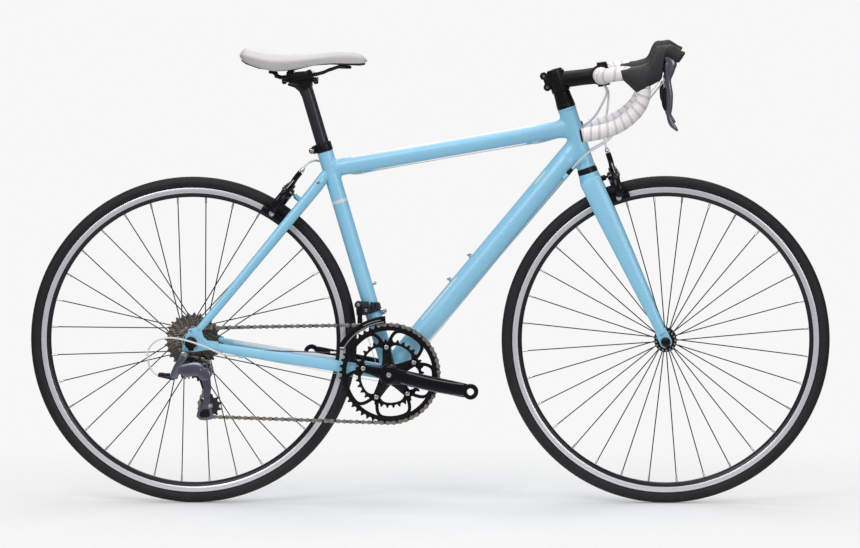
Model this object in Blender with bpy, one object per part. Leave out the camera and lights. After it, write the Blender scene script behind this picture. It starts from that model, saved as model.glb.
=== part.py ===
import math

import bmesh
import bpy
from mathutils import Matrix, Vector

# Road bike: metres, +X towards the front wheel, +Z up, the drive side towards -Y.
# Origin: on the ground, midway between the two axles.

for leftover in list(bpy.data.objects):
    bpy.data.objects.remove(leftover, do_unlink=True)

# Clearances
SEAM = 0.0003  # gap left between pieces that touch
RUNNING = 0.0005  # gap round a turning or sliding piece

# Wheels
WHEELBASE = 0.969
TYRE_HEIGHT = 0.0225  # how far the tyre stands out of its rim
TYRE_WIDTH = 0.025
TYRE_WALL = 0.0024
WHEEL_FACETS = 32
RIM_OUTER_RADIUS = 0.3135
TYRE_RADIUS = RIM_OUTER_RADIUS + TYRE_HEIGHT
RIM_TRACK_HEIGHT = 0.011
RIM_DEPTH = 0.0195
RIM_WIDTH = 0.0205
RIM_BED_WIDTH = 0.009
RIM_WALL = 0.0016
SPOKE_COUNT = 32
SPOKE_RADIUS = 0.0011
SPOKE_STAGGER = 0.0017  # crossing spokes leave the flange on opposite faces
FRONT_HUB_SPACING = 0.100
FRONT_FLANGE_RADIUS = 0.0225
FRONT_FLANGE_OFFSET = 0.034
FRONT_SHELL_RADIUS = 0.0105
FRONT_AXLE_RADIUS = 0.0043
REAR_HUB_SPACING = 0.130
REAR_FLANGE_RADIUS = 0.0245
REAR_FLANGE_RIGHT = 0.0185
REAR_FLANGE_LEFT = 0.034
REAR_SHELL_RADIUS = 0.0150
REAR_AXLE_RADIUS = 0.0048
FLANGE_THICKNESS = 0.003
FREEHUB_RADIUS = 0.0167
QUICK_RELEASE_NUT_RADIUS = 0.0088
QUICK_RELEASE_NUT_LENGTH = 0.013
QUICK_RELEASE_LEVER_LENGTH = 0.052
QUICK_RELEASE_BARREL_RADIUS = 0.0062

# Frame
BRACKET_CLEARANCE = 0.074  # from the rear tyre to the bottom bracket's middle
CHAINSTAY_LENGTH = TYRE_RADIUS + BRACKET_CLEARANCE
BOTTOM_BRACKET_DROP = 0.066
SEAT_ANGLE = math.radians(73.7)
HEAD_ANGLE = math.radians(71.8)
FORK_RAKE = 0.043
CROWN_CLEARANCE = 0.032  # from the front tyre to the crown's top
FORK_LENGTH = TYRE_RADIUS + CROWN_CLEARANCE
CROWN_RACE_HEIGHT = 0.0177
HEAD_TUBE_LENGTH = 0.129
HEAD_TUBE_RADIUS = 0.0183
HEAD_TUBE_BORE = 0.0150
SEAT_TUBE_LENGTH = 0.472
SEAT_TUBE_RADIUS = 0.01625
SEAT_TUBE_BORE = 0.0140
TOP_TUBE_DROP_AT_HEAD = 0.041
TOP_TUBE_DROP_AT_SEAT = 0.037
TOP_TUBE_SEAT_HALF_HEIGHT = 0.0175
TOP_TUBE_HALF_HEIGHT = 0.0165
TOP_TUBE_HEAD_HALF_HEIGHT = 0.0195
TOP_TUBE_HALF_WIDTH = 0.0150
DOWN_TUBE_DROP_AT_HEAD = 0.081
DOWN_TUBE_RADIUS = 0.0240
TUBE_WALL = 0.0014
SHELL_WIDTH = 0.068
SHELL_RADIUS = 0.0210
SHELL_BORE = 0.0126
CUP_WIDTH = 0.0085
CUP_RADIUS = 0.0225
CHAINSTAY_HALF_HEIGHT = 0.0122
CHAINSTAY_END_HALF_HEIGHT = 0.0080
CHAINSTAY_HALF_WIDTH = 0.0075
CHAINSTAY_SPREAD = 0.0255
SEATSTAY_RADIUS = 0.0083
SEATSTAY_SPREAD = 0.0185
SEATSTAY_TOP_BELOW = 0.040
DROPOUT_THICKNESS = 0.006
AXLE_SLOT_CLEARANCE = 0.0005
EYELET_RADIUS = 0.0052
EYELET_HOLE_RADIUS = 0.0026
BRIDGE_RADIUS = 0.0070
BRIDGE_CLEARANCE = 0.026373  # from the rear tyre to the bridge's middle
BOSS_SPACING = 0.064
BOSS_RADIUS = 0.0052
BOSS_HEIGHT = 0.0016
SEAT_COLLAR_HEIGHT = 0.018
SEAT_COLLAR_WALL = 0.0035

# Fork, stem and bar
STEERER_RADIUS = 0.0143
CROWN_HALF_WIDTH = 0.0385
BLADE_TOP_HALF_DEPTH = 0.0200
BLADE_TOP_HALF_WIDTH = 0.0095
BLADE_END_HALF_DEPTH = 0.0105
BLADE_END_HALF_WIDTH = 0.0065
FORK_END_THICKNESS = 0.006
HEADSET_RADIUS = 0.0215
SPACER_RADIUS = 0.0190
SPACER_HEIGHT = 0.0350
STEM_CLAMP_HEIGHT = 0.043
STEM_CLAMP_RADIUS = 0.0188
STEM_LENGTH = 0.090
STEM_RISE = math.radians(6.9)
STEM_TUBE_RADIUS = 0.0158
BAR_CLAMP_RADIUS = 0.0159
BAR_CLAMP_WIDTH = 0.042
BAR_CLAMP_SHELL = 0.0215
BAR_RADIUS = 0.0120
BAR_WIDTH = 0.400
BAR_REACH = 0.085
BAR_DROP = 0.116
TAPE_THICKNESS = 0.0028
TAPE_RIB = 0.0009
TAPE_WRAP = 0.0480
TAPE_START = 0.036
PLUG_THICKNESS = 0.004

# Brake and gear levers
HOOD_HALF_WIDTH = 0.0190
LEVER_SLOT_HALF_WIDTH = 0.0093
LEVER_PIVOT_AHEAD = 0.144
LEVER_PIVOT_ABOVE = 0.045
LEVER_THICKNESS = 0.0034
PADDLE_LENGTH = 0.046
PADDLE_THICKNESS = 0.0034

# Brakes
BRAKE_REACH = 0.050
BRAKE_STANDOFF = 0.040
REAR_BRAKE_STANDOFF = 0.030
BRAKE_ARM_THICKNESS = 0.0085
BRAKE_BOLT_RADIUS = 0.0030
PAD_GAP = 0.0024
PAD_LENGTH = 0.050
PAD_HEIGHT = 0.0090
PAD_THICKNESS = 0.0080

# Drivetrain
CHAIN_PITCH = 0.0127
CHAIN_HALF_HEIGHT = 0.0041
CHAIN_HALF_WIDTH = 0.00275
CHAIN_SLOT_HALF_WIDTH = 0.0014
CHAIN_ROLLER_HALF = 0.0021
LARGE_RING_TEETH = 50
SMALL_RING_TEETH = 34
SPROCKET_TEETH = (12, 13, 14, 15, 17, 19, 21, 23, 25, 28)
CHAIN_SPROCKET = 2  # index of the sprocket that the chain is on
SPROCKET_PITCH = 0.00395
FIRST_SPROCKET_OFFSET = 0.0585
SPROCKET_THICKNESS = 0.0018
PULLEY_TEETH = 11
CHAIN_LINE = 0.047
RING_SPACING = 0.0065
RING_THICKNESS = 0.0019
BOLT_CIRCLE_RADIUS = 0.055
RING_BOLT_RADIUS = 0.0048
RING_BOLTS = 5
CRANK_LENGTH = 0.170
CRANK_ANGLE = math.radians(-11.6)
CRANK_OFFSET = 0.066
CRANK_THICKNESS = 0.0125
CRANK_ROOT_HALF_HEIGHT = 0.0150
CRANK_END_RADIUS = 0.0160
PEDAL_HOLE_RADIUS = 0.0071
SPINDLE_RADIUS = 0.0120

# Saddle and seatpost
SEATPOST_RADIUS = 0.0136
SEATPOST_WALL = 0.0022
SEATPOST_SHOWING = 0.145
SEATPOST_INSERTION = 0.130
SADDLE_LENGTH = 0.258
SADDLE_HALF_WIDTH = 0.070
RAIL_RADIUS = 0.0035
RAIL_SPREAD = 0.0220
CLAMP_LENGTH = 0.036


def direction(angle):
    return Vector((math.cos(angle), 0.0, math.sin(angle)))


SIDE = Vector((0.0, 1.0, 0.0))
UP = Vector((0.0, 0.0, 1.0))
AHEAD = Vector((1.0, 0.0, 0.0))
FRONT_AXLE = Vector((WHEELBASE / 2, 0.0, TYRE_RADIUS))
REAR_AXLE = Vector((-WHEELBASE / 2, 0.0, TYRE_RADIUS))
BB_AHEAD = math.sqrt(CHAINSTAY_LENGTH**2 - BOTTOM_BRACKET_DROP**2)
BOTTOM_BRACKET = REAR_AXLE + Vector((BB_AHEAD, 0.0, -BOTTOM_BRACKET_DROP))
HEAD_UP = Vector((-math.cos(HEAD_ANGLE), 0.0, math.sin(HEAD_ANGLE)))
HEAD_FORWARD = Vector((math.sin(HEAD_ANGLE), 0.0, math.cos(HEAD_ANGLE)))
STEERING_FOOT = FRONT_AXLE - HEAD_FORWARD * FORK_RAKE
SEAT_UP = Vector((-math.cos(SEAT_ANGLE), 0.0, math.sin(SEAT_ANGLE)))
HEAD_BOTTOM_AT = FORK_LENGTH + CROWN_RACE_HEIGHT
HEAD_TOP_AT = HEAD_BOTTOM_AT + HEAD_TUBE_LENGTH
STEM_AT = HEAD_TOP_AT + SPACER_HEIGHT
STEM_TOP_AT = STEM_AT + STEM_CLAMP_HEIGHT
SEAT_TOP = BOTTOM_BRACKET + SEAT_UP * SEAT_TUBE_LENGTH


def steerer(distance):
    return STEERING_FOOT + HEAD_UP * distance


# Materials: colour, metallic, roughness
def material(name, colour, metallic, roughness):
    made = bpy.data.materials.new(name)
    made.use_nodes = True
    shader = made.node_tree.nodes["Principled BSDF"]
    shader.inputs["Base Color"].default_value = (*colour, 1.0)
    shader.inputs["Metallic"].default_value = metallic
    shader.inputs["Roughness"].default_value = roughness
    made.diffuse_color = (*colour, 1.0)
    return made


BLUE = material("sky_blue_paint", (0.26, 0.53, 0.70), 0.1, 0.30)
BLACK = material("black_anodised", (0.02, 0.02, 0.022), 0.4, 0.35)
GLOSS_BLACK = material("gloss_black", (0.012, 0.012, 0.014), 0.3, 0.15)
GREY_METAL = material("grey_blue_metal", (0.13, 0.14, 0.17), 0.7, 0.35)
STEEL = material("chain_steel", (0.20, 0.18, 0.16), 0.9, 0.38)
RUBBER = material("tyre_rubber", (0.018, 0.018, 0.020), 0.0, 0.80)
HOOD_RUBBER = material("hood_rubber", (0.025, 0.025, 0.028), 0.0, 0.65)
TAPE = material("off_white_tape", (0.72, 0.68, 0.70), 0.0, 0.70)
COVER = material("off_white_cover", (0.72, 0.69, 0.68), 0.0, 0.55)
HOUSING = material("white_housing", (0.80, 0.80, 0.80), 0.0, 0.45)
PLASTIC = material("black_plastic", (0.02, 0.02, 0.02), 0.0, 0.50)


# Shapes
def finish(name, shape, look):
    bmesh.ops.recalc_face_normals(shape, faces=shape.faces)
    mesh = bpy.data.meshes.new(name)
    shape.to_mesh(mesh)
    shape.free()
    if look:
        mesh.materials.append(look)
    mesh.shade_smooth()
    mesh.set_sharp_from_angle(angle=math.radians(38))
    made = bpy.data.objects.new(name, mesh)
    bpy.context.scene.collection.objects.link(made)
    return made


def ring_points(centre, along, up, half_side, half_up, sides, turn=0.5, square=1.0):
    """Points round an oval that faces along; square under 1 fills its corners."""
    along = along.normalized()
    side = along.cross(up).normalized()
    rise = side.cross(along).normalized()
    points = []
    for step in range(sides):
        angle = 2 * math.pi * (step + turn) / sides
        c, s = math.cos(angle), math.sin(angle)
        c = math.copysign(abs(c) ** square, c)
        s = math.copysign(abs(s) ** square, s)
        points.append(centre + side * (half_side * c) + rise * (half_up * s))
    return points


def add_ring(shape, points):
    return [shape.verts.new(point) for point in points]


def join_rings(shape, first, second):
    count = len(first)
    for step in range(count):
        other = (step + 1) % count
        shape.faces.new((first[step], first[other], second[other], second[step]))


def loft(name, rings, look, bore=None, loop=False):
    """A skin through rings of points, with flat ends, or open through a bore with rings of its own."""
    shape = bmesh.new()
    outer = [add_ring(shape, ring) for ring in rings]
    for first, second in zip(outer, outer[1:]):
        join_rings(shape, first, second)
    if loop:
        join_rings(shape, outer[-1], outer[0])
    elif bore:
        inner = [add_ring(shape, ring) for ring in bore]
        for first, second in zip(inner, inner[1:]):
            join_rings(shape, second, first)
        join_rings(shape, inner[0], outer[0])
        join_rings(shape, outer[-1], inner[-1])
    else:
        shape.faces.new(outer[0])
        shape.faces.new(outer[-1])
    return finish(name, shape, look)


def tube(name, stations, look, sides=12, up=UP, wall=None, square=1.0):
    """stations: (centre, half side, half up). The ends are square to the path."""
    centres = [Vector(station[0]) for station in stations]
    rings, bores = [], []
    for index, (centre, half_side, half_up) in enumerate(stations):
        before = centres[max(index - 1, 0)]
        after = centres[min(index + 1, len(centres) - 1)]
        along = after - before
        args = (Vector(centre), along, up)
        rings.append(ring_points(*args, half_side, half_up, sides, square=square))
        if wall:
            bores.append(ring_points(*args, half_side - wall, half_up - wall, sides, square=square))
    return loft(name, rings, look, bore=bores if wall else None)


def turned(name, centre, axis, profile, look, steps=24, start=AHEAD, phase=0.0, closed=True):
    """profile: (distance along the axis, radius), a loop, or a line whose ends lie on the axis."""
    axis = axis.normalized()
    out = (start - axis * start.dot(axis)).normalized()
    across = axis.cross(out)
    shape = bmesh.new()
    rings = []
    for along, radius in profile:
        if radius < 1e-7:
            rings.append([shape.verts.new(centre + axis * along)])
            continue
        ring = []
        for step in range(steps):
            angle = 2 * math.pi * (step + phase) / steps
            reach = out * (radius * math.cos(angle)) + across * (radius * math.sin(angle))
            ring.append(shape.verts.new(centre + axis * along + reach))
        rings.append(ring)
    pairs = list(zip(rings, rings[1:]))
    if closed:
        pairs.append((rings[-1], rings[0]))
    for first, second in pairs:
        if len(first) == 1 and len(second) == 1:
            continue
        for step in range(steps):
            other = (step + 1) % steps
            if len(first) == 1:
                shape.faces.new((first[0], second[other], second[step]))
            elif len(second) == 1:
                shape.faces.new((first[step], first[other], second[0]))
            else:
                shape.faces.new((first[step], first[other], second[other], second[step]))
    return finish(name, shape, look)


def rod(name, start, end, radius, look, steps=12, bore=None, phase=0.5):
    axis = end - start
    length = axis.length
    helper = AHEAD if abs(axis.normalized().dot(AHEAD)) < 0.9 else UP
    if bore:
        profile = [(0.0, bore), (0.0, radius), (length, radius), (length, bore)]
        return turned(name, start, axis, profile, look, steps, helper, phase)
    profile = [(0.0, 0.0), (0.0, radius), (length, radius), (length, 0.0)]
    return turned(name, start, axis, profile, look, steps, helper, phase, closed=False)


def plate(name, outline, origin, right, up, depth, look):
    """An outline of (right, up) points, pulled by the vector depth."""
    shape = bmesh.new()
    face = shape.faces.new([shape.verts.new(origin + right * a + up * b) for a, b in outline])
    pulled = bmesh.ops.extrude_face_region(shape, geom=[face])["geom"]
    moved = [item for item in pulled if isinstance(item, bmesh.types.BMVert)]
    bmesh.ops.translate(shape, verts=moved, vec=depth)
    return finish(name, shape, look)


def block(name, centre, right, up, sizes, look):
    """A box: sizes along right, up and their cross product."""
    a, b, c = (size / 2 for size in sizes)
    normal = right.cross(up).normalized()
    corners = [(-a, -b), (a, -b), (a, b), (-a, b)]
    return plate(name, corners, centre - normal * c, right, up, normal * (2 * c), look)


def mirrored(source, name):
    """The same piece on the other side of the bike."""
    mesh = source.data.copy()
    mesh.transform(Matrix.Scale(-1.0, 4, SIDE))
    mesh.flip_normals()
    made = bpy.data.objects.new(name, mesh)
    bpy.context.scene.collection.objects.link(made)
    return made


def tool(obj):
    obj.hide_render = True
    obj.display_type = "WIRE"
    return obj


def change(obj, others, operation):
    for other in others:
        tool(other)
        step = obj.modifiers.new(other.name, "BOOLEAN")
        step.operation = operation
        step.solver = "EXACT"
        step.object = other
    return obj


def fuse(obj, *others):
    return change(obj, others, "UNION")


def cut(obj, *others):
    return change(obj, others, "DIFFERENCE")


def settle(obj):
    """Applies the modifiers, so that the piece can be mirrored or used as a tool."""
    bpy.context.view_layer.update()
    graph = bpy.context.evaluated_depsgraph_get()
    mesh = bpy.data.meshes.new_from_object(obj.evaluated_get(graph))
    obj.modifiers.clear()
    obj.data = mesh
    return obj


PIVOTS = {}


def pivot(name, place, carrier=None):
    """An empty on a joint's axis, carried by the piece that the joint is on."""
    made = bpy.data.objects.new(name + "_axis", None)
    made.empty_display_size = 0.03
    bpy.context.scene.collection.objects.link(made)
    made.location = place
    if carrier:
        made.parent, held_at = PIVOTS[carrier]
        made.location = place - held_at
    PIVOTS[name] = (made, place)


def carry(name, *objs):
    """Puts each object's origin on the axis of the named pivot, and parents it there."""
    empty, place = PIVOTS[name]
    for obj in objs:
        obj.data.transform(Matrix.Translation(-place))
        obj.parent = empty


def cord(name, points, radius, look, thin=(), thin_share=0.3, resolution=2):
    """A round cord through the points; thin lists the spans (first, last) of points where the wire is bare."""
    curve = bpy.data.curves.new(name, "CURVE")
    curve.dimensions = "3D"
    curve.bevel_depth = radius
    curve.bevel_resolution = resolution
    curve.use_fill_caps = True
    spline = curve.splines.new("POLY")
    spline.points.add(len(points) - 1)
    for index, point in enumerate(points):
        spline.points[index].co = (*point, 1.0)
        bare = any(first <= index <= last for first, last in thin)
        spline.points[index].radius = thin_share if bare else 1.0
    curve.materials.append(look)
    made = bpy.data.objects.new(name, curve)
    bpy.context.scene.collection.objects.link(made)
    return made


def smooth_path(points, steps):
    """Points along a smooth curve through the given ones; steps is one count, or one for each span."""
    points = [Vector(point) for point in points]
    if isinstance(steps, int):
        steps = [steps] * (len(points) - 1)
    path = [points[0]]
    for index in range(len(points) - 1):
        p1, p2 = points[index], points[index + 1]
        p0 = points[index - 1] if index else p1 * 2 - p2
        p3 = points[index + 2] if index + 2 < len(points) else p2 * 2 - p1
        for step in range(1, steps[index] + 1):
            t = step / steps[index]
            a = p1 * 2
            b = (p2 - p0) * t
            c = (p0 * 2 - p1 * 5 + p2 * 4 - p3) * t**2
            d = (p1 * 3 - p0 - p2 * 3 + p3) * t**3
            path.append((a + b + c + d) / 2)
    return path


# Wheels
FACET = math.cos(math.pi / WHEEL_FACETS)
RIM_INNER_HALF = RIM_WIDTH / 2 - RIM_WALL
RIM_FLOOR = RIM_OUTER_RADIUS - RIM_DEPTH + RIM_WALL


def rim_cavity_half(radius):
    share = (radius - RIM_FLOOR) / (RIM_OUTER_RADIUS - RIM_FLOOR)
    return RIM_INNER_HALF * share


def wheel_profile(points):
    """Radii are measured to the flats."""
    return [(along, radius / FACET) for along, radius in points]


def make_tyre(name, centre):
    half = TYRE_WIDTH / 2
    bead = RIM_OUTER_RADIUS - 0.0055
    bead_half = rim_cavity_half(bead) - SEAM - 0.0004
    belly = RIM_OUTER_RADIUS + 0.0095
    right = [(bead_half, bead), (half, belly), (0.40 * half, TYRE_RADIUS)]
    inside = [(half - TYRE_WALL - 0.0003, belly)]
    outline = right + [(-a, r) for a, r in reversed(right)]
    outline += [(-a, r) for a, r in reversed(inside)]
    outline += [(0.0, TYRE_RADIUS - TYRE_WALL), *inside]
    return turned(name, centre, SIDE, wheel_profile(outline), RUBBER, WHEEL_FACETS, phase=0.5)


def make_rim(name, centre):
    half = RIM_WIDTH / 2
    bed = RIM_BED_WIDTH / 2
    track = RIM_OUTER_RADIUS - RIM_TRACK_HEIGHT
    foot = RIM_OUTER_RADIUS - RIM_DEPTH
    outline = [(half, RIM_OUTER_RADIUS), (half, track), (bed, foot)]
    outline += [(-bed, foot), (-half, track), (-half, RIM_OUTER_RADIUS)]
    outline += [(-RIM_INNER_HALF, RIM_OUTER_RADIUS), (0.0, RIM_FLOOR), (RIM_INNER_HALF, RIM_OUTER_RADIUS)]
    return turned(name, centre, SIDE, wheel_profile(outline), BLACK, WHEEL_FACETS, phase=0.5)



def spoke_end(angle):
    """How far out a spoke goes: to the rim's inner flat in its direction."""
    step = 2 * math.pi / WHEEL_FACETS
    aside = angle - round(angle / step) * step
    return (RIM_OUTER_RADIUS - RIM_DEPTH) / math.cos(aside) - SEAM - 0.0001


def make_spokes(name, centre, routes):
    """routes: (start, end), both relative to the wheel's centre."""
    shape = bmesh.new()
    for start, end in routes:
        along = (end - start).normalized()
        rings = []
        for place in (start, end):
            points = ring_points(centre + place, along, SIDE, SPOKE_RADIUS, SPOKE_RADIUS, 3)
            rings.append(add_ring(shape, points))
        join_rings(shape, *rings)
        shape.faces.new(rings[0])
        shape.faces.new(rings[1])
    return finish(name, shape, BLACK)


def spoke_angle(index, first):
    return math.radians(first) + 2 * math.pi * index / SPOKE_COUNT


def front_spokes():
    routes = []
    for index in range(SPOKE_COUNT):
        side = -1 if index % 2 == 0 else 1
        out = direction(spoke_angle(index, 4.5))
        flange = SIDE * (side * FRONT_FLANGE_OFFSET)
        start = out * (FRONT_FLANGE_RADIUS - 0.003) + flange
        reach = spoke_end(spoke_angle(index, 4.5))
        routes.append((start, out * reach + SIDE * (side * 0.0015)))
    return routes


def rear_spokes():
    routes = []
    for index in range(SPOKE_COUNT):
        side = -1 if index % 2 == 0 else 1
        flange = -REAR_FLANGE_RIGHT if side < 0 else REAR_FLANGE_LEFT
        lean = math.radians(67.5) * (1 if index % 4 < 2 else -1)
        angle = spoke_angle(index, 6.0)
        start = direction(angle + lean) * (REAR_FLANGE_RADIUS - 0.0022) + SIDE * flange
        start += SIDE * (SPOKE_STAGGER if index % 4 < 2 else -SPOKE_STAGGER)
        routes.append((start, direction(angle) * spoke_end(angle) + SIDE * (side * 0.0015)))
    return routes


def flange_profile(offset, radius, shell, neck):
    """The points of one flange, from its shell side to its outer side."""
    half = FLANGE_THICKNESS / 2
    return [(offset - half, shell), (offset - half, radius), (offset + half, radius), (offset + half, neck)]


def flipped(points):
    return [(-along, radius) for along, radius in reversed(points)]


HUB_STEPS = 12
front_end = FRONT_HUB_SPACING / 2 - SEAM
front_bore = FRONT_AXLE_RADIUS + RUNNING
front_flange = flange_profile(FRONT_FLANGE_OFFSET, FRONT_FLANGE_RADIUS, FRONT_SHELL_RADIUS, 0.0095)
front_profile = [(-front_end, front_bore), (-front_end, 0.0080)] + flipped(front_flange)
front_profile += front_flange + [(front_end, 0.0080), (front_end, front_bore)]
front_hub = turned("front_hub", FRONT_AXLE, SIDE, front_profile, BLACK, HUB_STEPS)
fuse(front_hub, make_spokes("front_spokes", FRONT_AXLE, front_spokes()))

CASSETTE_INNER = FIRST_SPROCKET_OFFSET - SPROCKET_PITCH * (len(SPROCKET_TEETH) - 1)
CASSETTE_OUTER_FACE = FIRST_SPROCKET_OFFSET + 0.0018
rear_end = REAR_HUB_SPACING / 2 - SEAM
rear_bore = REAR_AXLE_RADIUS + RUNNING
left_flange = flange_profile(REAR_FLANGE_LEFT, REAR_FLANGE_RADIUS, REAR_SHELL_RADIUS, 0.0120)
right_flange = flange_profile(REAR_FLANGE_RIGHT, REAR_FLANGE_RADIUS, REAR_SHELL_RADIUS, FREEHUB_RADIUS)
rear_profile = [(-rear_end, rear_bore), (-rear_end, 0.0090), (-CASSETTE_OUTER_FACE, 0.0090)]
rear_profile += [(-CASSETTE_OUTER_FACE, FREEHUB_RADIUS)] + flipped(right_flange)
rear_profile += left_flange + [(rear_end, 0.0095), (rear_end, rear_bore)]
rear_hub = turned("rear_hub", REAR_AXLE, SIDE, rear_profile, BLACK, HUB_STEPS)
fuse(rear_hub, make_spokes("rear_spokes", REAR_AXLE, rear_spokes()))

front_rim = make_rim("front_rim", FRONT_AXLE)
front_tyre = make_tyre("front_tyre", FRONT_AXLE)
rear_rim = make_rim("rear_rim", REAR_AXLE)
rear_tyre = make_tyre("rear_tyre", REAR_AXLE)


def make_skewer(name, axle, end_face, radius):
    """The axle, with its nut on the drive side and the seat of its lever on the other."""
    face = end_face + SEAM
    nut = face + QUICK_RELEASE_NUT_LENGTH
    seat = face + 0.0065
    wide = QUICK_RELEASE_NUT_RADIUS
    profile = [(-nut, 0.0), (-nut, 0.6 * wide), (-nut + 0.003, wide), (-face, wide), (-face, radius)]
    profile += [(face, radius), (face, wide), (seat, wide), (seat, 0.0)]
    return turned(name, axle, SIDE, profile, BLACK, 12, closed=False), seat


def make_quick_release_lever(name, axle, seat, along):
    """A cam barrel with a curved arm; it turns about the barrel."""
    barrel = QUICK_RELEASE_BARREL_RADIUS
    centre = axle + SIDE * (seat + SEAM + barrel)
    hinge = SIDE.cross(along).normalized()
    made = rod(name, centre - hinge * 0.008, centre + hinge * 0.008, barrel, BLACK, 12)
    reach = QUICK_RELEASE_LEVER_LENGTH
    stations = []
    for share, out, width, thick in ((0.04, 0.0, 0.0060, 0.0042), (0.45, 0.0015, 0.0058, 0.0026), (1.0, -0.002, 0.0046, 0.0020)):
        stations.append((centre + along * (reach * share) + SIDE * out, width, thick))
    arm = tube(name + "_arm", stations, BLACK, 8, up=SIDE)
    return fuse(made, arm), centre


FORK_END_OUTER = FRONT_HUB_SPACING / 2 + FORK_END_THICKNESS
DROPOUT_OUTER = REAR_HUB_SPACING / 2 + DROPOUT_THICKNESS
BLADE_TOP = steerer(FORK_LENGTH - 0.012)
BLADE_UP = (BLADE_TOP - FRONT_AXLE).normalized()
front_skewer, front_seat = make_skewer("front_axle_skewer", FRONT_AXLE, FORK_END_OUTER, FRONT_AXLE_RADIUS)
front_qr, FRONT_QR = make_quick_release_lever("front_quick_release_lever", FRONT_AXLE, front_seat, BLADE_UP)
rear_skewer, rear_seat = make_skewer("rear_axle_skewer", REAR_AXLE, DROPOUT_OUTER, REAR_AXLE_RADIUS)
REAR_QR_ALONG = direction(math.radians(62))
rear_qr, REAR_QR = make_quick_release_lever("rear_quick_release_lever", REAR_AXLE, rear_seat, REAR_QR_ALONG)


# Frame
def grown(name, stations, sides=12, extra=SEAM, up=UP, square=1.0):
    """A solid copy of a tube's outside with the seam added, to cut a neighbour with."""
    grow = extra / math.cos(math.pi / sides) + 0.00002
    return tube(name, [(c, a + grow, b + grow) for c, a, b in stations], None, sides, up=up, square=square)


def between(start, end, share):
    return start + (end - start) * share


SHELL_HALF = SHELL_WIDTH / 2
shell_profile = [(SHELL_HALF, SHELL_RADIUS), (SHELL_HALF, CUP_RADIUS)]
shell_profile += [(SHELL_HALF + CUP_WIDTH, CUP_RADIUS), (SHELL_HALF + CUP_WIDTH, SHELL_BORE)]
shell_profile = flipped(shell_profile) + shell_profile
bb_shell = turned("bottom_bracket_shell", BOTTOM_BRACKET, SIDE, shell_profile, BLUE, 16)

HEAD_STEPS = 16
head_tube = rod("head_tube", steerer(HEAD_BOTTOM_AT), steerer(HEAD_TOP_AT), HEAD_TUBE_RADIUS, BLUE, HEAD_STEPS, HEAD_TUBE_BORE)
seat_tube = rod("seat_tube", BOTTOM_BRACKET, SEAT_TOP, SEAT_TUBE_RADIUS, BLUE, 16, SEAT_TUBE_BORE)


def head_cutter(name):
    return rod(name, steerer(HEAD_BOTTOM_AT - 0.02), steerer(HEAD_TOP_AT + 0.02), HEAD_TUBE_RADIUS + SEAM + 0.0001, None, HEAD_STEPS)


def seat_cutter(name, extra=0.0001, phase=0.5):
    low, high = BOTTOM_BRACKET - SEAT_UP * 0.01, SEAT_TOP + SEAT_UP * 0.03
    return rod(name, low, high, SEAT_TUBE_RADIUS + SEAM + extra, None, 16, phase=phase)


def shell_cutter(name):
    reach = SIDE * (SHELL_HALF - 0.0002)
    return rod(name, BOTTOM_BRACKET - reach, BOTTOM_BRACKET + reach, SHELL_RADIUS + SEAM + 0.0004, None, 16)


TOP_TUBE_HEAD = steerer(HEAD_TOP_AT - TOP_TUBE_DROP_AT_HEAD)
TOP_TUBE_SEAT = SEAT_TOP - SEAT_UP * TOP_TUBE_DROP_AT_SEAT
TOP_TUBE_ALONG = (TOP_TUBE_HEAD - TOP_TUBE_SEAT).normalized()
top_stations = [
    (TOP_TUBE_SEAT, TOP_TUBE_HALF_WIDTH * 0.96, TOP_TUBE_SEAT_HALF_HEIGHT),
    (between(TOP_TUBE_SEAT, TOP_TUBE_HEAD, 0.45), TOP_TUBE_HALF_WIDTH, TOP_TUBE_HALF_HEIGHT),
    (between(TOP_TUBE_SEAT, TOP_TUBE_HEAD, 0.82), TOP_TUBE_HALF_WIDTH, TOP_TUBE_HALF_HEIGHT),
    (TOP_TUBE_HEAD, TOP_TUBE_HALF_WIDTH, TOP_TUBE_HEAD_HALF_HEIGHT),
]
top_tube = tube("top_tube", top_stations, BLUE, 10, wall=TUBE_WALL, square=0.9)
TOP_TUBE_DOWN = TOP_TUBE_ALONG.cross(SIDE).normalized()
if TOP_TUBE_DOWN.z > 0:
    TOP_TUBE_DOWN.negate()


def top_tube_under(share):
    """The underside of the top tube, at a share of its length from the seat tube."""
    return between(TOP_TUBE_SEAT, TOP_TUBE_HEAD, share) + TOP_TUBE_DOWN * TOP_TUBE_HALF_HEIGHT


CABLE_BELOW = 0.0050
BRAKE_STOPS = (0.155, 0.815)
stops = []
for index, share in enumerate(BRAKE_STOPS):
    centre = top_tube_under(share) + TOP_TUBE_DOWN * (CABLE_BELOW - 0.0015)
    stop = block(f"brake_stop_{index}", centre, TOP_TUBE_ALONG, TOP_TUBE_DOWN, (0.012, 0.0105, 0.010), BLUE)
    hole_start = centre + TOP_TUBE_DOWN * 0.0015
    hole = rod(f"brake_stop_hole_{index}", hole_start - TOP_TUBE_ALONG * 0.02, hole_start + TOP_TUBE_ALONG * 0.02, 0.0015, None, 6)
    stops.append((stop, hole))
fuse(top_tube, *[stop for stop, hole in stops])
cut(top_tube, head_cutter("head_in_top_tube"), seat_cutter("seat_in_top_tube"), *[hole for stop, hole in stops])

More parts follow.
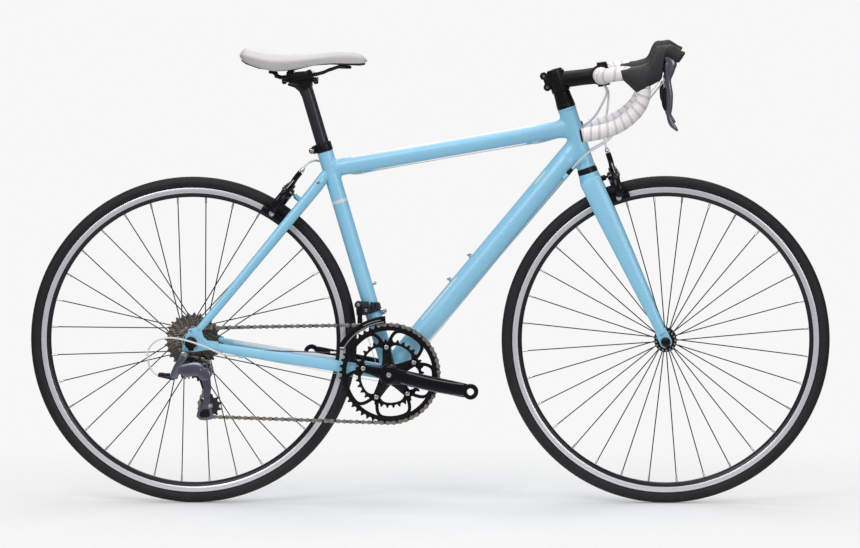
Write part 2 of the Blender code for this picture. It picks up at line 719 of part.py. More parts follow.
DOWN_TUBE_HEAD = steerer(HEAD_TOP_AT - DOWN_TUBE_DROP_AT_HEAD)
DOWN_TUBE_ALONG = (DOWN_TUBE_HEAD - BOTTOM_BRACKET).normalized()
DOWN_TUBE_UNDER = SIDE.cross(DOWN_TUBE_ALONG).normalized()
if DOWN_TUBE_UNDER.z > 0:
    DOWN_TUBE_UNDER.negate()
down_stations = [
    (BOTTOM_BRACKET, DOWN_TUBE_RADIUS, DOWN_TUBE_RADIUS * 0.92),
    (between(BOTTOM_BRACKET, DOWN_TUBE_HEAD, 0.88), DOWN_TUBE_RADIUS, DOWN_TUBE_RADIUS),
    (between(BOTTOM_BRACKET, DOWN_TUBE_HEAD, 0.96), HEAD_TUBE_RADIUS * 0.97, DOWN_TUBE_RADIUS),
    (DOWN_TUBE_HEAD, HEAD_TUBE_RADIUS * 0.92, DOWN_TUBE_RADIUS),
]
down_tube = tube("down_tube", down_stations, BLUE, 12, wall=TUBE_WALL)


def down_tube_at(distance, below=0.0, side=0.0):
    return BOTTOM_BRACKET + DOWN_TUBE_ALONG * distance + DOWN_TUBE_UNDER * below + SIDE * side


SHIFT_STOP_FROM_HEAD = 0.071311
SHIFT_STOP_AT = (DOWN_TUBE_HEAD - BOTTOM_BRACKET).length - SHIFT_STOP_FROM_HEAD
SHIFT_STOP_SIDE = 0.0190
SHIFT_STOP_BELOW = DOWN_TUBE_RADIUS * 0.80
SHIFT_STOP_LENGTH = 0.012
SHIFT_BARREL_LENGTH = 0.014
down_extras = []
down_bores = []
for word, side in (("right", -1), ("left", 1)):
    place = (SHIFT_STOP_BELOW, side * SHIFT_STOP_SIDE)
    root = down_tube_at(SHIFT_STOP_AT + SHIFT_STOP_LENGTH / 2, SHIFT_STOP_BELOW - 0.0028, side * SHIFT_STOP_SIDE)
    size = (SHIFT_STOP_LENGTH, 0.0100, 0.0090)
    down_extras.append(block(f"shift_stop_{word}", root, DOWN_TUBE_ALONG, DOWN_TUBE_UNDER, size, BLUE))
    foot = down_tube_at(SHIFT_STOP_AT + SHIFT_STOP_LENGTH - 0.003, *place)
    head = down_tube_at(SHIFT_STOP_AT + SHIFT_STOP_LENGTH + SHIFT_BARREL_LENGTH, *place)
    down_extras.append(rod(f"shift_barrel_{word}", foot, head, 0.0040, BLUE, 8))
    bore_low = down_tube_at(SHIFT_STOP_AT - 0.01, *place)
    down_bores.append(rod(f"shift_bore_{word}", bore_low, head + DOWN_TUBE_ALONG * 0.01, 0.0013, None, 6))
BOTTLE_LOW_ON_DOWN = 0.196
for index in range(2):
    foot = down_tube_at(BOTTLE_LOW_ON_DOWN + BOSS_SPACING * index, -DOWN_TUBE_RADIUS + 0.0020)
    head = foot - DOWN_TUBE_UNDER * (0.0020 + BOSS_HEIGHT)
    down_extras.append(rod(f"bottle_boss_down_{index}", foot, head, BOSS_RADIUS, BLUE, 8))
fuse(down_tube, *down_extras)
top_grown = grown("top_in_down_tube", top_stations, 10, SEAM + 0.0002, square=0.9)
down_cutters = [head_cutter("head_in_down_tube"), shell_cutter("shell_in_down_tube"), seat_cutter("seat_in_down_tube", 0.0006, 0.3)]
cut(down_tube, *down_cutters, top_grown, *down_bores)

SEAT_FORWARD = Vector((math.sin(SEAT_ANGLE), 0.0, math.cos(SEAT_ANGLE)))
BOTTLE_LOW_ON_SEAT = 0.121
seat_extras = []
for index in range(2):
    foot = BOTTOM_BRACKET + SEAT_UP * (BOTTLE_LOW_ON_SEAT + BOSS_SPACING * index) + SEAT_FORWARD * (SEAT_TUBE_RADIUS - 0.0015)
    head = foot + SEAT_FORWARD * (0.0015 + BOSS_HEIGHT)
    seat_extras.append(rod(f"bottle_boss_seat_{index}", foot, head, BOSS_RADIUS, BLUE, 8))
fuse(seat_tube, *seat_extras)
cut(seat_tube, shell_cutter("shell_in_seat_tube"))

collar_foot = SEAT_TOP + SEAT_UP * SEAM
collar_top = collar_foot + SEAT_UP * SEAT_COLLAR_HEIGHT
seat_collar = rod("seat_clamp_collar", collar_foot, collar_top, SEAT_TUBE_BORE + SEAT_COLLAR_WALL, BLACK, 16, SEAT_TUBE_BORE)
ears_at = between(collar_foot, collar_top, 0.5) - SEAT_FORWARD * (SEAT_TUBE_BORE + SEAT_COLLAR_WALL + 0.001)
ears = block("collar_ears", ears_at, SEAT_FORWARD, SEAT_UP, (0.0090, SEAT_COLLAR_HEIGHT * 0.9, 0.013), BLACK)
slit = block("collar_slit", ears_at - SEAT_FORWARD * 0.002, SEAT_FORWARD, SEAT_UP, (0.013, SEAT_COLLAR_HEIGHT * 1.4, 0.0016), None)
fuse(seat_collar, ears)
cut(seat_collar, slit)

# Rear triangle
STAY_SIDE = REAR_HUB_SPACING / 2 + DROPOUT_THICKNESS / 2
SEATSTAY_TOP = SEAT_TOP - SEAT_UP * SEATSTAY_TOP_BELOW - SEAT_FORWARD * 0.006
SEATSTAY_END = REAR_AXLE + Vector((0.0160, 0.0, 0.0265))
SEATSTAY_ALONG = (SEATSTAY_END - SEATSTAY_TOP).normalized()
CHAINSTAY_ALONG = (REAR_AXLE - BOTTOM_BRACKET).normalized()
SLOT_HALF = REAR_AXLE_RADIUS + AXLE_SLOT_CLEARANCE
HANGER_BOLT = REAR_AXLE + Vector((-0.0135, 0.0, -0.0240))
EYELET = REAR_AXLE + Vector((-0.0005, 0.0, 0.0240))


def arc(centre, radius, first, last, steps):
    angles = [math.radians(first + (last - first) * step / steps) for step in range(steps + 1)]
    return [(centre[0] + radius * math.cos(a), centre[1] + radius * math.sin(a)) for a in angles]


def dropout_outline(hanger):
    """Round the axle, seen from the drive side; the slot opens downwards."""
    half = SLOT_HALF
    slot = [(half, -0.0190), (half, 0.0)] + arc((0.0, 0.0), half, 45, 135, 2) + [(-half, 0.0)]
    if hanger:
        low = arc((HANGER_BOLT.x - REAR_AXLE.x, HANGER_BOLT.z - REAR_AXLE.z), 0.0078, -25, -190, 4)
        low = [(-half, -0.0190)] + low
    else:
        low = [(-half, -0.0190), (-0.0130, -0.0175)]
    rear = [(-0.0155, -0.0040), (-0.0105, 0.0130)] + arc((-0.0005, 0.0240), EYELET_RADIUS, 190, 60, 3)
    front = [(0.0100, 0.0310), (0.0225, 0.0245), (0.0250, 0.0120), (0.0330, 0.0030), (0.0560, 0.0005), (0.0560, -0.0135), (0.0200, -0.0170)]
    return slot + low + rear + front


def chainstay_stations(side):
    spread = CHAINSTAY_SPREAD
    reach = (REAR_AXLE - BOTTOM_BRACKET).length
    places = ((0.004, spread, 1.0), (0.20, spread + 0.0035, 0.98), (0.45, spread + 0.0150, 0.90), (0.70, spread + 0.0290, 0.78))
    stations = []
    for share, out, size in places:
        centre = BOTTOM_BRACKET + CHAINSTAY_ALONG * (reach * share) + SIDE * (side * out)
        stations.append((centre, CHAINSTAY_HALF_WIDTH, CHAINSTAY_HALF_HEIGHT * size))
    end = REAR_AXLE - CHAINSTAY_ALONG * 0.040 + SIDE * (side * STAY_SIDE) - UP * 0.001
    stations.append((end, DROPOUT_THICKNESS / 2 + 0.0018, CHAINSTAY_END_HALF_HEIGHT))
    return stations


SHIFT_STOP_ON_STAY = 0.745
STAY_STOP = (
    BOTTOM_BRACKET + CHAINSTAY_ALONG * ((REAR_AXLE - BOTTOM_BRACKET).length * SHIFT_STOP_ON_STAY)
    - SIDE * (CHAINSTAY_SPREAD + 0.0315) - UP * (CHAINSTAY_HALF_HEIGHT * 0.76 + 0.0025)
)


def make_chainstay(name, side, hanger):
    stations = chainstay_stations(side)
    made = tube(name, stations, BLUE, 10, wall=TUBE_WALL)
    inner = REAR_AXLE + SIDE * (side * REAR_HUB_SPACING / 2)
    outline = dropout_outline(hanger)
    dropout = plate(name + "_dropout", outline, inner, AHEAD, UP, SIDE * (side * DROPOUT_THICKNESS), BLUE)
    fuse(made, dropout)
    tools = [shell_cutter(name + "_shell")]
    hole = EYELET + SIDE * (side * STAY_SIDE)
    tools.append(rod(name + "_eyelet_hole", hole - SIDE * 0.01, hole + SIDE * 0.01, EYELET_HOLE_RADIUS, None, 6))
    if hanger:
        stop = block(name + "_stop", STAY_STOP, AHEAD, UP, (0.013, 0.0090, 0.0070), BLUE)
        bore = rod(name + "_stop_bore", STAY_STOP - AHEAD * 0.03, STAY_STOP + AHEAD * 0.03, 0.0014, None, 6)
        fuse(made, stop)
        tools.append(bore)
    cut(made, *tools)
    return made


chainstay_right = make_chainstay("chainstay_right", -1, True)
chainstay_left = make_chainstay("chainstay_left", 1, False)


def seatstay_stations(side, extend=0.0):
    top = SEATSTAY_TOP + SIDE * (side * SEATSTAY_SPREAD)
    low = SEATSTAY_END + SIDE * (side * (STAY_SIDE - 0.0006))
    along = (low - top).normalized()
    return [(top - along * extend, SEATSTAY_RADIUS, SEATSTAY_RADIUS), (low + along * extend, SEATSTAY_RADIUS * 0.86, SEATSTAY_RADIUS * 0.86)]


def make_seatstay(name, side, hanger):
    made = tube(name, seatstay_stations(side), BLUE, 12, wall=TUBE_WALL)
    inner = REAR_AXLE + SIDE * (side * (REAR_HUB_SPACING / 2 - SEAM))
    outline = dropout_outline(hanger)
    shape = plate(name + "_dropout_space", outline, inner, AHEAD, UP, SIDE * (side * (DROPOUT_THICKNESS + 2 * SEAM)), None)
    lip = block(name + "_dropout_lip", SEATSTAY_END + SEATSTAY_ALONG * 0.0033 + SIDE * (side * STAY_SIDE), SEATSTAY_ALONG, SIDE, (0.0132, 0.03, 0.03), None)
    return cut(made, seat_cutter(name + "_seat_tube"), shape, lip)


seatstay_right = make_seatstay("seatstay_right", -1, True)
seatstay_left = make_seatstay("seatstay_left", 1, False)

# Brake geometry: the arms turn on a bolt, in a plane that hangs down towards the rim
PAD_RADIUS = RIM_OUTER_RADIUS - RIM_TRACK_HEIGHT / 2


class Caliper:
    def __init__(self, word, bolt_root, bolt_along, hang, axle, standoff):
        self.word = word
        self.root = bolt_root
        self.along = bolt_along
        self.hang = hang
        self.centre = bolt_root + bolt_along * standoff
        self.axle = axle
        reach = self.centre + self.hang * BRAKE_REACH - axle
        ahead = reach.dot(bolt_along)
        rest = reach - bolt_along * ahead
        shift = math.sqrt(max(PAD_RADIUS**2 - rest.length_squared, 1e-8)) * math.copysign(1.0, ahead)
        self.pad = axle + rest + bolt_along * shift
        self.pad_offset = (self.pad - self.centre).dot(bolt_along)
        radial = (self.pad - axle).normalized()
        self.tangent = SIDE.cross(radial).normalized()
        self.radial = radial


FRONT_BRAKE_AT = FORK_LENGTH - 0.013
front_brake = Caliper("front", steerer(FRONT_BRAKE_AT), HEAD_FORWARD, -HEAD_UP, FRONT_AXLE, BRAKE_STANDOFF)
bridge_reach_out = TYRE_RADIUS + BRIDGE_CLEARANCE
stay_from_axle = SEATSTAY_TOP - REAR_AXLE
along_stay = stay_from_axle.dot(SEATSTAY_ALONG)
aside_squared = stay_from_axle.length_squared - along_stay**2
bridge_centre = SEATSTAY_TOP - SEATSTAY_ALONG * (along_stay + math.sqrt(bridge_reach_out**2 - aside_squared))
STAY_OUT = SEATSTAY_ALONG.cross(SIDE).normalized()
if STAY_OUT.z < 0:
    STAY_OUT.negate()
rear_brake = Caliper("rear", bridge_centre, STAY_OUT, SEATSTAY_ALONG, REAR_AXLE, REAR_BRAKE_STANDOFF)

bridge_reach = SIDE * SEATSTAY_SPREAD * 1.25
brake_bridge = rod("brake_bridge", bridge_centre - bridge_reach, bridge_centre + bridge_reach, BRIDGE_RADIUS, BLUE, 12)


def brake_bolt(name, caliper):
    """The bolt that both arms turn on, from its root through a collar to its nut."""
    reach = (caliper.centre - caliper.root).length
    collar = reach - BRAKE_ARM_THICKNESS - 2 * SEAM
    nut = reach + BRAKE_ARM_THICKNESS + 2 * SEAM
    wide = BRAKE_BOLT_RADIUS + 0.0028
    profile = [(0.0, 0.0), (0.0, wide), (collar, wide), (collar, BRAKE_BOLT_RADIUS), (nut, BRAKE_BOLT_RADIUS)]
    profile += [(nut, wide), (nut + 0.005, wide), (nut + 0.005, 0.0)]
    return turned(name, caliper.root, caliper.along, profile, BLACK, 10, start=SIDE, closed=False)


fuse(brake_bridge, brake_bolt("rear_brake_bolt", rear_brake))
for word, side in (("right", -1), ("left", 1)):
    stay_tool = grown(f"stay_in_bridge_{word}", seatstay_stations(side, 0.005), 12)
    cut(brake_bridge, stay_tool)

# Fork
FORK_FOOT = steerer(FORK_LENGTH - 0.004)
race_top = (steerer(HEAD_BOTTOM_AT) - FORK_FOOT).length - SEAM
steerer_top = (steerer(STEM_TOP_AT) - FORK_FOOT).length - 0.006
fork_profile = [(0.0, 0.0), (0.0, HEADSET_RADIUS), (race_top, HEADSET_RADIUS), (race_top, STEERER_RADIUS)]
fork_profile += [(steerer_top, STEERER_RADIUS), (steerer_top, 0.0)]
fork = turned("fork", FORK_FOOT, HEAD_UP, fork_profile, BLUE, 16, closed=False)
crown_rings = []
CROWN_REACH = CROWN_HALF_WIDTH
for share, drop, deep, tall in ((-1.0, 0.009, 0.0165, 0.0090), (-0.6, 0.001, 0.0205, 0.0125), (0.0, 0.0, 0.0225, 0.0125), (0.6, 0.001, 0.0205, 0.0125), (1.0, 0.009, 0.0165, 0.0090)):
    centre = BLADE_TOP + SIDE * (share * CROWN_REACH) - HEAD_UP * drop
    crown_rings.append(ring_points(centre, SIDE, HEAD_UP, deep, tall, 8))
crown = loft("fork_crown", crown_rings, BLUE)
FORK_BLADE_SPREAD = 0.0318
FORK_END_SIDE = FRONT_HUB_SPACING / 2 + FORK_END_THICKNESS / 2
fork_tools = [crown]
for word, side in (("right", -1), ("left", 1)):
    top = BLADE_TOP + SIDE * (side * FORK_BLADE_SPREAD) + BLADE_UP * 0.004
    foot = FRONT_AXLE + SIDE * (side * (FORK_END_SIDE + 0.0004)) + BLADE_UP * 0.020
    stations = []
    for share, size, bow in ((0.0, 0.0, 0.0), (0.22, 0.12, 0.0015), (0.6, 0.55, 0.001), (1.0, 1.0, 0.0)):
        centre = between(top, foot, share) + SIDE * (side * bow)
        deep = BLADE_TOP_HALF_DEPTH + (BLADE_END_HALF_DEPTH - BLADE_TOP_HALF_DEPTH) * size
        wide = BLADE_TOP_HALF_WIDTH + (BLADE_END_HALF_WIDTH - BLADE_TOP_HALF_WIDTH) * size
        stations.append((centre, wide, deep))
    fork_tools.append(tube(f"fork_blade_{word}", stations, BLUE, 8, up=AHEAD))
    half = FRONT_AXLE_RADIUS + AXLE_SLOT_CLEARANCE
    outline = [(half, -0.0125), (half, 0.0)] + arc((0.0, 0.0), half, 45, 135, 2) + [(-half, 0.0), (-half, -0.0125)]
    outline += [(-0.0100, -0.0085), (-0.0125, 0.0), (-0.0120, 0.0130), (-0.0110, 0.0270), (0.0110, 0.0270), (0.0120, 0.0130), (0.0125, 0.0), (0.0100, -0.0085)]
    turned_outline = []
    for a, b in outline:
        place = BLADE_UP.cross(SIDE) * a + BLADE_UP * b
        turned_outline.append((place.x, place.z))
    inner = FRONT_AXLE + SIDE * (side * FRONT_HUB_SPACING / 2)
    fork_tools.append(plate(f"fork_end_{word}", turned_outline, inner, AHEAD, UP, SIDE * (side * FORK_END_THICKNESS), BLUE))
fuse(fork, *fork_tools, brake_bolt("front_brake_bolt", front_brake))
steerer_bore = rod("steerer_bore", steerer(FORK_LENGTH + 0.010), steerer(STEM_TOP_AT + 0.01), STEERER_RADIUS - 0.0022, None, 16)
cut(fork, steerer_bore)

# Stem, faceplate and bar
STEM_ROOT = steerer(STEM_AT + STEM_CLAMP_HEIGHT * 0.57)
STEM_ALONG = direction(STEM_RISE)
BAR_CENTRE = STEM_ROOT + STEM_ALONG * STEM_LENGTH
STEM_UPRIGHT = SIDE.cross(STEM_ALONG).normalized()
if STEM_UPRIGHT.z < 0:
    STEM_UPRIGHT.negate()
STEM_FOOT = steerer(HEAD_TOP_AT) + HEAD_UP * SEAM
spacer_top = SPACER_HEIGHT - SEAM
clamp_top = spacer_top + STEM_CLAMP_HEIGHT
stem_profile = [(0.0, 0.0), (0.0, SPACER_RADIUS * 0.94), (spacer_top, SPACER_RADIUS * 0.94), (spacer_top, STEM_CLAMP_RADIUS)]
stem_profile += [(clamp_top, STEM_CLAMP_RADIUS), (clamp_top, STEM_CLAMP_RADIUS * 0.86)]
stem_profile += [(clamp_top + 0.0055, STEM_CLAMP_RADIUS * 0.80), (clamp_top + 0.0055, 0.0)]
stem = turned("stem", STEM_FOOT, HEAD_UP, stem_profile, BLACK, 16, closed=False)
stem_stations = [
    (STEM_ROOT, STEM_TUBE_RADIUS, STEM_TUBE_RADIUS),
    (between(STEM_ROOT, BAR_CENTRE, 0.55), STEM_TUBE_RADIUS * 0.96, STEM_TUBE_RADIUS * 0.96),
    (BAR_CENTRE - STEM_ALONG * 0.004, STEM_TUBE_RADIUS, STEM_TUBE_RADIUS * 1.08),
]
stem_tube = tube("stem_tube", stem_stations, BLACK, 10)
clamp_reach = SIDE * (BAR_CLAMP_WIDTH / 2)
bar_clamp = rod("bar_clamp", BAR_CENTRE - clamp_reach, BAR_CENTRE + clamp_reach, BAR_CLAMP_SHELL, BLACK, 16)
pinch_at = STEM_ROOT - STEM_ALONG * (STEM_CLAMP_RADIUS + 0.0035)
pinch = block("stem_pinch", pinch_at, STEM_ALONG, HEAD_UP, (0.0110, 0.034, 0.020), BLACK)
fuse(stem, stem_tube, bar_clamp, pinch)
BAR_BORE = BAR_CLAMP_RADIUS + SEAM + 0.0001
bore_reach = SIDE * (BAR_CLAMP_WIDTH / 2 + 0.02)
stem_bar_bore = rod("stem_bar_bore", BAR_CENTRE - bore_reach, BAR_CENTRE + bore_reach, BAR_BORE, None, 16, phase=0.0)
front_cut = block("stem_front_cut", BAR_CENTRE + STEM_ALONG * (0.05 - SEAM / 2), STEM_ALONG, STEM_UPRIGHT, (0.1, 0.09, 0.09), None)
stem_bore = rod("stem_bore", steerer(HEAD_TOP_AT - 0.01), steerer(STEM_TOP_AT - 0.0045), STEERER_RADIUS + SEAM + 0.0001, None, 16)
cut(stem, stem_bar_bore, front_cut, stem_bore)
faceplate = rod("stem_faceplate", BAR_CENTRE - clamp_reach, BAR_CENTRE + clamp_reach, BAR_CLAMP_SHELL, BLACK, 16)
plate_bore = rod("plate_bar_bore", BAR_CENTRE - bore_reach, BAR_CENTRE + bore_reach, BAR_BORE, None, 16, phase=0.0)
back_cut = block("plate_back_cut", BAR_CENTRE - STEM_ALONG * (0.05 - SEAM / 2), STEM_ALONG, STEM_UPRIGHT, (0.1, 0.09, 0.09), None)
plate_bolts = []
for side in (-1, 1):
    for rise in (-1, 1):
        foot = BAR_CENTRE + STEM_ALONG * 0.0060 + STEM_UPRIGHT * (rise * 0.0182) + SIDE * (side * 0.013)
        plate_bolts.append(rod(f"plate_bolt_{side}_{rise}", foot, foot + STEM_ALONG * 0.0100, 0.0034, BLACK, 6))
fuse(faceplate, *plate_bolts)
cut(faceplate, plate_bore, back_cut)

HALF_BAR = BAR_WIDTH / 2
# Each point: share of the half width, share of the reach, share of the drop, radius
bar_route = [
    (0.0, 0.0, 0.0), (0.17, 0.0, 0.0), (0.40, 0.0, 0.0), (0.78, 0.0, 0.0), (0.90, 0.05, 0.01),
    (0.985, 0.20, 0.045), (1.0, 0.42, 0.070), (1.0, 0.66, 0.068), (1.0, 0.87, -0.02), (1.0, 0.99, -0.17),
    (1.0, 0.98, -0.36), (1.0, 0.85, -0.55), (1.0, 0.62, -0.72), (1.0, 0.34, -0.85), (1.0, 0.0, -0.93), (1.0, -0.50, -1.0),
]


def bar_centreline(side):
    """Points along one half of the bar, their distances, and an upward direction carried along it."""
    points = []
    for across, ahead, rise in bar_route:
        points.append(BAR_CENTRE + Vector((ahead * BAR_REACH, side * across * HALF_BAR, rise * BAR_DROP)))
    fine = smooth_path(points, 6)
    lengths = [0.0]
    for first, second in zip(fine, fine[1:]):
        lengths.append(lengths[-1] + (second - first).length)
    lift = UP.copy()
    lifts = []
    for index, point in enumerate(fine):
        along = (fine[min(index + 1, len(fine) - 1)] - fine[max(index - 1, 0)]).normalized()
        lift = (lift - along * lift.dot(along)).normalized()
        lifts.append(lift.copy())
    return fine, lengths, lifts


def walk(values, lengths, distance):
    for index in range(len(values) - 1):
        if lengths[index + 1] >= distance or index == len(values) - 2:
            span = lengths[index + 1] - lengths[index]
            return between(values[index], values[index + 1], (distance - lengths[index]) / span)


def sweep_rings(path, marks):
    """marks: (distance along the path, radius)."""
    points, lengths, lifts = path
    rings = []
    for distance, radius in marks:
        along = walk(points, lengths, distance + 0.001) - walk(points, lengths, distance - 0.001)
        lift = walk(lifts, lengths, distance)
        rings.append(ring_points(walk(points, lengths, distance), along, lift, radius, radius, BAR_SIDES))
    return rings


BAR_SIDES = 8
right_bar = bar_centreline(-1)
left_bar = bar_centreline(1)
HALF_LENGTH = right_bar[1][-1]
BEND_WEIGHT = 0.10


def bar_marks(first, last, count, radius):
    """Places along the bar, closer together where it bends."""
    points, lengths, lifts = right_bar
    sums = [0.0]
    for index in range(1, len(points) - 1):
        step = lengths[index] - lengths[index - 1]
        turn = (points[index] - points[index - 1]).angle(points[index + 1] - points[index])
        sums.append(sums[-1] + step + BEND_WEIGHT * turn)
    sums.append(sums[-1] + lengths[-1] - lengths[-2])

    def weigh(distance):
        for index in range(len(lengths) - 1):
            if lengths[index + 1] >= distance - 1e-9:
                share = (distance - lengths[index]) / (lengths[index + 1] - lengths[index])
                return sums[index] + (sums[index + 1] - sums[index]) * share
        return sums[-1]

    def unweigh(total):
        for index in range(len(sums) - 1):
            if sums[index + 1] >= total - 1e-9:
                share = (total - sums[index]) / (sums[index + 1] - sums[index])
                return lengths[index] + (lengths[index + 1] - lengths[index]) * share
        return lengths[-1]

    low, high = weigh(first), weigh(last)
    return [(unweigh(low + (high - low) * step / (count - 1)), radius) for step in range(count)]


def straight_rings(side, places):
    """Rings square to the bar's straight middle."""
    rings = []
    for out, radius in places:
        rings.append(ring_points(BAR_CENTRE + SIDE * (side * out), SIDE * side, UP, radius, radius, BAR_SIDES))
    return rings


BAR_STRAIGHT = HALF_BAR * 0.78
BAR_BEND_RINGS = 13


def half_bar_rings(side, shrink, end_radius):
    path = right_bar if side < 0 else left_bar
    middle = straight_rings(side, [(0.030, BAR_CLAMP_RADIUS - shrink), (0.062, BAR_RADIUS - shrink)])
    marks = bar_marks(BAR_STRAIGHT, HALF_LENGTH - PLUG_THICKNESS, BAR_BEND_RINGS, BAR_RADIUS - shrink)
    rings = middle + sweep_rings(path, marks)
    if end_radius:
        rings += sweep_rings(path, [(HALF_LENGTH - PLUG_THICKNESS + 0.0001, end_radius)])
    return rings


def full_bar(shrink, end_radius, tip):
    """Rings from the right end to the left end, in one order of points."""
    right = half_bar_rings(-1, shrink, end_radius)
    left = half_bar_rings(1, shrink, end_radius)
    if tip:
        right += sweep_rings(right_bar, [(HALF_LENGTH - 0.0002, tip)])
        left += sweep_rings(left_bar, [(HALF_LENGTH - 0.0002, tip)])
    flipped_right = [list(ring) for ring in reversed(right)]
    matched = []
    for ring in flipped_right:
        ring = list(reversed(ring))
        matched.append(ring)
    return matched, left


def align(first, second):
    """Turns the second ring's order so that its points lie nearest to the first's."""
    count = len(first)
    best = min(range(count), key=lambda k: sum((first[i] - second[(i + k) % count]).length for i in range(count)))
    return [second[(i + best) % count] for i in range(count)]


def joined_bar(shrink, end_radius, tip):
    right, left = full_bar(shrink, end_radius, tip)
    rings = right
    for ring in left:
        rings.append(align(rings[-1], ring))
    return rings


outer_rings = joined_bar(0.0, BAR_RADIUS + TAPE_THICKNESS * 0.9, BAR_RADIUS + TAPE_THICKNESS * 0.6)
handlebar = loft("handlebar", outer_rings, BLACK)

# Tape: one ridge for each wrap, round the bar from beside the stem to the plug
TAPE_END = HALF_LENGTH - PLUG_THICKNESS - SEAM - 0.0002


def tape_marks(grow=0.0):
    """The tape's outside: places along the bar and radii."""
    wraps = int((TAPE_END - TAPE_START) / TAPE_WRAP)
    marks = []
    for index, (distance, radius) in enumerate(bar_marks(TAPE_START, TAPE_END, 2 * wraps + 1, BAR_RADIUS + TAPE_THICKNESS)):
        taper = max(0.0, 1.0 - (distance - TAPE_START) / 0.03) * 0.0030
        marks.append((distance, radius + taper + (TAPE_RIB if index % 2 else 0.0) + grow))
    return marks


def make_tape(name, side):
    path = right_bar if side < 0 else left_bar
    marks = tape_marks()
    skin = sweep_rings(path, marks)
    clear = SEAM + 0.0004
    bore = straight_rings(side, [(TAPE_START, BAR_RADIUS + (BAR_CLAMP_RADIUS - BAR_RADIUS) * (0.062 - TAPE_START) / 0.032 + clear), (0.062, BAR_RADIUS + clear)])
    bends = bar_marks(BAR_STRAIGHT, HALF_LENGTH - PLUG_THICKNESS, BAR_BEND_RINGS, BAR_RADIUS + clear)[:-1]
    bore += sweep_rings(path, bends)
    bore += sweep_rings(path, [(TAPE_END, BAR_RADIUS + clear)])
    return loft(name, skin, TAPE, bore=bore)


tape_right = make_tape("bar_tape_right", -1)
tape_left = make_tape("bar_tape_left", 1)

# Hoods, levers and paddles; the numbers are taken ahead of and above the bar's centre
LEVER_PIVOT = {}


def lever_place(side, ahead, above, out=0.0):
    return BAR_CENTRE + Vector((ahead, side * (HALF_BAR + out), above))


def make_hood(name, side):
    stations = []
    w = HOOD_HALF_WIDTH
    for ahead, above, half_up, wide in (
        (0.046, 0.0075, 0.0195, 0.96), (0.062, 0.0030, 0.0245, 1.0), (0.080, 0.0020, 0.0300, 1.0), (0.098, 0.0130, 0.0300, 0.97),
        (0.112, 0.0330, 0.0330, 0.90), (0.126, 0.0430, 0.0290, 0.86), (0.140, 0.0490, 0.0235, 0.82), (0.152, 0.0540, 0.0165, 0.76), (0.163, 0.0560, 0.0080, 0.58),
    ):
        stations.append(ring_points(lever_place(side, ahead, above), AHEAD, UP, w * wide, half_up, 8, square=0.85))
    made = loft(name, stations, HOOD_RUBBER)
    path = right_bar if side < 0 else left_bar
    marks = [(distance, radius) for distance, radius in tape_marks(SEAM + 0.0001) if 0.25 < distance / HALF_LENGTH < 0.90]
    wrapped = loft(name + "_bar_space", sweep_rings(path, marks), None)
    slot_at = lever_place(side, 0.1560, 0.0050)
    slot = block(name + "_lever_slot", slot_at, AHEAD, UP, (0.094, 0.1040, 2 * LEVER_SLOT_HALF_WIDTH), None)
    return cut(made, wrapped, slot)


def make_lever(name, side):
    half = LEVER_SLOT_HALF_WIDTH - SEAM
    hinge = lever_place(side, LEVER_PIVOT_AHEAD, LEVER_PIVOT_ABOVE)
    LEVER_PIVOT[side] = hinge
    head = rod(name, hinge - SIDE * half, hinge + SIDE * half, 0.0062, GREY_METAL, 12)
    stations = []
    for ahead, above, wide, thick in (
        (0.1440, 0.0450, 0.88, 1.40), (0.1345, 0.0240, 0.95, 1.35), (0.1305, 0.0070, 1.0, 1.25), (0.1310, -0.0320, 0.95, 1.1),
        (0.1295, -0.0620, 0.85, 1.0), (0.1330, -0.0850, 0.75, 0.9), (0.1490, -0.1035, 0.60, 0.7),
    ):
        stations.append((lever_place(side, ahead, above), half * wide, LEVER_THICKNESS * thick))
    blade = tube(name + "_blade", stations, GREY_METAL, 8, up=AHEAD)
    return fuse(head, blade)


def make_paddle(name, side):
    stations = []
    for ahead, above, wide in ((0.1253, -0.0160, 0.0062), (0.1236, -0.0340, 0.0085), (0.1215, -0.0160 - PADDLE_LENGTH, 0.0075)):
        stations.append((lever_place(side, ahead, above, -0.0025), wide, PADDLE_THICKNESS / 2))
    return tube(name, stations, BLACK, 8, up=AHEAD)


hood_right = make_hood("hood_right", -1)
hood_left = make_hood("hood_left", 1)
lever_right = make_lever("brake_lever_right", -1)
lever_left = make_lever("brake_lever_left", 1)
paddle_right = make_paddle("shift_paddle_right", -1)
paddle_left = make_paddle("shift_paddle_left", 1)


# Brake arms, each cut in its own plane; the pads hang beside the rim
ADJUSTER_SIDE = -0.0240
ADJUSTER_AHEAD = BRAKE_ARM_THICKNESS + 0.0035
ADJUSTER_FOOT = 0.0290
ADJUSTER_TOP = 0.0540
CLAMP_BELOW = 0.0040
CLAMP_RADIUS = 0.0042
WIRE_BORE = 0.0013


def cable_line(caliper, hang):
    """A point on the line that the cable takes down past both arms."""
    return caliper.centre + caliper.along * ADJUSTER_AHEAD + caliper.hang * hang + SIDE * ADJUSTER_SIDE


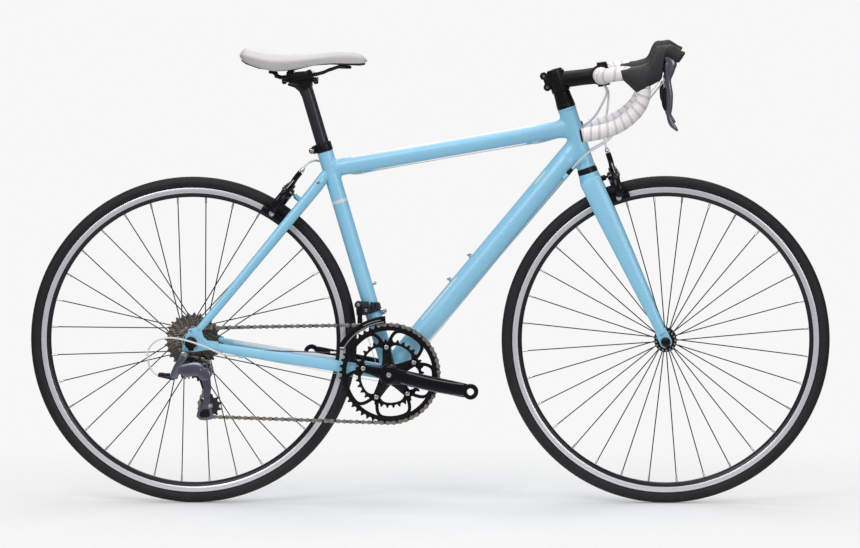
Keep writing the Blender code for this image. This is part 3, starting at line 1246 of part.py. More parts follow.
def make_brake_arm(name, caliper, side):
    """side is the side of its pad; both cable ends are on the drive side."""
    drive = side < 0
    gap = SEAM / 2 + 0.0001
    start = -gap - BRAKE_ARM_THICKNESS if drive else gap
    origin = caliper.centre + caliper.along * start
    pad_in = RIM_WIDTH / 2 + PAD_GAP
    pad_out = pad_in + PAD_THICKNESS
    hang = (caliper.pad - caliper.centre).dot(caliper.hang)
    foot = [(pad_out + 0.0050, hang + 0.0060), (pad_out - 0.0010, hang + 0.0060), (pad_out - 0.0010, hang - 0.0060)]
    if drive:
        outline = [(0.0085, -0.0060), (-0.0040, -0.0110), (-0.0150, -0.0190), (-0.0190, -0.0340), (-0.0290, -0.0340)]
        outline += [(-0.0340, 0.0100), (-0.0330, hang - 0.0120)] + [(-a, b) for a, b in foot]
        outline += [(-0.0240, hang - 0.0180), (-0.0245, 0.0140), (-0.0170, 0.0060), (0.0, 0.0085), (0.0080, 0.0050)]
    else:
        outline = [(-0.0080, 0.0075), (-0.0220, 0.0110), (-0.0290, 0.0080), (-0.0290, -0.0010), (-0.0200, -0.0040)]
        outline += [(-0.0080, -0.0085), (0.0060, -0.0110), (0.0210, -0.0060), (0.0320, 0.0080), (0.0335, hang - 0.0160)]
        outline += foot + [(0.0245, hang - 0.0180), (0.0235, 0.0160), (0.0120, 0.0075)]
    made = plate(name, outline, origin, SIDE, caliper.hang, caliper.along * BRAKE_ARM_THICKNESS, BLACK)
    pad_centre = caliper.pad + SIDE * (side * (pad_in + PAD_THICKNESS / 2))
    pad_size = (PAD_LENGTH, PAD_HEIGHT, PAD_THICKNESS)
    pad = block(name + "_pad", pad_centre, caliper.tangent, caliper.radial, pad_size, PLASTIC)
    middle = caliper.along * (start + BRAKE_ARM_THICKNESS / 2)
    link_from = caliper.centre + caliper.hang * hang + SIDE * (side * (pad_out + 0.0015)) + middle
    link_to = caliper.pad + SIDE * (side * (pad_out + 0.0015))
    reach = (link_to - link_from).normalized() * 0.006
    extras = [pad, rod(name + "_post", link_from - reach, link_to + reach, 0.0040, BLACK, 6)]
    if drive:
        arm_reach = ADJUSTER_AHEAD + 0.0045 - start
        bridge_at = caliper.centre + caliper.along * (start + 0.001 + arm_reach / 2) - caliper.hang * 0.0305 + SIDE * ADJUSTER_SIDE
        extras.append(block(name + "_bridge", bridge_at, caliper.along, caliper.hang, (arm_reach, 0.0055, 0.0090), BLACK))
        extras.append(rod(name + "_adjuster", cable_line(caliper, -ADJUSTER_FOOT), cable_line(caliper, -ADJUSTER_TOP), 0.0038, BLACK, 6))
    else:
        clamp = caliper.centre + caliper.along * (start + BRAKE_ARM_THICKNESS) + caliper.hang * CLAMP_BELOW + SIDE * ADJUSTER_SIDE
        extras.append(rod(name + "_clamp", clamp - caliper.along * 0.003, clamp + caliper.along * 0.0075, CLAMP_RADIUS, BLACK, 6))
    fuse(made, *extras)
    reach = caliper.along * 0.02
    tools = [rod(name + "_hole", caliper.centre - reach, caliper.centre + reach, BRAKE_BOLT_RADIUS + RUNNING, None, 10)]
    if drive:
        tools.append(rod(name + "_wire_bore", cable_line(caliper, -0.07), cable_line(caliper, -0.02), WIRE_BORE, None, 6))
    return cut(made, *tools)


front_arm_right = make_brake_arm("front_brake_arm_right", front_brake, -1)
front_arm_left = make_brake_arm("front_brake_arm_left", front_brake, 1)
rear_arm_right = make_brake_arm("rear_brake_arm_right", rear_brake, -1)
rear_arm_left = make_brake_arm("rear_brake_arm_left", rear_brake, 1)

# Seatpost, clamp, rails, shell and cushion
POST_HEAD = SEAT_TOP + SEAT_UP * SEATPOST_SHOWING
post_low = SEAT_TOP - SEAT_UP * SEATPOST_INSERTION
post_high = POST_HEAD - SEAT_UP * 0.006
seatpost = rod("seatpost", post_low, post_high, SEATPOST_RADIUS, BLACK, 14)
post_head = rod("post_head", POST_HEAD - SIDE * 0.016, POST_HEAD + SIDE * 0.016, 0.0120, BLACK, 12)
post_bore = rod("post_bore", post_low - SEAT_UP * 0.01, post_high - SEAT_UP * 0.018, SEATPOST_RADIUS - SEATPOST_WALL, None, 10)
fuse(seatpost, post_head)
cut(seatpost, post_bore)

RAIL_SLOPE = math.radians(5.0)
RAIL_ALONG = direction(RAIL_SLOPE)
RAIL_UP = Vector((-math.sin(RAIL_SLOPE), 0.0, math.cos(RAIL_SLOPE)))
CLAMP_CENTRE = POST_HEAD + Vector((-0.0090, 0.0, 0.0163))
clamp_size = (CLAMP_LENGTH, 0.0160, 2 * RAIL_SPREAD + 0.0150)
saddle_clamp = block("saddle_clamp", CLAMP_CENTRE, RAIL_ALONG, RAIL_UP, clamp_size, BLACK)
clamp_bolts = []
for index, (ahead, drop, lean) in enumerate(((-0.0154, 0.0180, -0.006), (0.0154, 0.0130, 0.0085))):
    top = CLAMP_CENTRE + RAIL_ALONG * ahead
    clamp_bolts.append(rod(f"clamp_bolt_{index}", top, top - UP * drop + AHEAD * lean, 0.0026, BLACK, 6))
fuse(saddle_clamp, *clamp_bolts)
clamp_tools = [rod("cradle", POST_HEAD - SIDE * 0.0168, POST_HEAD + SIDE * 0.0168, 0.0120 + SEAM + 0.0006, None, 12)]
for index, side in enumerate((-1, 1)):
    middle = CLAMP_CENTRE + SIDE * (side * RAIL_SPREAD)
    clamp_tools.append(rod(f"rail_bore_{index}", middle - RAIL_ALONG * 0.03, middle + RAIL_ALONG * 0.03, (RAIL_RADIUS + SEAM) / math.cos(math.pi / 8) + 0.0001, None, 8))
cut(saddle_clamp, *clamp_tools)

# Each line: distance behind the nose, half width, height of the top, height of the underside.
# Heights are from the middle of the clamp.
SADDLE_NOSE = CLAMP_CENTRE + Vector((0.1370, 0.0, 0.0))
saddle_lines = [
    (0.2580, 0.0450, 0.0480, 0.0395), (0.2545, 0.0500, 0.0520, 0.0358), (0.2460, 0.0620, 0.0562, 0.0300),
    (0.2190, 0.0700, 0.0530, 0.0207), (0.1800, 0.0690, 0.0470, 0.0150), (0.1440, 0.0550, 0.0450, 0.0172),
    (0.1090, 0.0380, 0.0455, 0.0258), (0.0740, 0.0262, 0.0480, 0.0278), (0.0390, 0.0205, 0.0490, 0.0260),
    (0.0140, 0.0182, 0.0450, 0.0250), (0.0045, 0.0142, 0.0380, 0.0262), (0.0003, 0.0080, 0.0330, 0.0285),
]
saddle_lines = [(behind * SADDLE_LENGTH / 0.258, wide * SADDLE_HALF_WIDTH / 0.070, top, low) for behind, wide, top, low in saddle_lines]
CHANNEL_DEPTH = 0.0022


def saddle_ring(behind, wide, top, low):
    tall = top - low
    dip = CHANNEL_DEPTH if 0.03 < behind < 0.24 else 0.0
    right = [(0.0, top - dip), (0.30, top - 0.02 * tall), (0.74, top - 0.15 * tall), (1.0, top - 0.45 * tall), (0.97, top - 0.80 * tall), (0.86, low)]
    points = [(share * wide, height) for share, height in right]
    points += [(0.0, low)]
    points += [(-share * wide, height) for share, height in reversed(right[1:])]
    return [SADDLE_NOSE + Vector((-behind, across, height)) for across, height in points]


saddle_cushion = loft("saddle_cushion", [saddle_ring(*line) for line in saddle_lines], COVER)
SHELL_THICKNESS = 0.0040
SHELL_SHARE = 0.84


def saddle_under(behind):
    for first, second in zip(saddle_lines, saddle_lines[1:]):
        if second[0] <= behind <= first[0]:
            share = (behind - second[0]) / (first[0] - second[0])
            return second[3] + (first[3] - second[3]) * share
    return saddle_lines[-1][3]


shell_rings = []
for behind, wide, top, low in saddle_lines[1:-1]:
    high = low - SEAM - 0.0003
    reach = wide * SHELL_SHARE
    outline = [(reach, high), (reach * 0.96, high - SHELL_THICKNESS), (0.0, high - SHELL_THICKNESS)]
    outline += [(-reach * 0.96, high - SHELL_THICKNESS), (-reach, high), (0.0, high)]
    shell_rings.append([SADDLE_NOSE + Vector((-behind, across, height)) for across, height in outline])
saddle_shell = loft("saddle_shell", shell_rings, PLASTIC)


def rail_point(behind, across, height=None):
    """With no height, the rail lies just under the shell."""
    if height is None:
        height = saddle_under(behind) - SHELL_THICKNESS - 2 * SEAM - 0.0007 - RAIL_RADIUS
    return SADDLE_NOSE + Vector((-behind, across, height))


def rail_line(ahead):
    """Behind the nose and above the clamp's middle, for a place on the straight part."""
    place = CLAMP_CENTRE + RAIL_ALONG * ahead - SADDLE_NOSE
    return -place.x, place.z


low_back = rail_line(-0.040)
low_front = rail_line(0.034)
rail_half = [
    rail_point(0.1970, 0.0380), rail_point(0.1930, 0.0290), rail_point(0.1870, 0.0235, 0.0040), rail_point(low_back[0], RAIL_SPREAD, low_back[1]),
    rail_point(low_front[0], RAIL_SPREAD, low_front[1]), rail_point(0.0800, 0.0205, 0.0110), rail_point(0.0580, 0.0160), rail_point(0.0420, 0.0105), rail_point(0.0350, 0.0),
]
rail_route = rail_half + [Vector((p.x, -p.y, p.z)) for p in reversed(rail_half[:-1])]
rail_path = smooth_path(rail_route, [1, 1, 2, 1, 2, 1, 1, 1, 1, 1, 1, 2, 1, 2, 1, 1])
saddle_rails = tube("saddle_rails", [(p, RAIL_RADIUS, RAIL_RADIUS) for p in rail_path], STEEL, 6, up=Vector((0.1, 0.05, 1.0)))


# Chain path, in the plane of the wheels: u counts links
def pitch_radius(teeth):
    return CHAIN_PITCH / (2 * math.sin(math.pi / teeth))


SPROCKET_SIDE = -(FIRST_SPROCKET_OFFSET - SPROCKET_PITCH * CHAIN_SPROCKET)
GUIDE_AT = REAR_AXLE + Vector((0.0175, 0.0, -0.0575))
CAGE_LENGTH = 0.0764


class Wheel:
    def __init__(self, centre, teeth, turn, side, margin, every):
        self.centre = centre
        self.teeth = teeth
        self.turn = turn
        self.side = side
        self.radius = pitch_radius(teeth)
        self.margin = margin
        self.every = every


def flat_place(centre, radius, angle):
    """Where a circle's point lies for a direction of travel; see travel below."""
    return centre + Vector((math.sin(angle), 0.0, -math.cos(angle))) * radius


def lay_chain(cage_angle):
    tension = GUIDE_AT + direction(cage_angle) * CAGE_LENGTH
    wheels = [
        Wheel(BOTTOM_BRACKET, LARGE_RING_TEETH, 1, -CHAIN_LINE, 2.35, 2),
        Wheel(REAR_AXLE, SPROCKET_TEETH[CHAIN_SPROCKET], 1, SPROCKET_SIDE, 1.0, 1),
        Wheel(GUIDE_AT, PULLEY_TEETH, -1, SPROCKET_SIDE, 0.85, 1),
        Wheel(tension, PULLEY_TEETH, 1, SPROCKET_SIDE, 0.85, 1),
    ]
    count = len(wheels)
    travel = []
    for index, first in enumerate(wheels):
        second = wheels[(index + 1) % count]
        gap = second.centre - first.centre
        alpha = math.atan2(gap.z, gap.x)
        lean = math.asin((second.turn * second.radius - first.turn * first.radius) / gap.length)
        travel.append(alpha - lean)
    u = 0.0
    spans = []
    for index, wheel in enumerate(wheels):
        arrive, leave = travel[index - 1], travel[index]
        sweep = ((leave - arrive) * wheel.turn) % (2 * math.pi)
        wheel.first_u = u
        wheel.arrive = arrive
        u += sweep * wheel.teeth / (2 * math.pi)
        wheel.last_u = u
        other = wheels[(index + 1) % count]
        start = flat_place(wheel.centre, wheel.turn * wheel.radius, leave)
        end = flat_place(other.centre, other.turn * other.radius, leave)
        length = (end - start).length / CHAIN_PITCH
        spans.append((u, u + length, start, end, leave, wheel.side, other.side))
        u += length
    return wheels, spans, u


CAGE_ANGLE_GUESS = math.radians(-77.0)
low_angle, high_angle = CAGE_ANGLE_GUESS - math.radians(14), CAGE_ANGLE_GUESS + math.radians(14)
guess_links = lay_chain(CAGE_ANGLE_GUESS)[2]
CHAIN_LINKS = 2 * round(guess_links / 2)
rising = lay_chain(high_angle)[2] > lay_chain(low_angle)[2]
for attempt in range(40):
    cage_angle = (low_angle + high_angle) / 2
    if (lay_chain(cage_angle)[2] > CHAIN_LINKS) == rising:
        high_angle = cage_angle
    else:
        low_angle = cage_angle
chain_wheels, chain_spans, chain_total = lay_chain(cage_angle)
ring_wheel, cog_wheel, guide_wheel, tension_wheel = chain_wheels
TENSION_AT = tension_wheel.centre


def chain_place(u):
    """(centre, direction of travel) of the chain at link u."""
    u %= chain_total
    for wheel in chain_wheels:
        if wheel.first_u <= u < wheel.last_u:
            travel = wheel.arrive + wheel.turn * (u - wheel.first_u) * 2 * math.pi / wheel.teeth
            return flat_place(wheel.centre, wheel.turn * wheel.radius, travel) + SIDE * wheel.side, travel
    for first, last, start, end, travel, side, next_side in chain_spans:
        if first <= u < last:
            share = (u - first) / (last - first)
            return between(start, end, share) + SIDE * (side + (next_side - side) * share), travel
    return chain_place(u - 1e-9)


def pin_angle(wheel):
    """The angle, about the wheel's centre, of one chain pin on it."""
    pin = math.ceil(wheel.first_u + 0.01)
    place = chain_place(pin)[0] - wheel.centre
    return math.atan2(place.z, place.x)


BAR_EVERY = 3  # pins between the bars across the chain where it lies on teeth


def chain_stations():
    """(u, True where material crosses from here on). A straight run is one long bar."""
    half = CHAIN_ROLLER_HALF / CHAIN_PITCH
    zones = []
    for wheel in chain_wheels:
        first = math.floor(wheel.first_u - wheel.margin)
        last = math.ceil(wheel.last_u + wheel.margin)
        if zones and first - zones[-1][1] < 3:
            zones[-1][1] = last
        else:
            zones.append([first, last, wheel.every])
    stations = []
    bars = set()
    for first, last, every in zones:
        stations.append((first + half, False))
        for pin in range(first + 1, last):
            if (pin - first) % every:
                continue
            if (pin - first) % (every * BAR_EVERY) == 0 and last - pin > 1:
                stations += [(pin - half, True), (pin + half, False)]
                bars.add(pin)
            else:
                stations.append((pin, False))
        stations.append((last - half, True))
        bars.update((first, last))
    return stations, bars


CHAIN_STATIONS, CHAIN_BARS = chain_stations()


def build_chain():
    shape = bmesh.new()
    keys = (("a", -CHAIN_HALF_WIDTH), ("b", -CHAIN_SLOT_HALF_WIDTH), ("c", CHAIN_SLOT_HALF_WIDTH), ("d", CHAIN_HALF_WIDTH))
    rings = []
    for u, solid in CHAIN_STATIONS:
        centre, travel = chain_place(u)
        normal = flat_place(Vector((0.0, 0.0, 0.0)), 1.0, travel)
        ring = {}
        for key, across in keys:
            ring[key + "0"] = shape.verts.new(centre + SIDE * across - normal * CHAIN_HALF_HEIGHT)
            ring[key + "1"] = shape.verts.new(centre + SIDE * across + normal * CHAIN_HALF_HEIGHT)
        rings.append(ring)
    for index, (u, solid) in enumerate(CHAIN_STATIONS):
        here, after = rings[index], rings[(index + 1) % len(rings)]
        strips = [("a0", "a1"), ("d1", "d0"), ("a1", "b1"), ("c1", "d1"), ("b0", "a0"), ("d0", "c0")]
        strips += [("b1", "c1"), ("c0", "b0")] if solid else [("b1", "b0"), ("c0", "c1")]
        for p, q in strips:
            shape.faces.new((here[p], here[q], after[q], after[p]))
        was_solid = CHAIN_STATIONS[index - 1][1]
        if solid != was_solid:
            shape.faces.new((here["b0"], here["b1"], here["c1"], here["c0"]))
    return finish("chain", shape, STEEL)


chain = build_chain()

TIP = 0.0022
ROOT = 0.0047
VALLEY_HALF = 0.0026


def toothed(teeth, first_pin=0.0, kind="plain", barred=()):
    """Points round a sprocket. The chain lies on a deep one, whose valleys are wide at the barred teeth."""
    radius = pitch_radius(teeth)
    step = 2 * math.pi / teeth
    valley = radius - (ROOT if kind == "deep" else 0.0040)
    points = []
    for tooth in range(teeth):
        angle = first_pin + tooth * step
        if tooth in barred:
            lean = VALLEY_HALF / valley
            points += [(valley, angle - lean), (valley, angle + lean)]
        elif kind != "worn":
            points.append((valley, angle))
        points.append((radius + TIP, angle + step / 2))
    return [(r * math.cos(a), r * math.sin(a)) for r, a in points]


def barred_teeth(wheel):
    """The valleys, counted from the first pin, that hold a bar of the chain."""
    first = math.ceil(wheel.first_u + 0.01)
    found = set()
    for pin in CHAIN_BARS:
        for lap in (-CHAIN_LINKS, 0, CHAIN_LINKS):
            away = pin + lap - first
            if -4 <= away <= wheel.last_u - first + 4:
                found.add(int(wheel.turn * away) % wheel.teeth)
    return found


def disc(name, centre, outline, thickness, look):
    return plate(name, outline, centre - SIDE * thickness / 2, AHEAD, UP, SIDE * thickness, look)


BOLT_ANGLES = [CRANK_ANGLE + math.radians(36 + 72 * index) for index in range(RING_BOLTS)]


def scalloped(base, deep, spread, count=30):
    """An inner edge with a tab at each ring bolt."""
    points = []
    for step in range(count):
        angle = BOLT_ANGLES[0] + 2 * math.pi * (step + 0.5) / count
        nearest = min(abs((angle - bolt + math.pi) % (2 * math.pi) - math.pi) for bolt in BOLT_ANGLES)
        radius = base - deep * math.exp(-((math.degrees(nearest) / spread) ** 2))
        points.append((radius * math.cos(angle), radius * math.sin(angle)))
    return points


RING_AT = BOTTOM_BRACKET - SIDE * CHAIN_LINE
SMALL_RING_AT = RING_AT + SIDE * RING_SPACING
ring_outline = toothed(LARGE_RING_TEETH, pin_angle(ring_wheel), "deep", barred_teeth(ring_wheel))
chainring_large = disc("chainring_large", RING_AT, ring_outline, RING_THICKNESS, GLOSS_BLACK)
ring_tools = [disc("large_ring_window", RING_AT, scalloped(0.0880, 0.0425, 14.0, 25), RING_THICKNESS * 3, None)]
for index, angle in enumerate(BOLT_ANGLES):
    centre = RING_AT + direction(angle) * BOLT_CIRCLE_RADIUS
    ring_tools.append(rod(f"large_ring_hole_{index}", centre - SIDE * 0.01, centre + SIDE * 0.01, (RING_BOLT_RADIUS + RUNNING) / math.cos(math.pi / 6), None, 6))
cut(chainring_large, *ring_tools)

# Drive-side crank with its spider, small ring, ring bolts and spindle
SPIDER_IN = 0.0430
SPIDER_OUT = 0.0456
PEDAL_AT = direction(CRANK_ANGLE) * CRANK_LENGTH
SPINDLE_END = CRANK_OFFSET + 0.004
hub_profile = [(-SPINDLE_END, 0.0), (-SPINDLE_END, SPINDLE_RADIUS), (SPIDER_IN, SPINDLE_RADIUS), (SPIDER_IN, 0.0215), (SPIDER_OUT + 0.004, 0.0210)]
hub_profile += [(CRANK_OFFSET + CRANK_THICKNESS - 0.002, 0.0155), (CRANK_OFFSET + CRANK_THICKNESS - 0.002, 0.0)]
crank_right = turned("crank_right", BOTTOM_BRACKET, -SIDE, hub_profile, GLOSS_BLACK, 12, closed=False)


def star(inner, outer, half_angle):
    points = []
    for angle in BOLT_ANGLES:
        for radius, lean in ((inner, -half_angle * 2.1), (outer - 0.004, -half_angle), (outer, 0.0), (outer - 0.004, half_angle), (inner, half_angle * 2.1)):
            points.append((radius * math.cos(angle + lean), radius * math.sin(angle + lean)))
    return points


def crank_arm(name, side):
    """side is -1 for the drive side; the arms point opposite ways."""
    reach = PEDAL_AT if side < 0 else -PEDAL_AT
    along = reach.normalized()
    rise = SIDE.cross(along)
    stations = []
    for share, out, half, tall in (
        (0.03, CRANK_OFFSET + 0.0025, 0.0068, 1.0), (0.22, CRANK_OFFSET + 0.0035, 0.0062, 0.92), (0.60, CRANK_OFFSET + 0.0055, 0.0060, 0.86),
        (0.97, CRANK_OFFSET + 0.00625, CRANK_THICKNESS / 2 - 0.0002, 0.92),
    ):
        centre = BOTTOM_BRACKET + reach * share + SIDE * (side * out)
        stations.append((centre, half, CRANK_ROOT_HALF_HEIGHT * tall))
    arm = tube(name + "_arm", stations, GLOSS_BLACK, 8, up=rise, square=0.75)
    eye = BOTTOM_BRACKET + reach
    inner, outer = SIDE * (side * CRANK_OFFSET), SIDE * (side * (CRANK_OFFSET + CRANK_THICKNESS))
    end = rod(name + "_eye", eye + inner, eye + outer, CRANK_END_RADIUS, GLOSS_BLACK, 10)
    hole = rod(name + "_pedal_hole", eye + inner * 0.8, eye + outer * 1.2, PEDAL_HOLE_RADIUS, None, 8)
    return arm, end, hole


spider = plate("spider", star(0.024, BOLT_CIRCLE_RADIUS + 0.0085, math.radians(8.5)), BOTTOM_BRACKET - SIDE * SPIDER_OUT, AHEAD, UP, SIDE * (SPIDER_OUT - SPIDER_IN - 0.0001), GLOSS_BLACK)
small_outline = toothed(SMALL_RING_TEETH, 0.0, "worn")
small_ring = disc("small_ring", SMALL_RING_AT, small_outline, RING_THICKNESS, GREY_METAL)
small_window = disc("small_ring_window", SMALL_RING_AT, scalloped(0.0600, 0.0120, 12.0, 15), RING_THICKNESS * 3, None)
cut(small_ring, small_window)
settle(small_ring)
ring_bolts = []
for index, angle in enumerate(BOLT_ANGLES):
    centre = BOTTOM_BRACKET + direction(angle) * BOLT_CIRCLE_RADIUS
    ring_bolts.append(rod(f"ring_bolt_{index}", centre - SIDE * (CHAIN_LINE - RING_SPACING - 0.0020), centre - SIDE * (CHAIN_LINE + 0.0020), RING_BOLT_RADIUS, BLACK, 6))
right_arm, right_eye, right_hole = crank_arm("crank_right", -1)
fuse(crank_right, spider, right_arm, right_eye, *ring_bolts, small_ring)
cut(crank_right, right_hole)

LEFT_BORE = SPINDLE_RADIUS + SEAM + 0.0003
left_profile = [(SPINDLE_END + SEAM, 0.0), (SPINDLE_END + SEAM, LEFT_BORE), (SPIDER_IN, LEFT_BORE), (SPIDER_IN, 0.0185)]
left_profile += [(CRANK_OFFSET + CRANK_THICKNESS - 0.002, 0.0155), (CRANK_OFFSET + CRANK_THICKNESS - 0.002, 0.0)]
crank_left = turned("crank_left", BOTTOM_BRACKET, SIDE, left_profile, GLOSS_BLACK, 12, closed=False)
left_arm, left_eye, left_hole = crank_arm("crank_left", 1)
fuse(crank_left, left_arm, left_eye)
cut(crank_left, left_hole, rod("spindle_space", BOTTOM_BRACKET + SIDE * 0.03, BOTTOM_BRACKET + SIDE * (SPINDLE_END + SEAM), LEFT_BORE, None, 12, phase=0.0))

# Cassette; most sprockets off the chain are cut to their tips only
CASSETTE_BORE = FREEHUB_RADIUS + RUNNING
core_in = FIRST_SPROCKET_OFFSET - SPROCKET_PITCH * (len(SPROCKET_TEETH) - 1) - SPROCKET_THICKNESS
core_out = FIRST_SPROCKET_OFFSET + SPROCKET_THICKNESS / 2 + 0.0003
core_profile = [(core_in, 0.0), (core_in, CASSETTE_BORE + 0.0038), (core_out, CASSETTE_BORE + 0.0032), (core_out, 0.0)]
cassette = turned("cassette", REAR_AXLE, -SIDE, core_profile, STEEL, 8, closed=False)
sprockets = []
for index, teeth in enumerate(SPROCKET_TEETH):
    centre = REAR_AXLE - SIDE * (FIRST_SPROCKET_OFFSET - SPROCKET_PITCH * index)
    if index == CHAIN_SPROCKET:
        outline = toothed(teeth, pin_angle(cog_wheel), "deep", barred_teeth(cog_wheel))
    else:
        outline = toothed(teeth, 0.13 * index, "worn")
    sprockets.append(disc(f"sprocket_{teeth}", centre, outline, SPROCKET_THICKNESS, STEEL))
fuse(cassette, *sprockets)
cassette_bore = rod("cassette_bore", REAR_AXLE, REAR_AXLE - SIDE * 0.09, CASSETTE_BORE / math.cos(math.pi / 12), None, 12)
cut(cassette, cassette_bore)

# Front derailleur: a band round the seat tube, a body, and a cage that slides sideways
BAND_AT = BOTTOM_BRACKET + SEAT_UP * 0.1350
BAND_HEIGHT = 0.0140
band_in = SEAT_TUBE_RADIUS + SEAM + 0.0002
front_derailleur = rod("front_derailleur", BAND_AT - SEAT_UP * BAND_HEIGHT / 2, BAND_AT + SEAT_UP * BAND_HEIGHT / 2, band_in + 0.0030, BLACK, 16, band_in)
MECH_BODY = BAND_AT + Vector((-0.0185, -0.0245, -0.0030))
MECH_BLOCK_OUTER = 0.0332  # short of the cage's neck at the end of its slide
MECH_BLOCK_INNER = 0.0100
block_wide = MECH_BLOCK_OUTER - MECH_BLOCK_INNER
block_at = Vector((MECH_BODY.x, -(MECH_BLOCK_OUTER + MECH_BLOCK_INNER) / 2, MECH_BODY.z))
mech_block = block("front_derailleur_block", block_at, AHEAD, UP, (0.0230, 0.0150, block_wide), BLACK)
mech_space = rod("front_derailleur_space", BAND_AT - SEAT_UP * 0.03, BAND_AT + SEAT_UP * 0.03, band_in, None, 16)
fuse(front_derailleur, mech_block)
cut(front_derailleur, mech_space)

CAGE_IN = pitch_radius(LARGE_RING_TEETH) + TIP + 0.0014
CAGE_OUT = CAGE_IN + 0.0140
CAGE_PLATE = 0.0012
CAGE_FIRST = 94
CAGE_LAST = 153
cage_outline = arc((0.0, 0.0), CAGE_OUT, CAGE_FIRST, CAGE_LAST, 7) + arc((0.0, 0.0), CAGE_IN, CAGE_LAST, CAGE_FIRST, 6)
FRONT_CAGE_OUTER = CHAIN_LINE + 0.0048
FRONT_CAGE_INNER = CHAIN_LINE - 0.0048
front_cage = plate("front_derailleur_cage", cage_outline, BOTTOM_BRACKET - SIDE * (FRONT_CAGE_OUTER + CAGE_PLATE), AHEAD, UP, SIDE * CAGE_PLATE, GREY_METAL)
inner_plate = plate("front_cage_inner", cage_outline, BOTTOM_BRACKET - SIDE * FRONT_CAGE_INNER, AHEAD, UP, SIDE * CAGE_PLATE, GREY_METAL)
bridge_side = -(FRONT_CAGE_OUTER + FRONT_CAGE_INNER) / 2
bridge_width = FRONT_CAGE_OUTER - FRONT_CAGE_INNER + CAGE_PLATE
rear_turn, top_turn = math.radians(CAGE_LAST - 2.2), math.radians(103)
rear_bridge = block("front_cage_rear_bridge", BOTTOM_BRACKET + direction(rear_turn) * (CAGE_IN + 0.008) + SIDE * bridge_side, direction(rear_turn), SIDE.cross(direction(rear_turn)), (0.0090, 0.0030, bridge_width), GREY_METAL)
top_bridge = block("front_cage_top_bridge", BOTTOM_BRACKET + direction(top_turn) * (CAGE_OUT - 0.0016) + SIDE * bridge_side, direction(top_turn), SIDE.cross(direction(top_turn)), (0.0020, 0.0160, bridge_width), GREY_METAL)
tongue_top = MECH_BODY.z + 0.0075 + SEAM
tongue = block("front_cage_tongue", Vector((MECH_BODY.x - 0.0040, -0.0320, tongue_top + 0.0020)), AHEAD, UP, (0.0100, 0.0040, 0.0200), GREY_METAL)
neck_low = BOTTOM_BRACKET + direction(math.radians(118)) * (CAGE_OUT - 0.004)
neck_place = Vector((MECH_BODY.x - 0.0040, -(FRONT_CAGE_INNER - 0.0006), (tongue_top + neck_low.z) / 2))
neck = block("front_cage_neck", neck_place, AHEAD, UP, (0.0100, tongue_top + 0.0038 - neck_low.z, 0.0022), GREY_METAL)
fuse(front_cage, rear_bridge, top_bridge, inner_plate, neck, tongue)

# Rear derailleur: body, link, knuckle and cage
LINK_AXIS = Vector((0.0, math.sqrt(0.5), math.sqrt(0.5)))
LINK_ACROSS = Vector((0.0, -math.sqrt(0.5), math.sqrt(0.5)))
LINK_LENGTH = 0.045
LINK_ALONG = (AHEAD * 0.951 + LINK_ACROSS * 0.3092).normalized()
LINK_PIN_RADIUS = 0.0024
LINK_HALF_WIDTH = 0.0070
EAR_THICKNESS = 0.0048
EAR_RADIUS = 0.0078
BODY_PIVOT = HANGER_BOLT + Vector((0.0, -(DROPOUT_OUTER + SEAM), 0.0))
LINK_ROOT = REAR_AXLE + Vector((-0.0155, -0.0740, -0.0640))
LINK_TIP = LINK_ROOT + LINK_ALONG * LINK_LENGTH
EAR_AT = LINK_HALF_WIDTH + SEAM + EAR_THICKNESS / 2
ear_half = LINK_AXIS * (EAR_THICKNESS / 2)
root_ear = LINK_ROOT + LINK_AXIS * EAR_AT
tip_ear = LINK_TIP + LINK_AXIS * EAR_AT
pin_reach = LINK_AXIS * (EAR_AT + LINK_HALF_WIDTH + 0.0010)
body_out = BODY_PIVOT - SIDE * 0.0115
mech_body = rod("rear_derailleur_body", BODY_PIVOT, body_out, 0.0088, GREY_METAL, 12)
arm_top = BODY_PIVOT - SIDE * 0.0062
arm_mid = root_ear + Vector((-0.0150, -0.0055, 0.0060))
arm_low = LINK_ROOT + Vector((-0.0190, 0.0020, -0.0100))
arm = tube("rear_derailleur_arm", [(arm_top, 0.0050, 0.0070), (arm_mid, 0.0050, 0.0065), (arm_low, 0.0045, 0.0055)], GREY_METAL, 8, up=AHEAD)
ear = rod("rear_derailleur_ear", root_ear - ear_half, root_ear + ear_half, EAR_RADIUS, GREY_METAL, 10)
strut_end = root_ear - AHEAD * 0.0150 + LINK_ACROSS * 0.0040
strut = tube("rear_derailleur_strut", [(root_ear, 0.0065, EAR_THICKNESS / 2 - 0.0001), (strut_end, 0.0060, EAR_THICKNESS / 2 - 0.0001)], GREY_METAL, 8, up=LINK_AXIS, square=0.7)
pin_out = rod("rear_derailleur_pin", root_ear, root_ear - pin_reach, LINK_PIN_RADIUS, STEEL, 8)
ADJUSTER_MOUTH = LINK_ROOT + Vector((-0.0520, 0.0020, -0.0020))
barrel = rod("rear_derailleur_barrel", arm_low + AHEAD * 0.001, ADJUSTER_MOUTH, 0.0040, BLACK, 8)
fuse(mech_body, arm, ear, strut, pin_out, barrel)

link_up = LINK_AXIS.cross(LINK_ALONG)
link_outline = arc((0.0, 0.0), 0.0052, 110, 250, 3) + arc((LINK_LENGTH, 0.0), 0.0052, -70, 70, 3)
mech_link = plate("rear_derailleur_link", link_outline, LINK_ROOT - LINK_AXIS * LINK_HALF_WIDTH, LINK_ALONG, link_up, LINK_AXIS * (2 * LINK_HALF_WIDTH), GREY_METAL)
link_tools = []
for word, place in (("root", LINK_ROOT), ("tip", LINK_TIP)):
    reach = LINK_AXIS * (LINK_HALF_WIDTH * 1.5)
    link_tools.append(rod(f"link_{word}_hole", place - reach, place + reach, LINK_PIN_RADIUS + RUNNING, None, 8))
cut(mech_link, *link_tools)

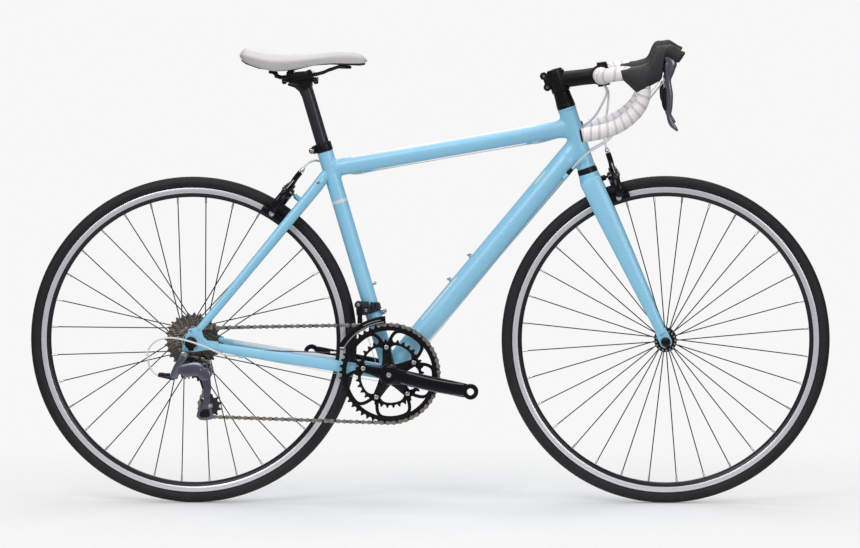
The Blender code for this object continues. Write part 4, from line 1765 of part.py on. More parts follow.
GUIDE_CENTRE = GUIDE_AT + SIDE * SPROCKET_SIDE
TENSION_CENTRE = TENSION_AT + SIDE * SPROCKET_SIDE
CAGE_GAP = 0.0036
CAGE_THICKNESS = 0.0014
KNUCKLE_IN = -SPROCKET_SIDE + CAGE_GAP + CAGE_THICKNESS + SEAM
knuckle = rod("rear_derailleur_knuckle", GUIDE_AT - SIDE * KNUCKLE_IN, GUIDE_AT - SIDE * (KNUCKLE_IN + 0.0080), 0.0110, GREY_METAL, 12)
knuckle_ear = rod("knuckle_ear", tip_ear - ear_half, tip_ear + ear_half, EAR_RADIUS, GREY_METAL, 10)
knuckle_pin = rod("knuckle_pin", tip_ear, tip_ear - pin_reach, LINK_PIN_RADIUS, STEEL, 8)
web_end = tip_ear - LINK_ACROSS * 0.0215 - AHEAD * 0.0080
web = tube("knuckle_web", [(tip_ear, 0.0065, EAR_THICKNESS / 2 - 0.0001), (web_end, 0.0065, EAR_THICKNESS / 2 - 0.0001)], GREY_METAL, 8, up=LINK_AXIS, square=0.7)
fuse(knuckle, web, knuckle_ear, knuckle_pin)


def stadium(radius, end_radius, steps=4):
    """Round both pulley axes, seen from the drive side."""
    turn = math.degrees(cage_angle)
    low = (TENSION_AT.x - GUIDE_AT.x, TENSION_AT.z - GUIDE_AT.z)
    return arc((0.0, 0.0), radius, turn + 100, turn + 260, steps) + arc(low, end_radius, turn - 80, turn + 80, steps)


outer_plate_at = GUIDE_CENTRE - SIDE * (CAGE_GAP + CAGE_THICKNESS)
rear_cage = plate("rear_derailleur_cage", stadium(0.0120, 0.0115), outer_plate_at, AHEAD, UP, SIDE * CAGE_THICKNESS, BLACK)
rear_inner = plate("rear_cage_inner", stadium(0.0105, 0.0105), GUIDE_CENTRE + SIDE * CAGE_GAP, AHEAD, UP, SIDE * CAGE_THICKNESS, BLACK)
PULLEY_PIN_RADIUS = 0.0025
cage_pins = []
for word, place in (("guide", GUIDE_CENTRE), ("tension", TENSION_CENTRE)):
    reach = SIDE * (CAGE_GAP + CAGE_THICKNESS / 2)
    cage_pins.append(rod(f"{word}_pin", place - reach, place + reach, PULLEY_PIN_RADIUS, BLACK, 8))
fuse(rear_cage, *cage_pins, rear_inner)


def make_pulley(name, wheel):
    centre = wheel.centre + SIDE * SPROCKET_SIDE
    made = disc(name, centre, toothed(PULLEY_TEETH, pin_angle(wheel), "deep", barred_teeth(wheel)), 0.0020, PLASTIC)
    reach = SIDE * (CAGE_GAP - RUNNING)
    boss = rod(name + "_boss", centre - reach, centre + reach, 0.0060, PLASTIC, 8)
    hole = rod(name + "_hole", centre - SIDE * 0.01, centre + SIDE * 0.01, (PULLEY_PIN_RADIUS + RUNNING) / math.cos(math.pi / 6), None, 6)
    fuse(made, boss)
    return cut(made, hole)


guide_pulley = make_pulley("guide_pulley", guide_wheel)
tension_pulley = make_pulley("tension_pulley", tension_wheel)

# Cables: housing where it is thick, bare wire where it is thin
BRAKE_HOUSING = 0.0025
SHIFT_HOUSING = 0.0021
WIRE_SHARE_BRAKE = 0.32
WIRE_SHARE_SHIFT = 0.30


def wire_step(point, toward):
    """A point just beyond the end of a housing."""
    return point + (toward - point).normalized() * 0.0004


def run(routes):
    """routes: (points, steps, bare). Gives all points and the spans of bare wire."""
    points, bare = [], []
    for route, steps, thin in routes:
        path = smooth_path(route, steps)
        if points and (path[0] - points[-1]).length < 1e-6:
            path = path[1:]
        first = len(points)
        points += path
        if thin:
            bare.append((first, len(points) - 1))
    return points, bare


def offset(anchor, ahead, side, rise):
    return anchor + Vector((ahead, side, rise))


MOUTH_GAP = SEAM + 0.0001
front_mouth = cable_line(front_brake, -ADJUSTER_TOP - MOUTH_GAP)
front_clamp = cable_line(front_brake, CLAMP_BELOW - CLAMP_RADIUS - 2 * SEAM)
bar = BAR_CENTRE
front_route = [
    offset(bar, 0.0050, 0.0352, -0.0192), offset(bar, 0.0150, 0.0300, -0.0330), offset(bar, 0.0130, 0.0090, -0.0650), offset(bar, 0.0090, -0.0110, -0.0950),
    front_mouth + (-front_brake.hang) * 0.022 - AHEAD * 0.001, front_mouth,
]
front_points, front_bare = run([(front_route, [1, 2, 2, 2, 1], False), ([front_mouth, wire_step(front_mouth, front_clamp), front_clamp], 1, True)])
front_cable = cord("front_brake_cable", front_points, BRAKE_HOUSING, HOUSING, front_bare, WIRE_SHARE_BRAKE)

WIRE_AT = TOP_TUBE_DOWN * CABLE_BELOW
stop_rear = top_tube_under(BRAKE_STOPS[0]) + WIRE_AT
stop_front = top_tube_under(BRAKE_STOPS[1]) + WIRE_AT
LEAD = 0.0120  # a housing runs straight into its stop
housing_in = stop_front + TOP_TUBE_ALONG * (0.0060 + MOUTH_GAP)
housing_out = stop_rear - TOP_TUBE_ALONG * (0.0060 + MOUTH_GAP)
rear_mouth = cable_line(rear_brake, -ADJUSTER_TOP - MOUTH_GAP)
rear_clamp = cable_line(rear_brake, CLAMP_BELOW - CLAMP_RADIUS - 2 * SEAM)
rear_in = [
    offset(bar, 0.0050, -0.0352, -0.0192), offset(bar, 0.0130, -0.0360, -0.0320), offset(bar, 0.0020, -0.0220, -0.0580),
    offset(bar, -0.0110, 0.0040, -0.0820), offset(bar, -0.0310, 0.0260, -0.1020), offset(bar, -0.0600, 0.0300, -0.1180),
    offset(bar, -0.0920, 0.0235, -0.1290), housing_in + TOP_TUBE_ALONG * LEAD, housing_in,
]
rear_out = [
    housing_out, housing_out - TOP_TUBE_ALONG * LEAD, offset(housing_out, -0.0280, 0.0120, -0.0020),
    offset(housing_out, -0.0520, 0.0265, 0.0030), offset(housing_out, -0.0800, 0.0290, 0.0165),
    offset(housing_out, -0.1035, 0.0130, 0.0262), rear_mouth - rear_brake.hang * 0.0140, rear_mouth,
]
rear_points, rear_bare = run([
    (rear_in, [1, 2, 2, 2, 2, 2, 2, 1], False), ([housing_in, wire_step(housing_in, stop_rear), wire_step(housing_out, stop_rear)], 1, True),
    (rear_out, [1, 1, 2, 2, 2, 3, 1], False), ([rear_mouth, wire_step(rear_mouth, rear_clamp), rear_clamp], 1, True),
])
rear_cable = cord("rear_brake_cable", rear_points, BRAKE_HOUSING, HOUSING, rear_bare, WIRE_SHARE_BRAKE)


def shift_start(side):
    """From the hood's inner side down to the stop on the down tube."""
    mouth = down_tube_at(SHIFT_STOP_AT + SHIFT_STOP_LENGTH + SHIFT_BARREL_LENGTH + MOUTH_GAP, SHIFT_STOP_BELOW, side * SHIFT_STOP_SIDE)
    return [
        offset(bar, 0.1250, side * 0.1795, 0.0130), offset(bar, 0.1330, side * 0.1650, 0.0050), offset(bar, 0.1170, side * 0.1300, -0.0200),
        offset(bar, 0.0880, side * 0.1000, -0.0560), offset(bar, 0.0470, side * 0.0700, -0.0930), offset(bar, 0.0130, side * 0.0480, -0.1340),
        offset(mouth, 0.0350, side * 0.0200, 0.0365), mouth + DOWN_TUBE_ALONG * LEAD, mouth,
    ]


SHIFT_STEPS = [1, 2, 2, 2, 2, 2, 1, 1]
GUIDE_RADIUS = SHELL_RADIUS + 0.0028


def under_shell(angle, side):
    """A place on the wire's turn round the bottom bracket; 270 is straight below."""
    return BOTTOM_BRACKET + direction(math.radians(angle)) * GUIDE_RADIUS + SIDE * side


def shift_wire(side, rest):
    """Bare wire from the stop to under the bottom bracket, and on."""
    mouth = shift_start(side)[-1]
    low_stop = down_tube_at(SHIFT_STOP_AT - 0.001, SHIFT_STOP_BELOW, side * SHIFT_STOP_SIDE)
    wrap = [under_shell(316, side * 0.0120), under_shell(290, side * 0.0120)]
    return [mouth, wire_step(mouth, low_stop), low_stop, *wrap, *rest]


front_rest = [
    under_shell(262, 0.0110), under_shell(235, 0.0070), under_shell(205, 0.0), under_shell(184, -0.0060),
    MECH_BODY + Vector((-0.0030, 0.0100, -0.0075 - SEAM)),
]
stay_front = STAY_STOP + AHEAD * (0.0065 + MOUTH_GAP)
stay_back = STAY_STOP - AHEAD * (0.0065 + MOUTH_GAP)
rear_rest = [under_shell(268, -0.0120), wire_step(stay_front, stay_back), wire_step(stay_back, stay_front)]
left_points, left_bare = run([(shift_start(1), SHIFT_STEPS, False), (shift_wire(1, front_rest), 1, True)])
left_shift_cable = cord("front_shift_cable", left_points, SHIFT_HOUSING, HOUSING, left_bare, WIRE_SHARE_SHIFT)

adjuster_mouth = ADJUSTER_MOUTH + (ADJUSTER_MOUTH - arm_low).normalized() * MOUTH_GAP
loop_out = (ADJUSTER_MOUTH - arm_low).normalized()
loop = [
    stay_back, stay_back - AHEAD * LEAD, offset(REAR_AXLE, 0.0640, -0.0765, -0.0235), offset(REAR_AXLE, 0.0330, -0.0840, -0.0080),
    offset(REAR_AXLE, 0.0040, -0.0888, 0.0030), offset(REAR_AXLE, -0.0400, -0.0888, 0.0125), offset(REAR_AXLE, -0.0740, -0.0850, 0.0030),
    offset(REAR_AXLE, -0.0900, -0.0790, -0.0230), offset(REAR_AXLE, -0.0860, -0.0735, -0.0500), adjuster_mouth + loop_out * 0.0060, adjuster_mouth,
]
right_points, right_bare = run([
    (shift_start(-1), SHIFT_STEPS, False), (shift_wire(-1, rear_rest), 1, True), (loop, [1, 1, 2, 1, 2, 2, 2, 1, 1, 1], False),
])
right_shift_cable = cord("rear_shift_cable", right_points, SHIFT_HOUSING, HOUSING, right_bare, WIRE_SHARE_SHIFT)

# Joint axes and what turns on them
pivot("steering", steerer(HEAD_BOTTOM_AT))
carry("steering", fork, stem, faceplate, handlebar, tape_right, tape_left, hood_right, hood_left, front_skewer)
pivot("front_wheel", FRONT_AXLE, "steering")
carry("front_wheel", front_hub, front_rim, front_tyre)
pivot("front_quick_release", FRONT_QR, "steering")
carry("front_quick_release", front_qr)
pivot("rear_wheel", REAR_AXLE)
carry("rear_wheel", rear_hub, rear_rim, rear_tyre)
pivot("rear_quick_release", REAR_QR)
carry("rear_quick_release", rear_qr)
pivot("cassette", REAR_AXLE)
carry("cassette", cassette)
pivot("crankset", BOTTOM_BRACKET)
carry("crankset", crank_right, chainring_large, crank_left)
pivot("seatpost", SEAT_TOP)
carry("seatpost", seatpost)
pivot("saddle_clamp", POST_HEAD, "seatpost")
carry("saddle_clamp", saddle_clamp)
pivot("saddle", CLAMP_CENTRE, "saddle_clamp")
carry("saddle", saddle_rails, saddle_shell, saddle_cushion)
PADDLE_PIVOT = {}
for word, side, lever, paddle in (("right", -1, lever_right, paddle_right), ("left", 1, lever_left, paddle_left)):
    pivot(f"brake_lever_{word}", LEVER_PIVOT[side], "steering")
    carry(f"brake_lever_{word}", lever)
    PADDLE_PIVOT[side] = lever_place(side, 0.1240, -0.0170, -0.0025)
    pivot(f"shift_paddle_{word}", PADDLE_PIVOT[side], f"brake_lever_{word}")
    carry(f"shift_paddle_{word}", paddle)
for name, caliper, carrier, arms in (("front", front_brake, "steering", (front_arm_right, front_arm_left)), ("rear", rear_brake, None, (rear_arm_right, rear_arm_left))):
    for word, arm in zip(("right", "left"), arms):
        pivot(f"{name}_brake_{word}", caliper.centre, carrier)
        carry(f"{name}_brake_{word}", arm)
pivot("front_derailleur_cage", MECH_BODY)
carry("front_derailleur_cage", front_cage)
pivot("rear_derailleur_body", BODY_PIVOT)
carry("rear_derailleur_body", mech_body)
pivot("rear_derailleur_link", LINK_ROOT, "rear_derailleur_body")
carry("rear_derailleur_link", mech_link)
pivot("rear_derailleur_knuckle", LINK_TIP, "rear_derailleur_link")
carry("rear_derailleur_knuckle", knuckle)
pivot("rear_derailleur_cage", GUIDE_AT - SIDE * KNUCKLE_IN, "rear_derailleur_knuckle")
carry("rear_derailleur_cage", rear_cage)
pivot("guide_pulley", GUIDE_CENTRE, "rear_derailleur_cage")
carry("guide_pulley", guide_pulley)
pivot("tension_pulley", TENSION_CENTRE, "rear_derailleur_cage")
carry("tension_pulley", tension_pulley)
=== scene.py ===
import math

import bmesh
import bpy
from mathutils import Matrix, Vector


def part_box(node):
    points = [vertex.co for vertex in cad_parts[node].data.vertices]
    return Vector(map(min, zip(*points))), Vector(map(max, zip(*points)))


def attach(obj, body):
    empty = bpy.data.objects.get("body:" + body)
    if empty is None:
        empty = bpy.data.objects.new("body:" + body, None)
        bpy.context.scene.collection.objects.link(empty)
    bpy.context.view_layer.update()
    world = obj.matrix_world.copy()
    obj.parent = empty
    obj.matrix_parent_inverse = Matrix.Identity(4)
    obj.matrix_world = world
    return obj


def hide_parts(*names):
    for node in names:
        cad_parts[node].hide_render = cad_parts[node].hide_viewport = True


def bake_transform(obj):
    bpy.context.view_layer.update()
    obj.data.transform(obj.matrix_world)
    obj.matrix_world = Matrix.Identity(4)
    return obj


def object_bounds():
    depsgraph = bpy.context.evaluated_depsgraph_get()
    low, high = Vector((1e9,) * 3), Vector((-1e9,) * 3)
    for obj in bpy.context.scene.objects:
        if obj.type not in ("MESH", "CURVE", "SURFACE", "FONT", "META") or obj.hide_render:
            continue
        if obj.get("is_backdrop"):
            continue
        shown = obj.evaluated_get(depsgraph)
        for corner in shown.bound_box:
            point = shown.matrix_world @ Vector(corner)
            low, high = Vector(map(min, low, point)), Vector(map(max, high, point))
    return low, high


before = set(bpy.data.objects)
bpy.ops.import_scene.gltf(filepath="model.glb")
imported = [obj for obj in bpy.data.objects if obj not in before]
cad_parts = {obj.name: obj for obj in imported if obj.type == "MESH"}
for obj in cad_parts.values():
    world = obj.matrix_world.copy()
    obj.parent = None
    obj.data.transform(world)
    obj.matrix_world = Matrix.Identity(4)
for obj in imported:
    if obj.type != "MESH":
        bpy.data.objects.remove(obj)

bl_info = {
    "name": "Road bike",
    "version": (1, 0, 0),
    "blender": (4, 5, 0),
    "location": "3D View > Sidebar > Road bike",
    "description": "Dresses the solids of a road bike and sets it on a pale studio floor",
    "category": "Object",
}

# Sizes of the bike, in metres: +X towards the front wheel, +Z up, the drive side towards -Y
WHEELBASE = 0.969
RIM_RADIUS = 0.3135
TYRE_RADIUS = 0.336
TYRE_HALF_WIDTH = 0.0125
RIM_HALF_WIDTH = 0.01025
TRACK_FOOT = 0.3025
RIM_FOOT = 0.294
SPOKE_COUNT = 32
FRONT_FLANGE = 0.0225
FRONT_FLANGE_SIDE = 0.034
REAR_FLANGE = 0.0245
REAR_FLANGE_RIGHT = 0.0185
REAR_FLANGE_LEFT = 0.034
CHAINSTAY_LENGTH = 0.41
BRACKET_DROP = 0.066
SEAT_ANGLE = math.radians(73.7)
HEAD_ANGLE = math.radians(71.8)
FORK_RAKE = 0.043
FORK_LENGTH = 0.368
HEAD_BOTTOM_AT = FORK_LENGTH + 0.0177
HEAD_TOP_AT = HEAD_BOTTOM_AT + 0.129
HEAD_TUBE_RADIUS = 0.0183
SEAT_TUBE_LENGTH = 0.472
SEAT_TUBE_RADIUS = 0.01625
DOWN_TUBE_RADIUS = 0.024
SHELL_RADIUS = 0.021
CUP_RADIUS = 0.0225
STEM_AT = HEAD_TOP_AT + 0.035
STEM_CLAMP_HEIGHT = 0.043
STEM_LENGTH = 0.09
STEM_RISE = math.radians(6.9)
BAR_RADIUS = 0.012
BAR_CLAMP_RADIUS = 0.0159
HALF_BAR = 0.2
BAR_REACH = 0.085
BAR_DROP = 0.116
TAPE_THICKNESS = 0.0028
TAPE_START = 0.036
PLUG_THICKNESS = 0.004
CHAIN_PITCH = 0.0127
RING_TEETH = 50
SMALL_RING_TEETH = 34
SPROCKETS = (12, 13, 14, 15, 17, 19, 21, 23, 25, 28)
CHAIN_SPROCKET = 2
SPROCKET_PITCH = 0.00395
FIRST_SPROCKET = 0.0585
PULLEY_TEETH = 11
CHAIN_LINE = 0.047
RING_SPACING = 0.0065
BOLT_CIRCLE = 0.055
CRANK_LENGTH = 0.17
CRANK_ANGLE = math.radians(-11.6)
CRANK_OFFSET = 0.066
CRANK_THICKNESS = 0.0125

SIDE = Vector((0.0, 1.0, 0.0))
UP = Vector((0.0, 0.0, 1.0))
AHEAD = Vector((1.0, 0.0, 0.0))


def direction(angle):
    return Vector((math.cos(angle), 0.0, math.sin(angle)))


FRONT_AXLE = Vector((WHEELBASE / 2, 0.0, TYRE_RADIUS))
REAR_AXLE = Vector((-WHEELBASE / 2, 0.0, TYRE_RADIUS))
BRACKET_AHEAD = math.sqrt(CHAINSTAY_LENGTH**2 - BRACKET_DROP**2)
BRACKET = REAR_AXLE + Vector((BRACKET_AHEAD, 0.0, -BRACKET_DROP))
HEAD_UP = Vector((-math.cos(HEAD_ANGLE), 0.0, math.sin(HEAD_ANGLE)))
HEAD_FORWARD = Vector((math.sin(HEAD_ANGLE), 0.0, math.cos(HEAD_ANGLE)))
SEAT_UP = Vector((-math.cos(SEAT_ANGLE), 0.0, math.sin(SEAT_ANGLE)))
SEAT_FORWARD = Vector((math.sin(SEAT_ANGLE), 0.0, math.cos(SEAT_ANGLE)))
STEERING_FOOT = FRONT_AXLE - HEAD_FORWARD * FORK_RAKE
SEAT_TOP = BRACKET + SEAT_UP * SEAT_TUBE_LENGTH


def steerer(distance):
    return STEERING_FOOT + HEAD_UP * distance


def between(start, end, share):
    return start + (end - start) * share


# Shapes
def oval(centre, along, up, half_side, half_up, sides, square=1.0):
    """Points round an oval that faces along; square under 1 fills its corners."""
    along = along.normalized()
    side = along.cross(up).normalized()
    rise = side.cross(along).normalized()
    points = []
    for step in range(sides):
        angle = 2 * math.pi * (step + 0.5) / sides
        c, s = math.cos(angle), math.sin(angle)
        c = math.copysign(abs(c) ** square, c)
        s = math.copysign(abs(s) ** square, s)
        points.append(centre + side * (half_side * c) + rise * (half_up * s))
    return points


def smooth_rows(rows, steps):
    """Rows of numbers along a smooth curve through the given ones."""
    rows = [tuple(row) for row in rows]
    fine = [rows[0]]
    for index in range(len(rows) - 1):
        second, third = rows[index], rows[index + 1]
        first = rows[index - 1] if index else tuple(2 * a - b for a, b in zip(second, third))
        fourth = rows[index + 2] if index + 2 < len(rows) else tuple(2 * b - a for a,
            b in zip(second, third))
        for step in range(1, steps + 1):
            t = step / steps
            row = []
            for a, b, c, d in zip(first, second, third, fourth):
                bend = (2 * a - 5 * b + 4 * c - d) * t**2 + (3 * b - a - 3 * c + d) * t**3
                row.append((2 * b + (c - a) * t + bend) / 2)
            fine.append(tuple(row))
    return fine


def smooth_path(points, steps):
    return [Vector(row) for row in smooth_rows(points, steps)]


def carried_lifts(points, first=UP):
    """An upward direction carried along a path without twist."""
    lift = first.copy()
    lifts = []
    for index in range(len(points)):
        along = points[min(index + 1, len(points) - 1)] - points[max(index - 1, 0)]
        along.normalize()
        lift = lift - along * lift.dot(along)
        if lift.length < 1e-4:
            lift = along.orthogonal()
        lift.normalize()
        lifts.append(lift.copy())
    return lifts


class Shape:
    """Closed shells gathered into one mesh, each in one of its looks."""

    def __init__(self, name, *looks):
        self.name = name
        self.looks = looks
        self.look = 0
        self.slant = 0.0
        self.mesh = bmesh.new()
        self.uv = self.mesh.loops.layers.uv.new("UVMap")

    def face(self, corners, places=None):
        made = self.mesh.faces.new(corners)
        made.material_index = self.look
        if places:
            for loop, place in zip(made.loops, places):
                loop[self.uv].uv = place
        return made

    def ring(self, points):
        return [self.mesh.verts.new(point) for point in points]

    def cap(self, ring):
        """Closes a ring with a fan to its middle."""
        middle = self.mesh.verts.new(sum((v.co for v in ring), Vector()) / len(ring))
        for step, first in enumerate(ring):
            self.face((first, ring[(step + 1) % len(ring)], middle))

    def join(self, first, second, row=(0.0, 1.0)):
        count = len(first)
        for step in range(count):
            other = (step + 1) % count
            left, right = step / count, (step + 1) / count
            low, high = self.slant * left, self.slant * right
            places = ((row[0] + low, left), (row[0] + high, right), (row[1] + high, right),
                (row[1] + low, left))
            self.face((first[step], first[other], second[other], second[step]), places)

    def skin(self, rings, loop=False, rows=None):
        made = [self.ring(points) for points in rings]
        rows = rows or list(range(len(made)))
        for index in range(len(made) - 1):
            self.join(made[index], made[index + 1], (rows[index], rows[index + 1]))
        if loop:
            self.join(made[-1], made[0])
        else:
            self.cap(made[0])
            self.cap(made[-1])
        return self

    def tube(self, stations, sides=32, up=UP, square=1.0, steps=1):
        """stations: (centre, half side, half up)."""
        rows = [(*station[0], station[1], station[2]) for station in stations]
        rows = smooth_rows(rows, steps) if steps > 1 else rows
        centres = [Vector(row[:3]) for row in rows]
        rings = []
        for index, row in enumerate(rows):
            along = centres[min(index + 1, len(rows) - 1)] - centres[max(index - 1, 0)]
            rings.append(oval(centres[index], along, up, row[3], row[4], sides, square))
        return self.skin(rings)

    def sweep(self, points, radii, sides=16, first=UP):
        """A round rod along a path; radii is one radius, or one for each point."""
        if isinstance(radii, (int, float)):
            radii = [radii] * len(points)
        lifts = carried_lifts(points, first)
        rings = []
        for index, point in enumerate(points):
            along = points[min(index + 1, len(points) - 1)] - points[max(index - 1, 0)]
            rings.append(oval(point, along, lifts[index], radii[index], radii[index], sides))
        return self.skin(rings)

    def turned(self, centre, axis, profile, steps=48, closed=False):
        """profile: (distance along the axis, radius), a loop, or a line between two points on the axis."""
        axis = axis.normalized()
        out = axis.orthogonal().normalized()
        across = axis.cross(out)
        lengths = [0.0]
        for first, second in zip(profile, profile[1:] + profile[:1]):
            lengths.append(lengths[-1] + math.hypot(second[0] - first[0], second[1] - first[1]))
        rings = []
        for along, radius in profile:
            if radius < 1e-7:
                rings.append([self.mesh.verts.new(centre + axis * along)])
                continue
            points = []
            for step in range(steps):
                angle = 2 * math.pi * step / steps
                points.append(
                    centre + axis * along + (out * math.cos(angle) + across * math.sin(angle)) * radius)
            rings.append(self.ring(points))
        pairs = list(range(len(rings) - 1))
        if closed:
            pairs.append(len(rings) - 1)
        for index in pairs:
            first, second = rings[index], rings[(index + 1) % len(rings)]
            row = (lengths[index], lengths[index + 1])
            for step in range(steps):
                other = (step + 1) % steps
                left, right = step / steps, (step + 1) / steps
                if len(first) == 1 and len(second) == 1:
                    continue
                if len(first) == 1:
                    self.face((first[0], second[other], second[step]),
                        ((row[0], left), (row[1], right), (row[1], left)))
                elif len(second) == 1:
                    self.face((first[step], first[other], second[0]),
                        ((row[0], left), (row[0], right), (row[1], left)))
                else:
                    places = ((row[0], left), (row[0], right), (row[1], right), (row[1], left))
                    self.face((first[step], first[other], second[other], second[step]), places)
        return self

    def rod(self, start, end, radius, steps=32, edge=0.0004, bore=None):
        """A round bar with softened rims, or a tube."""
        length = (end - start).length
        edge = min(edge, length / 3, radius / 3)
        if bore:
            profile = [(0.0, bore), (0.0, radius - edge), (edge, radius), (length - edge, radius)]
            profile += [(length, radius - edge), (length, bore)]
            return self.turned(start, end - start, profile, steps, closed=True)
        profile = [(0.0, 0.0), (0.0, radius - edge), (edge, radius), (length - edge, radius)]
        profile += [(length, radius - edge), (length, 0.0)]
        return self.turned(start, end - start, profile, steps)

    def plate(self, outline, origin, right, up, depth):
        """An outline of (right, up) points, pulled by the vector depth."""
        low = self.ring([origin + right * a + up * b for a, b in outline])
        high = self.ring([origin + depth + right * a + up * b for a, b in outline])
        self.join(low, high)
        self.face(list(reversed(low)))
        self.face(high)
        return self

    def block(self, centre, right, up, sizes):
        a, b, c = (size / 2 for size in sizes)
        normal = right.cross(up).normalized()
        corners = [(-a, -b), (a, -b), (a, b), (-a, b)]
        return self.plate(corners, centre - normal * c, right, up, normal * (2 * c))

    def ribbon(self, points, normals, width, depth):
        """A flat strip along points, its width along the normals and its thickness along depth."""
        rings = []
        for point, normal in zip(points, normals):
            side = normal * (width / 2)
            rings.append([point - side, point + side, point + side + depth, point - side + depth])
        return self.skin(rings)

    def annulus(self, centre, outer, inner, thickness, count):
        """A flat ring across the bike; outer and inner give a radius for an angle."""
        rings = []
        for aside, reach in ((-0.5, inner), (-0.5, outer), (0.5, outer), (0.5, inner)):
            points = []
            for step in range(count):
                angle = 2 * math.pi * step / count
                points.append(centre + SIDE * (aside * thickness) + direction(angle) * reach(angle))
            rings.append(points)
        return self.skin(rings, loop=True)

    def finish(self, bevel=0.0, angle=38.0):
        """The mesh object, with its normals out and its sharp edges rounded by bevel."""
        bmesh.ops.remove_doubles(self.mesh, verts=self.mesh.verts, dist=1e-7)
        bmesh.ops.recalc_face_normals(self.mesh, faces=self.mesh.faces)
        mesh = bpy.data.meshes.new(self.name)
        self.mesh.to_mesh(mesh)
        self.mesh.free()
        for look in self.looks:
            mesh.materials.append(look)
        made = bpy.data.objects.new(self.name, mesh)
        bpy.context.scene.collection.objects.link(made)
        if bevel:
            soften(made, bevel)
        shade(made, angle)
        return made


def shade(obj, angle=38.0):
    obj.data.shade_smooth()
    obj.data.set_sharp_from_angle(angle=math.radians(angle))


def realise(obj):
    """Applies the modifiers and leaves one plain mesh."""
    bpy.context.view_layer.update()
    graph = bpy.context.evaluated_depsgraph_get()
    mesh = bpy.data.meshes.new_from_object(obj.evaluated_get(graph))
    obj.modifiers.clear()
    obj.data = mesh
    return obj


def soften(obj, width, segments=2, limit=42.0):
    step = obj.modifiers.new("Softened edges", "BEVEL")
    step.width = width
    step.segments = segments
    step.limit_method = "ANGLE"
    step.angle_limit = math.radians(limit)
    step.use_clamp_overlap = True
    return realise(obj)


def place(obj, body, slot, *nodes):
    """The object rides on a body and stands for the named solids."""
    if nodes:
        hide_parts(*nodes)
    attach(obj, body)
    return obj


def refined(name, looks, body, slot, bevel=0.0006, new_name=None):
    """A copy of a solid with its edges rounded, in looks of its own."""
    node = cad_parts[name]
    shape = bmesh.new()
    shape.from_mesh(node.data)
    shape.transform(node.matrix_world)
    bmesh.ops.remove_doubles(shape, verts=shape.verts, dist=1e-6)
    bmesh.ops.dissolve_limit(
        shape, angle_limit=math.radians(2.0), verts=shape.verts, edges=shape.edges,
        use_dissolve_boundaries=False
    )
    bmesh.ops.recalc_face_normals(shape, faces=shape.faces)
    mesh = bpy.data.meshes.new(name)
    shape.to_mesh(mesh)
    shape.free()
    mesh.materials.clear()
    for look in looks:
        mesh.materials.append(look)
    for face in mesh.polygons:
        face.material_index = 0
    made = bpy.data.objects.new(new_name or name + "_dressed", mesh)
    bpy.context.scene.collection.objects.link(made)
    soften(made, bevel)
    shade(made, 34.0)
    return place(made, body, slot, name)


# Materials
class Value:
    """A number or a colour on its way from one node to the next."""

    def __init__(self, look, socket):
        self.look = look
        self.socket = socket

    def __add__(self, other):
        return self.look.math("ADD", self, other)

    def __radd__(self, other):
        return self.look.math("ADD", other, self)

    def __sub__(self, other):
        return self.look.math("SUBTRACT", self, other)

    def __rsub__(self, other):
        return self.look.math("SUBTRACT", other, self)

    def __mul__(self, other):
        return self.look.math("MULTIPLY", self, other)

    def __rmul__(self, other):
        return self.look.math("MULTIPLY", other, self)

    def __truediv__(self, other):
        return self.look.math("DIVIDE", self, other)

    def __rtruediv__(self, other):
        return self.look.math("DIVIDE", other, self)

    def __pow__(self, other):
        return self.look.math("POWER", self, other)

    def __lt__(self, other):
        return self.look.math("LESS_THAN", self, other)

    def __gt__(self, other):
        return self.look.math("GREATER_THAN", self, other)

    def __abs__(self):
        return self.look.math("ABSOLUTE", self)

    def sine(self):
        return self.look.math("SINE", self)

    def part(self):
        return self.look.math("FRACT", self)

    def within(self, low, high):
        return (self > low) * (self < high)


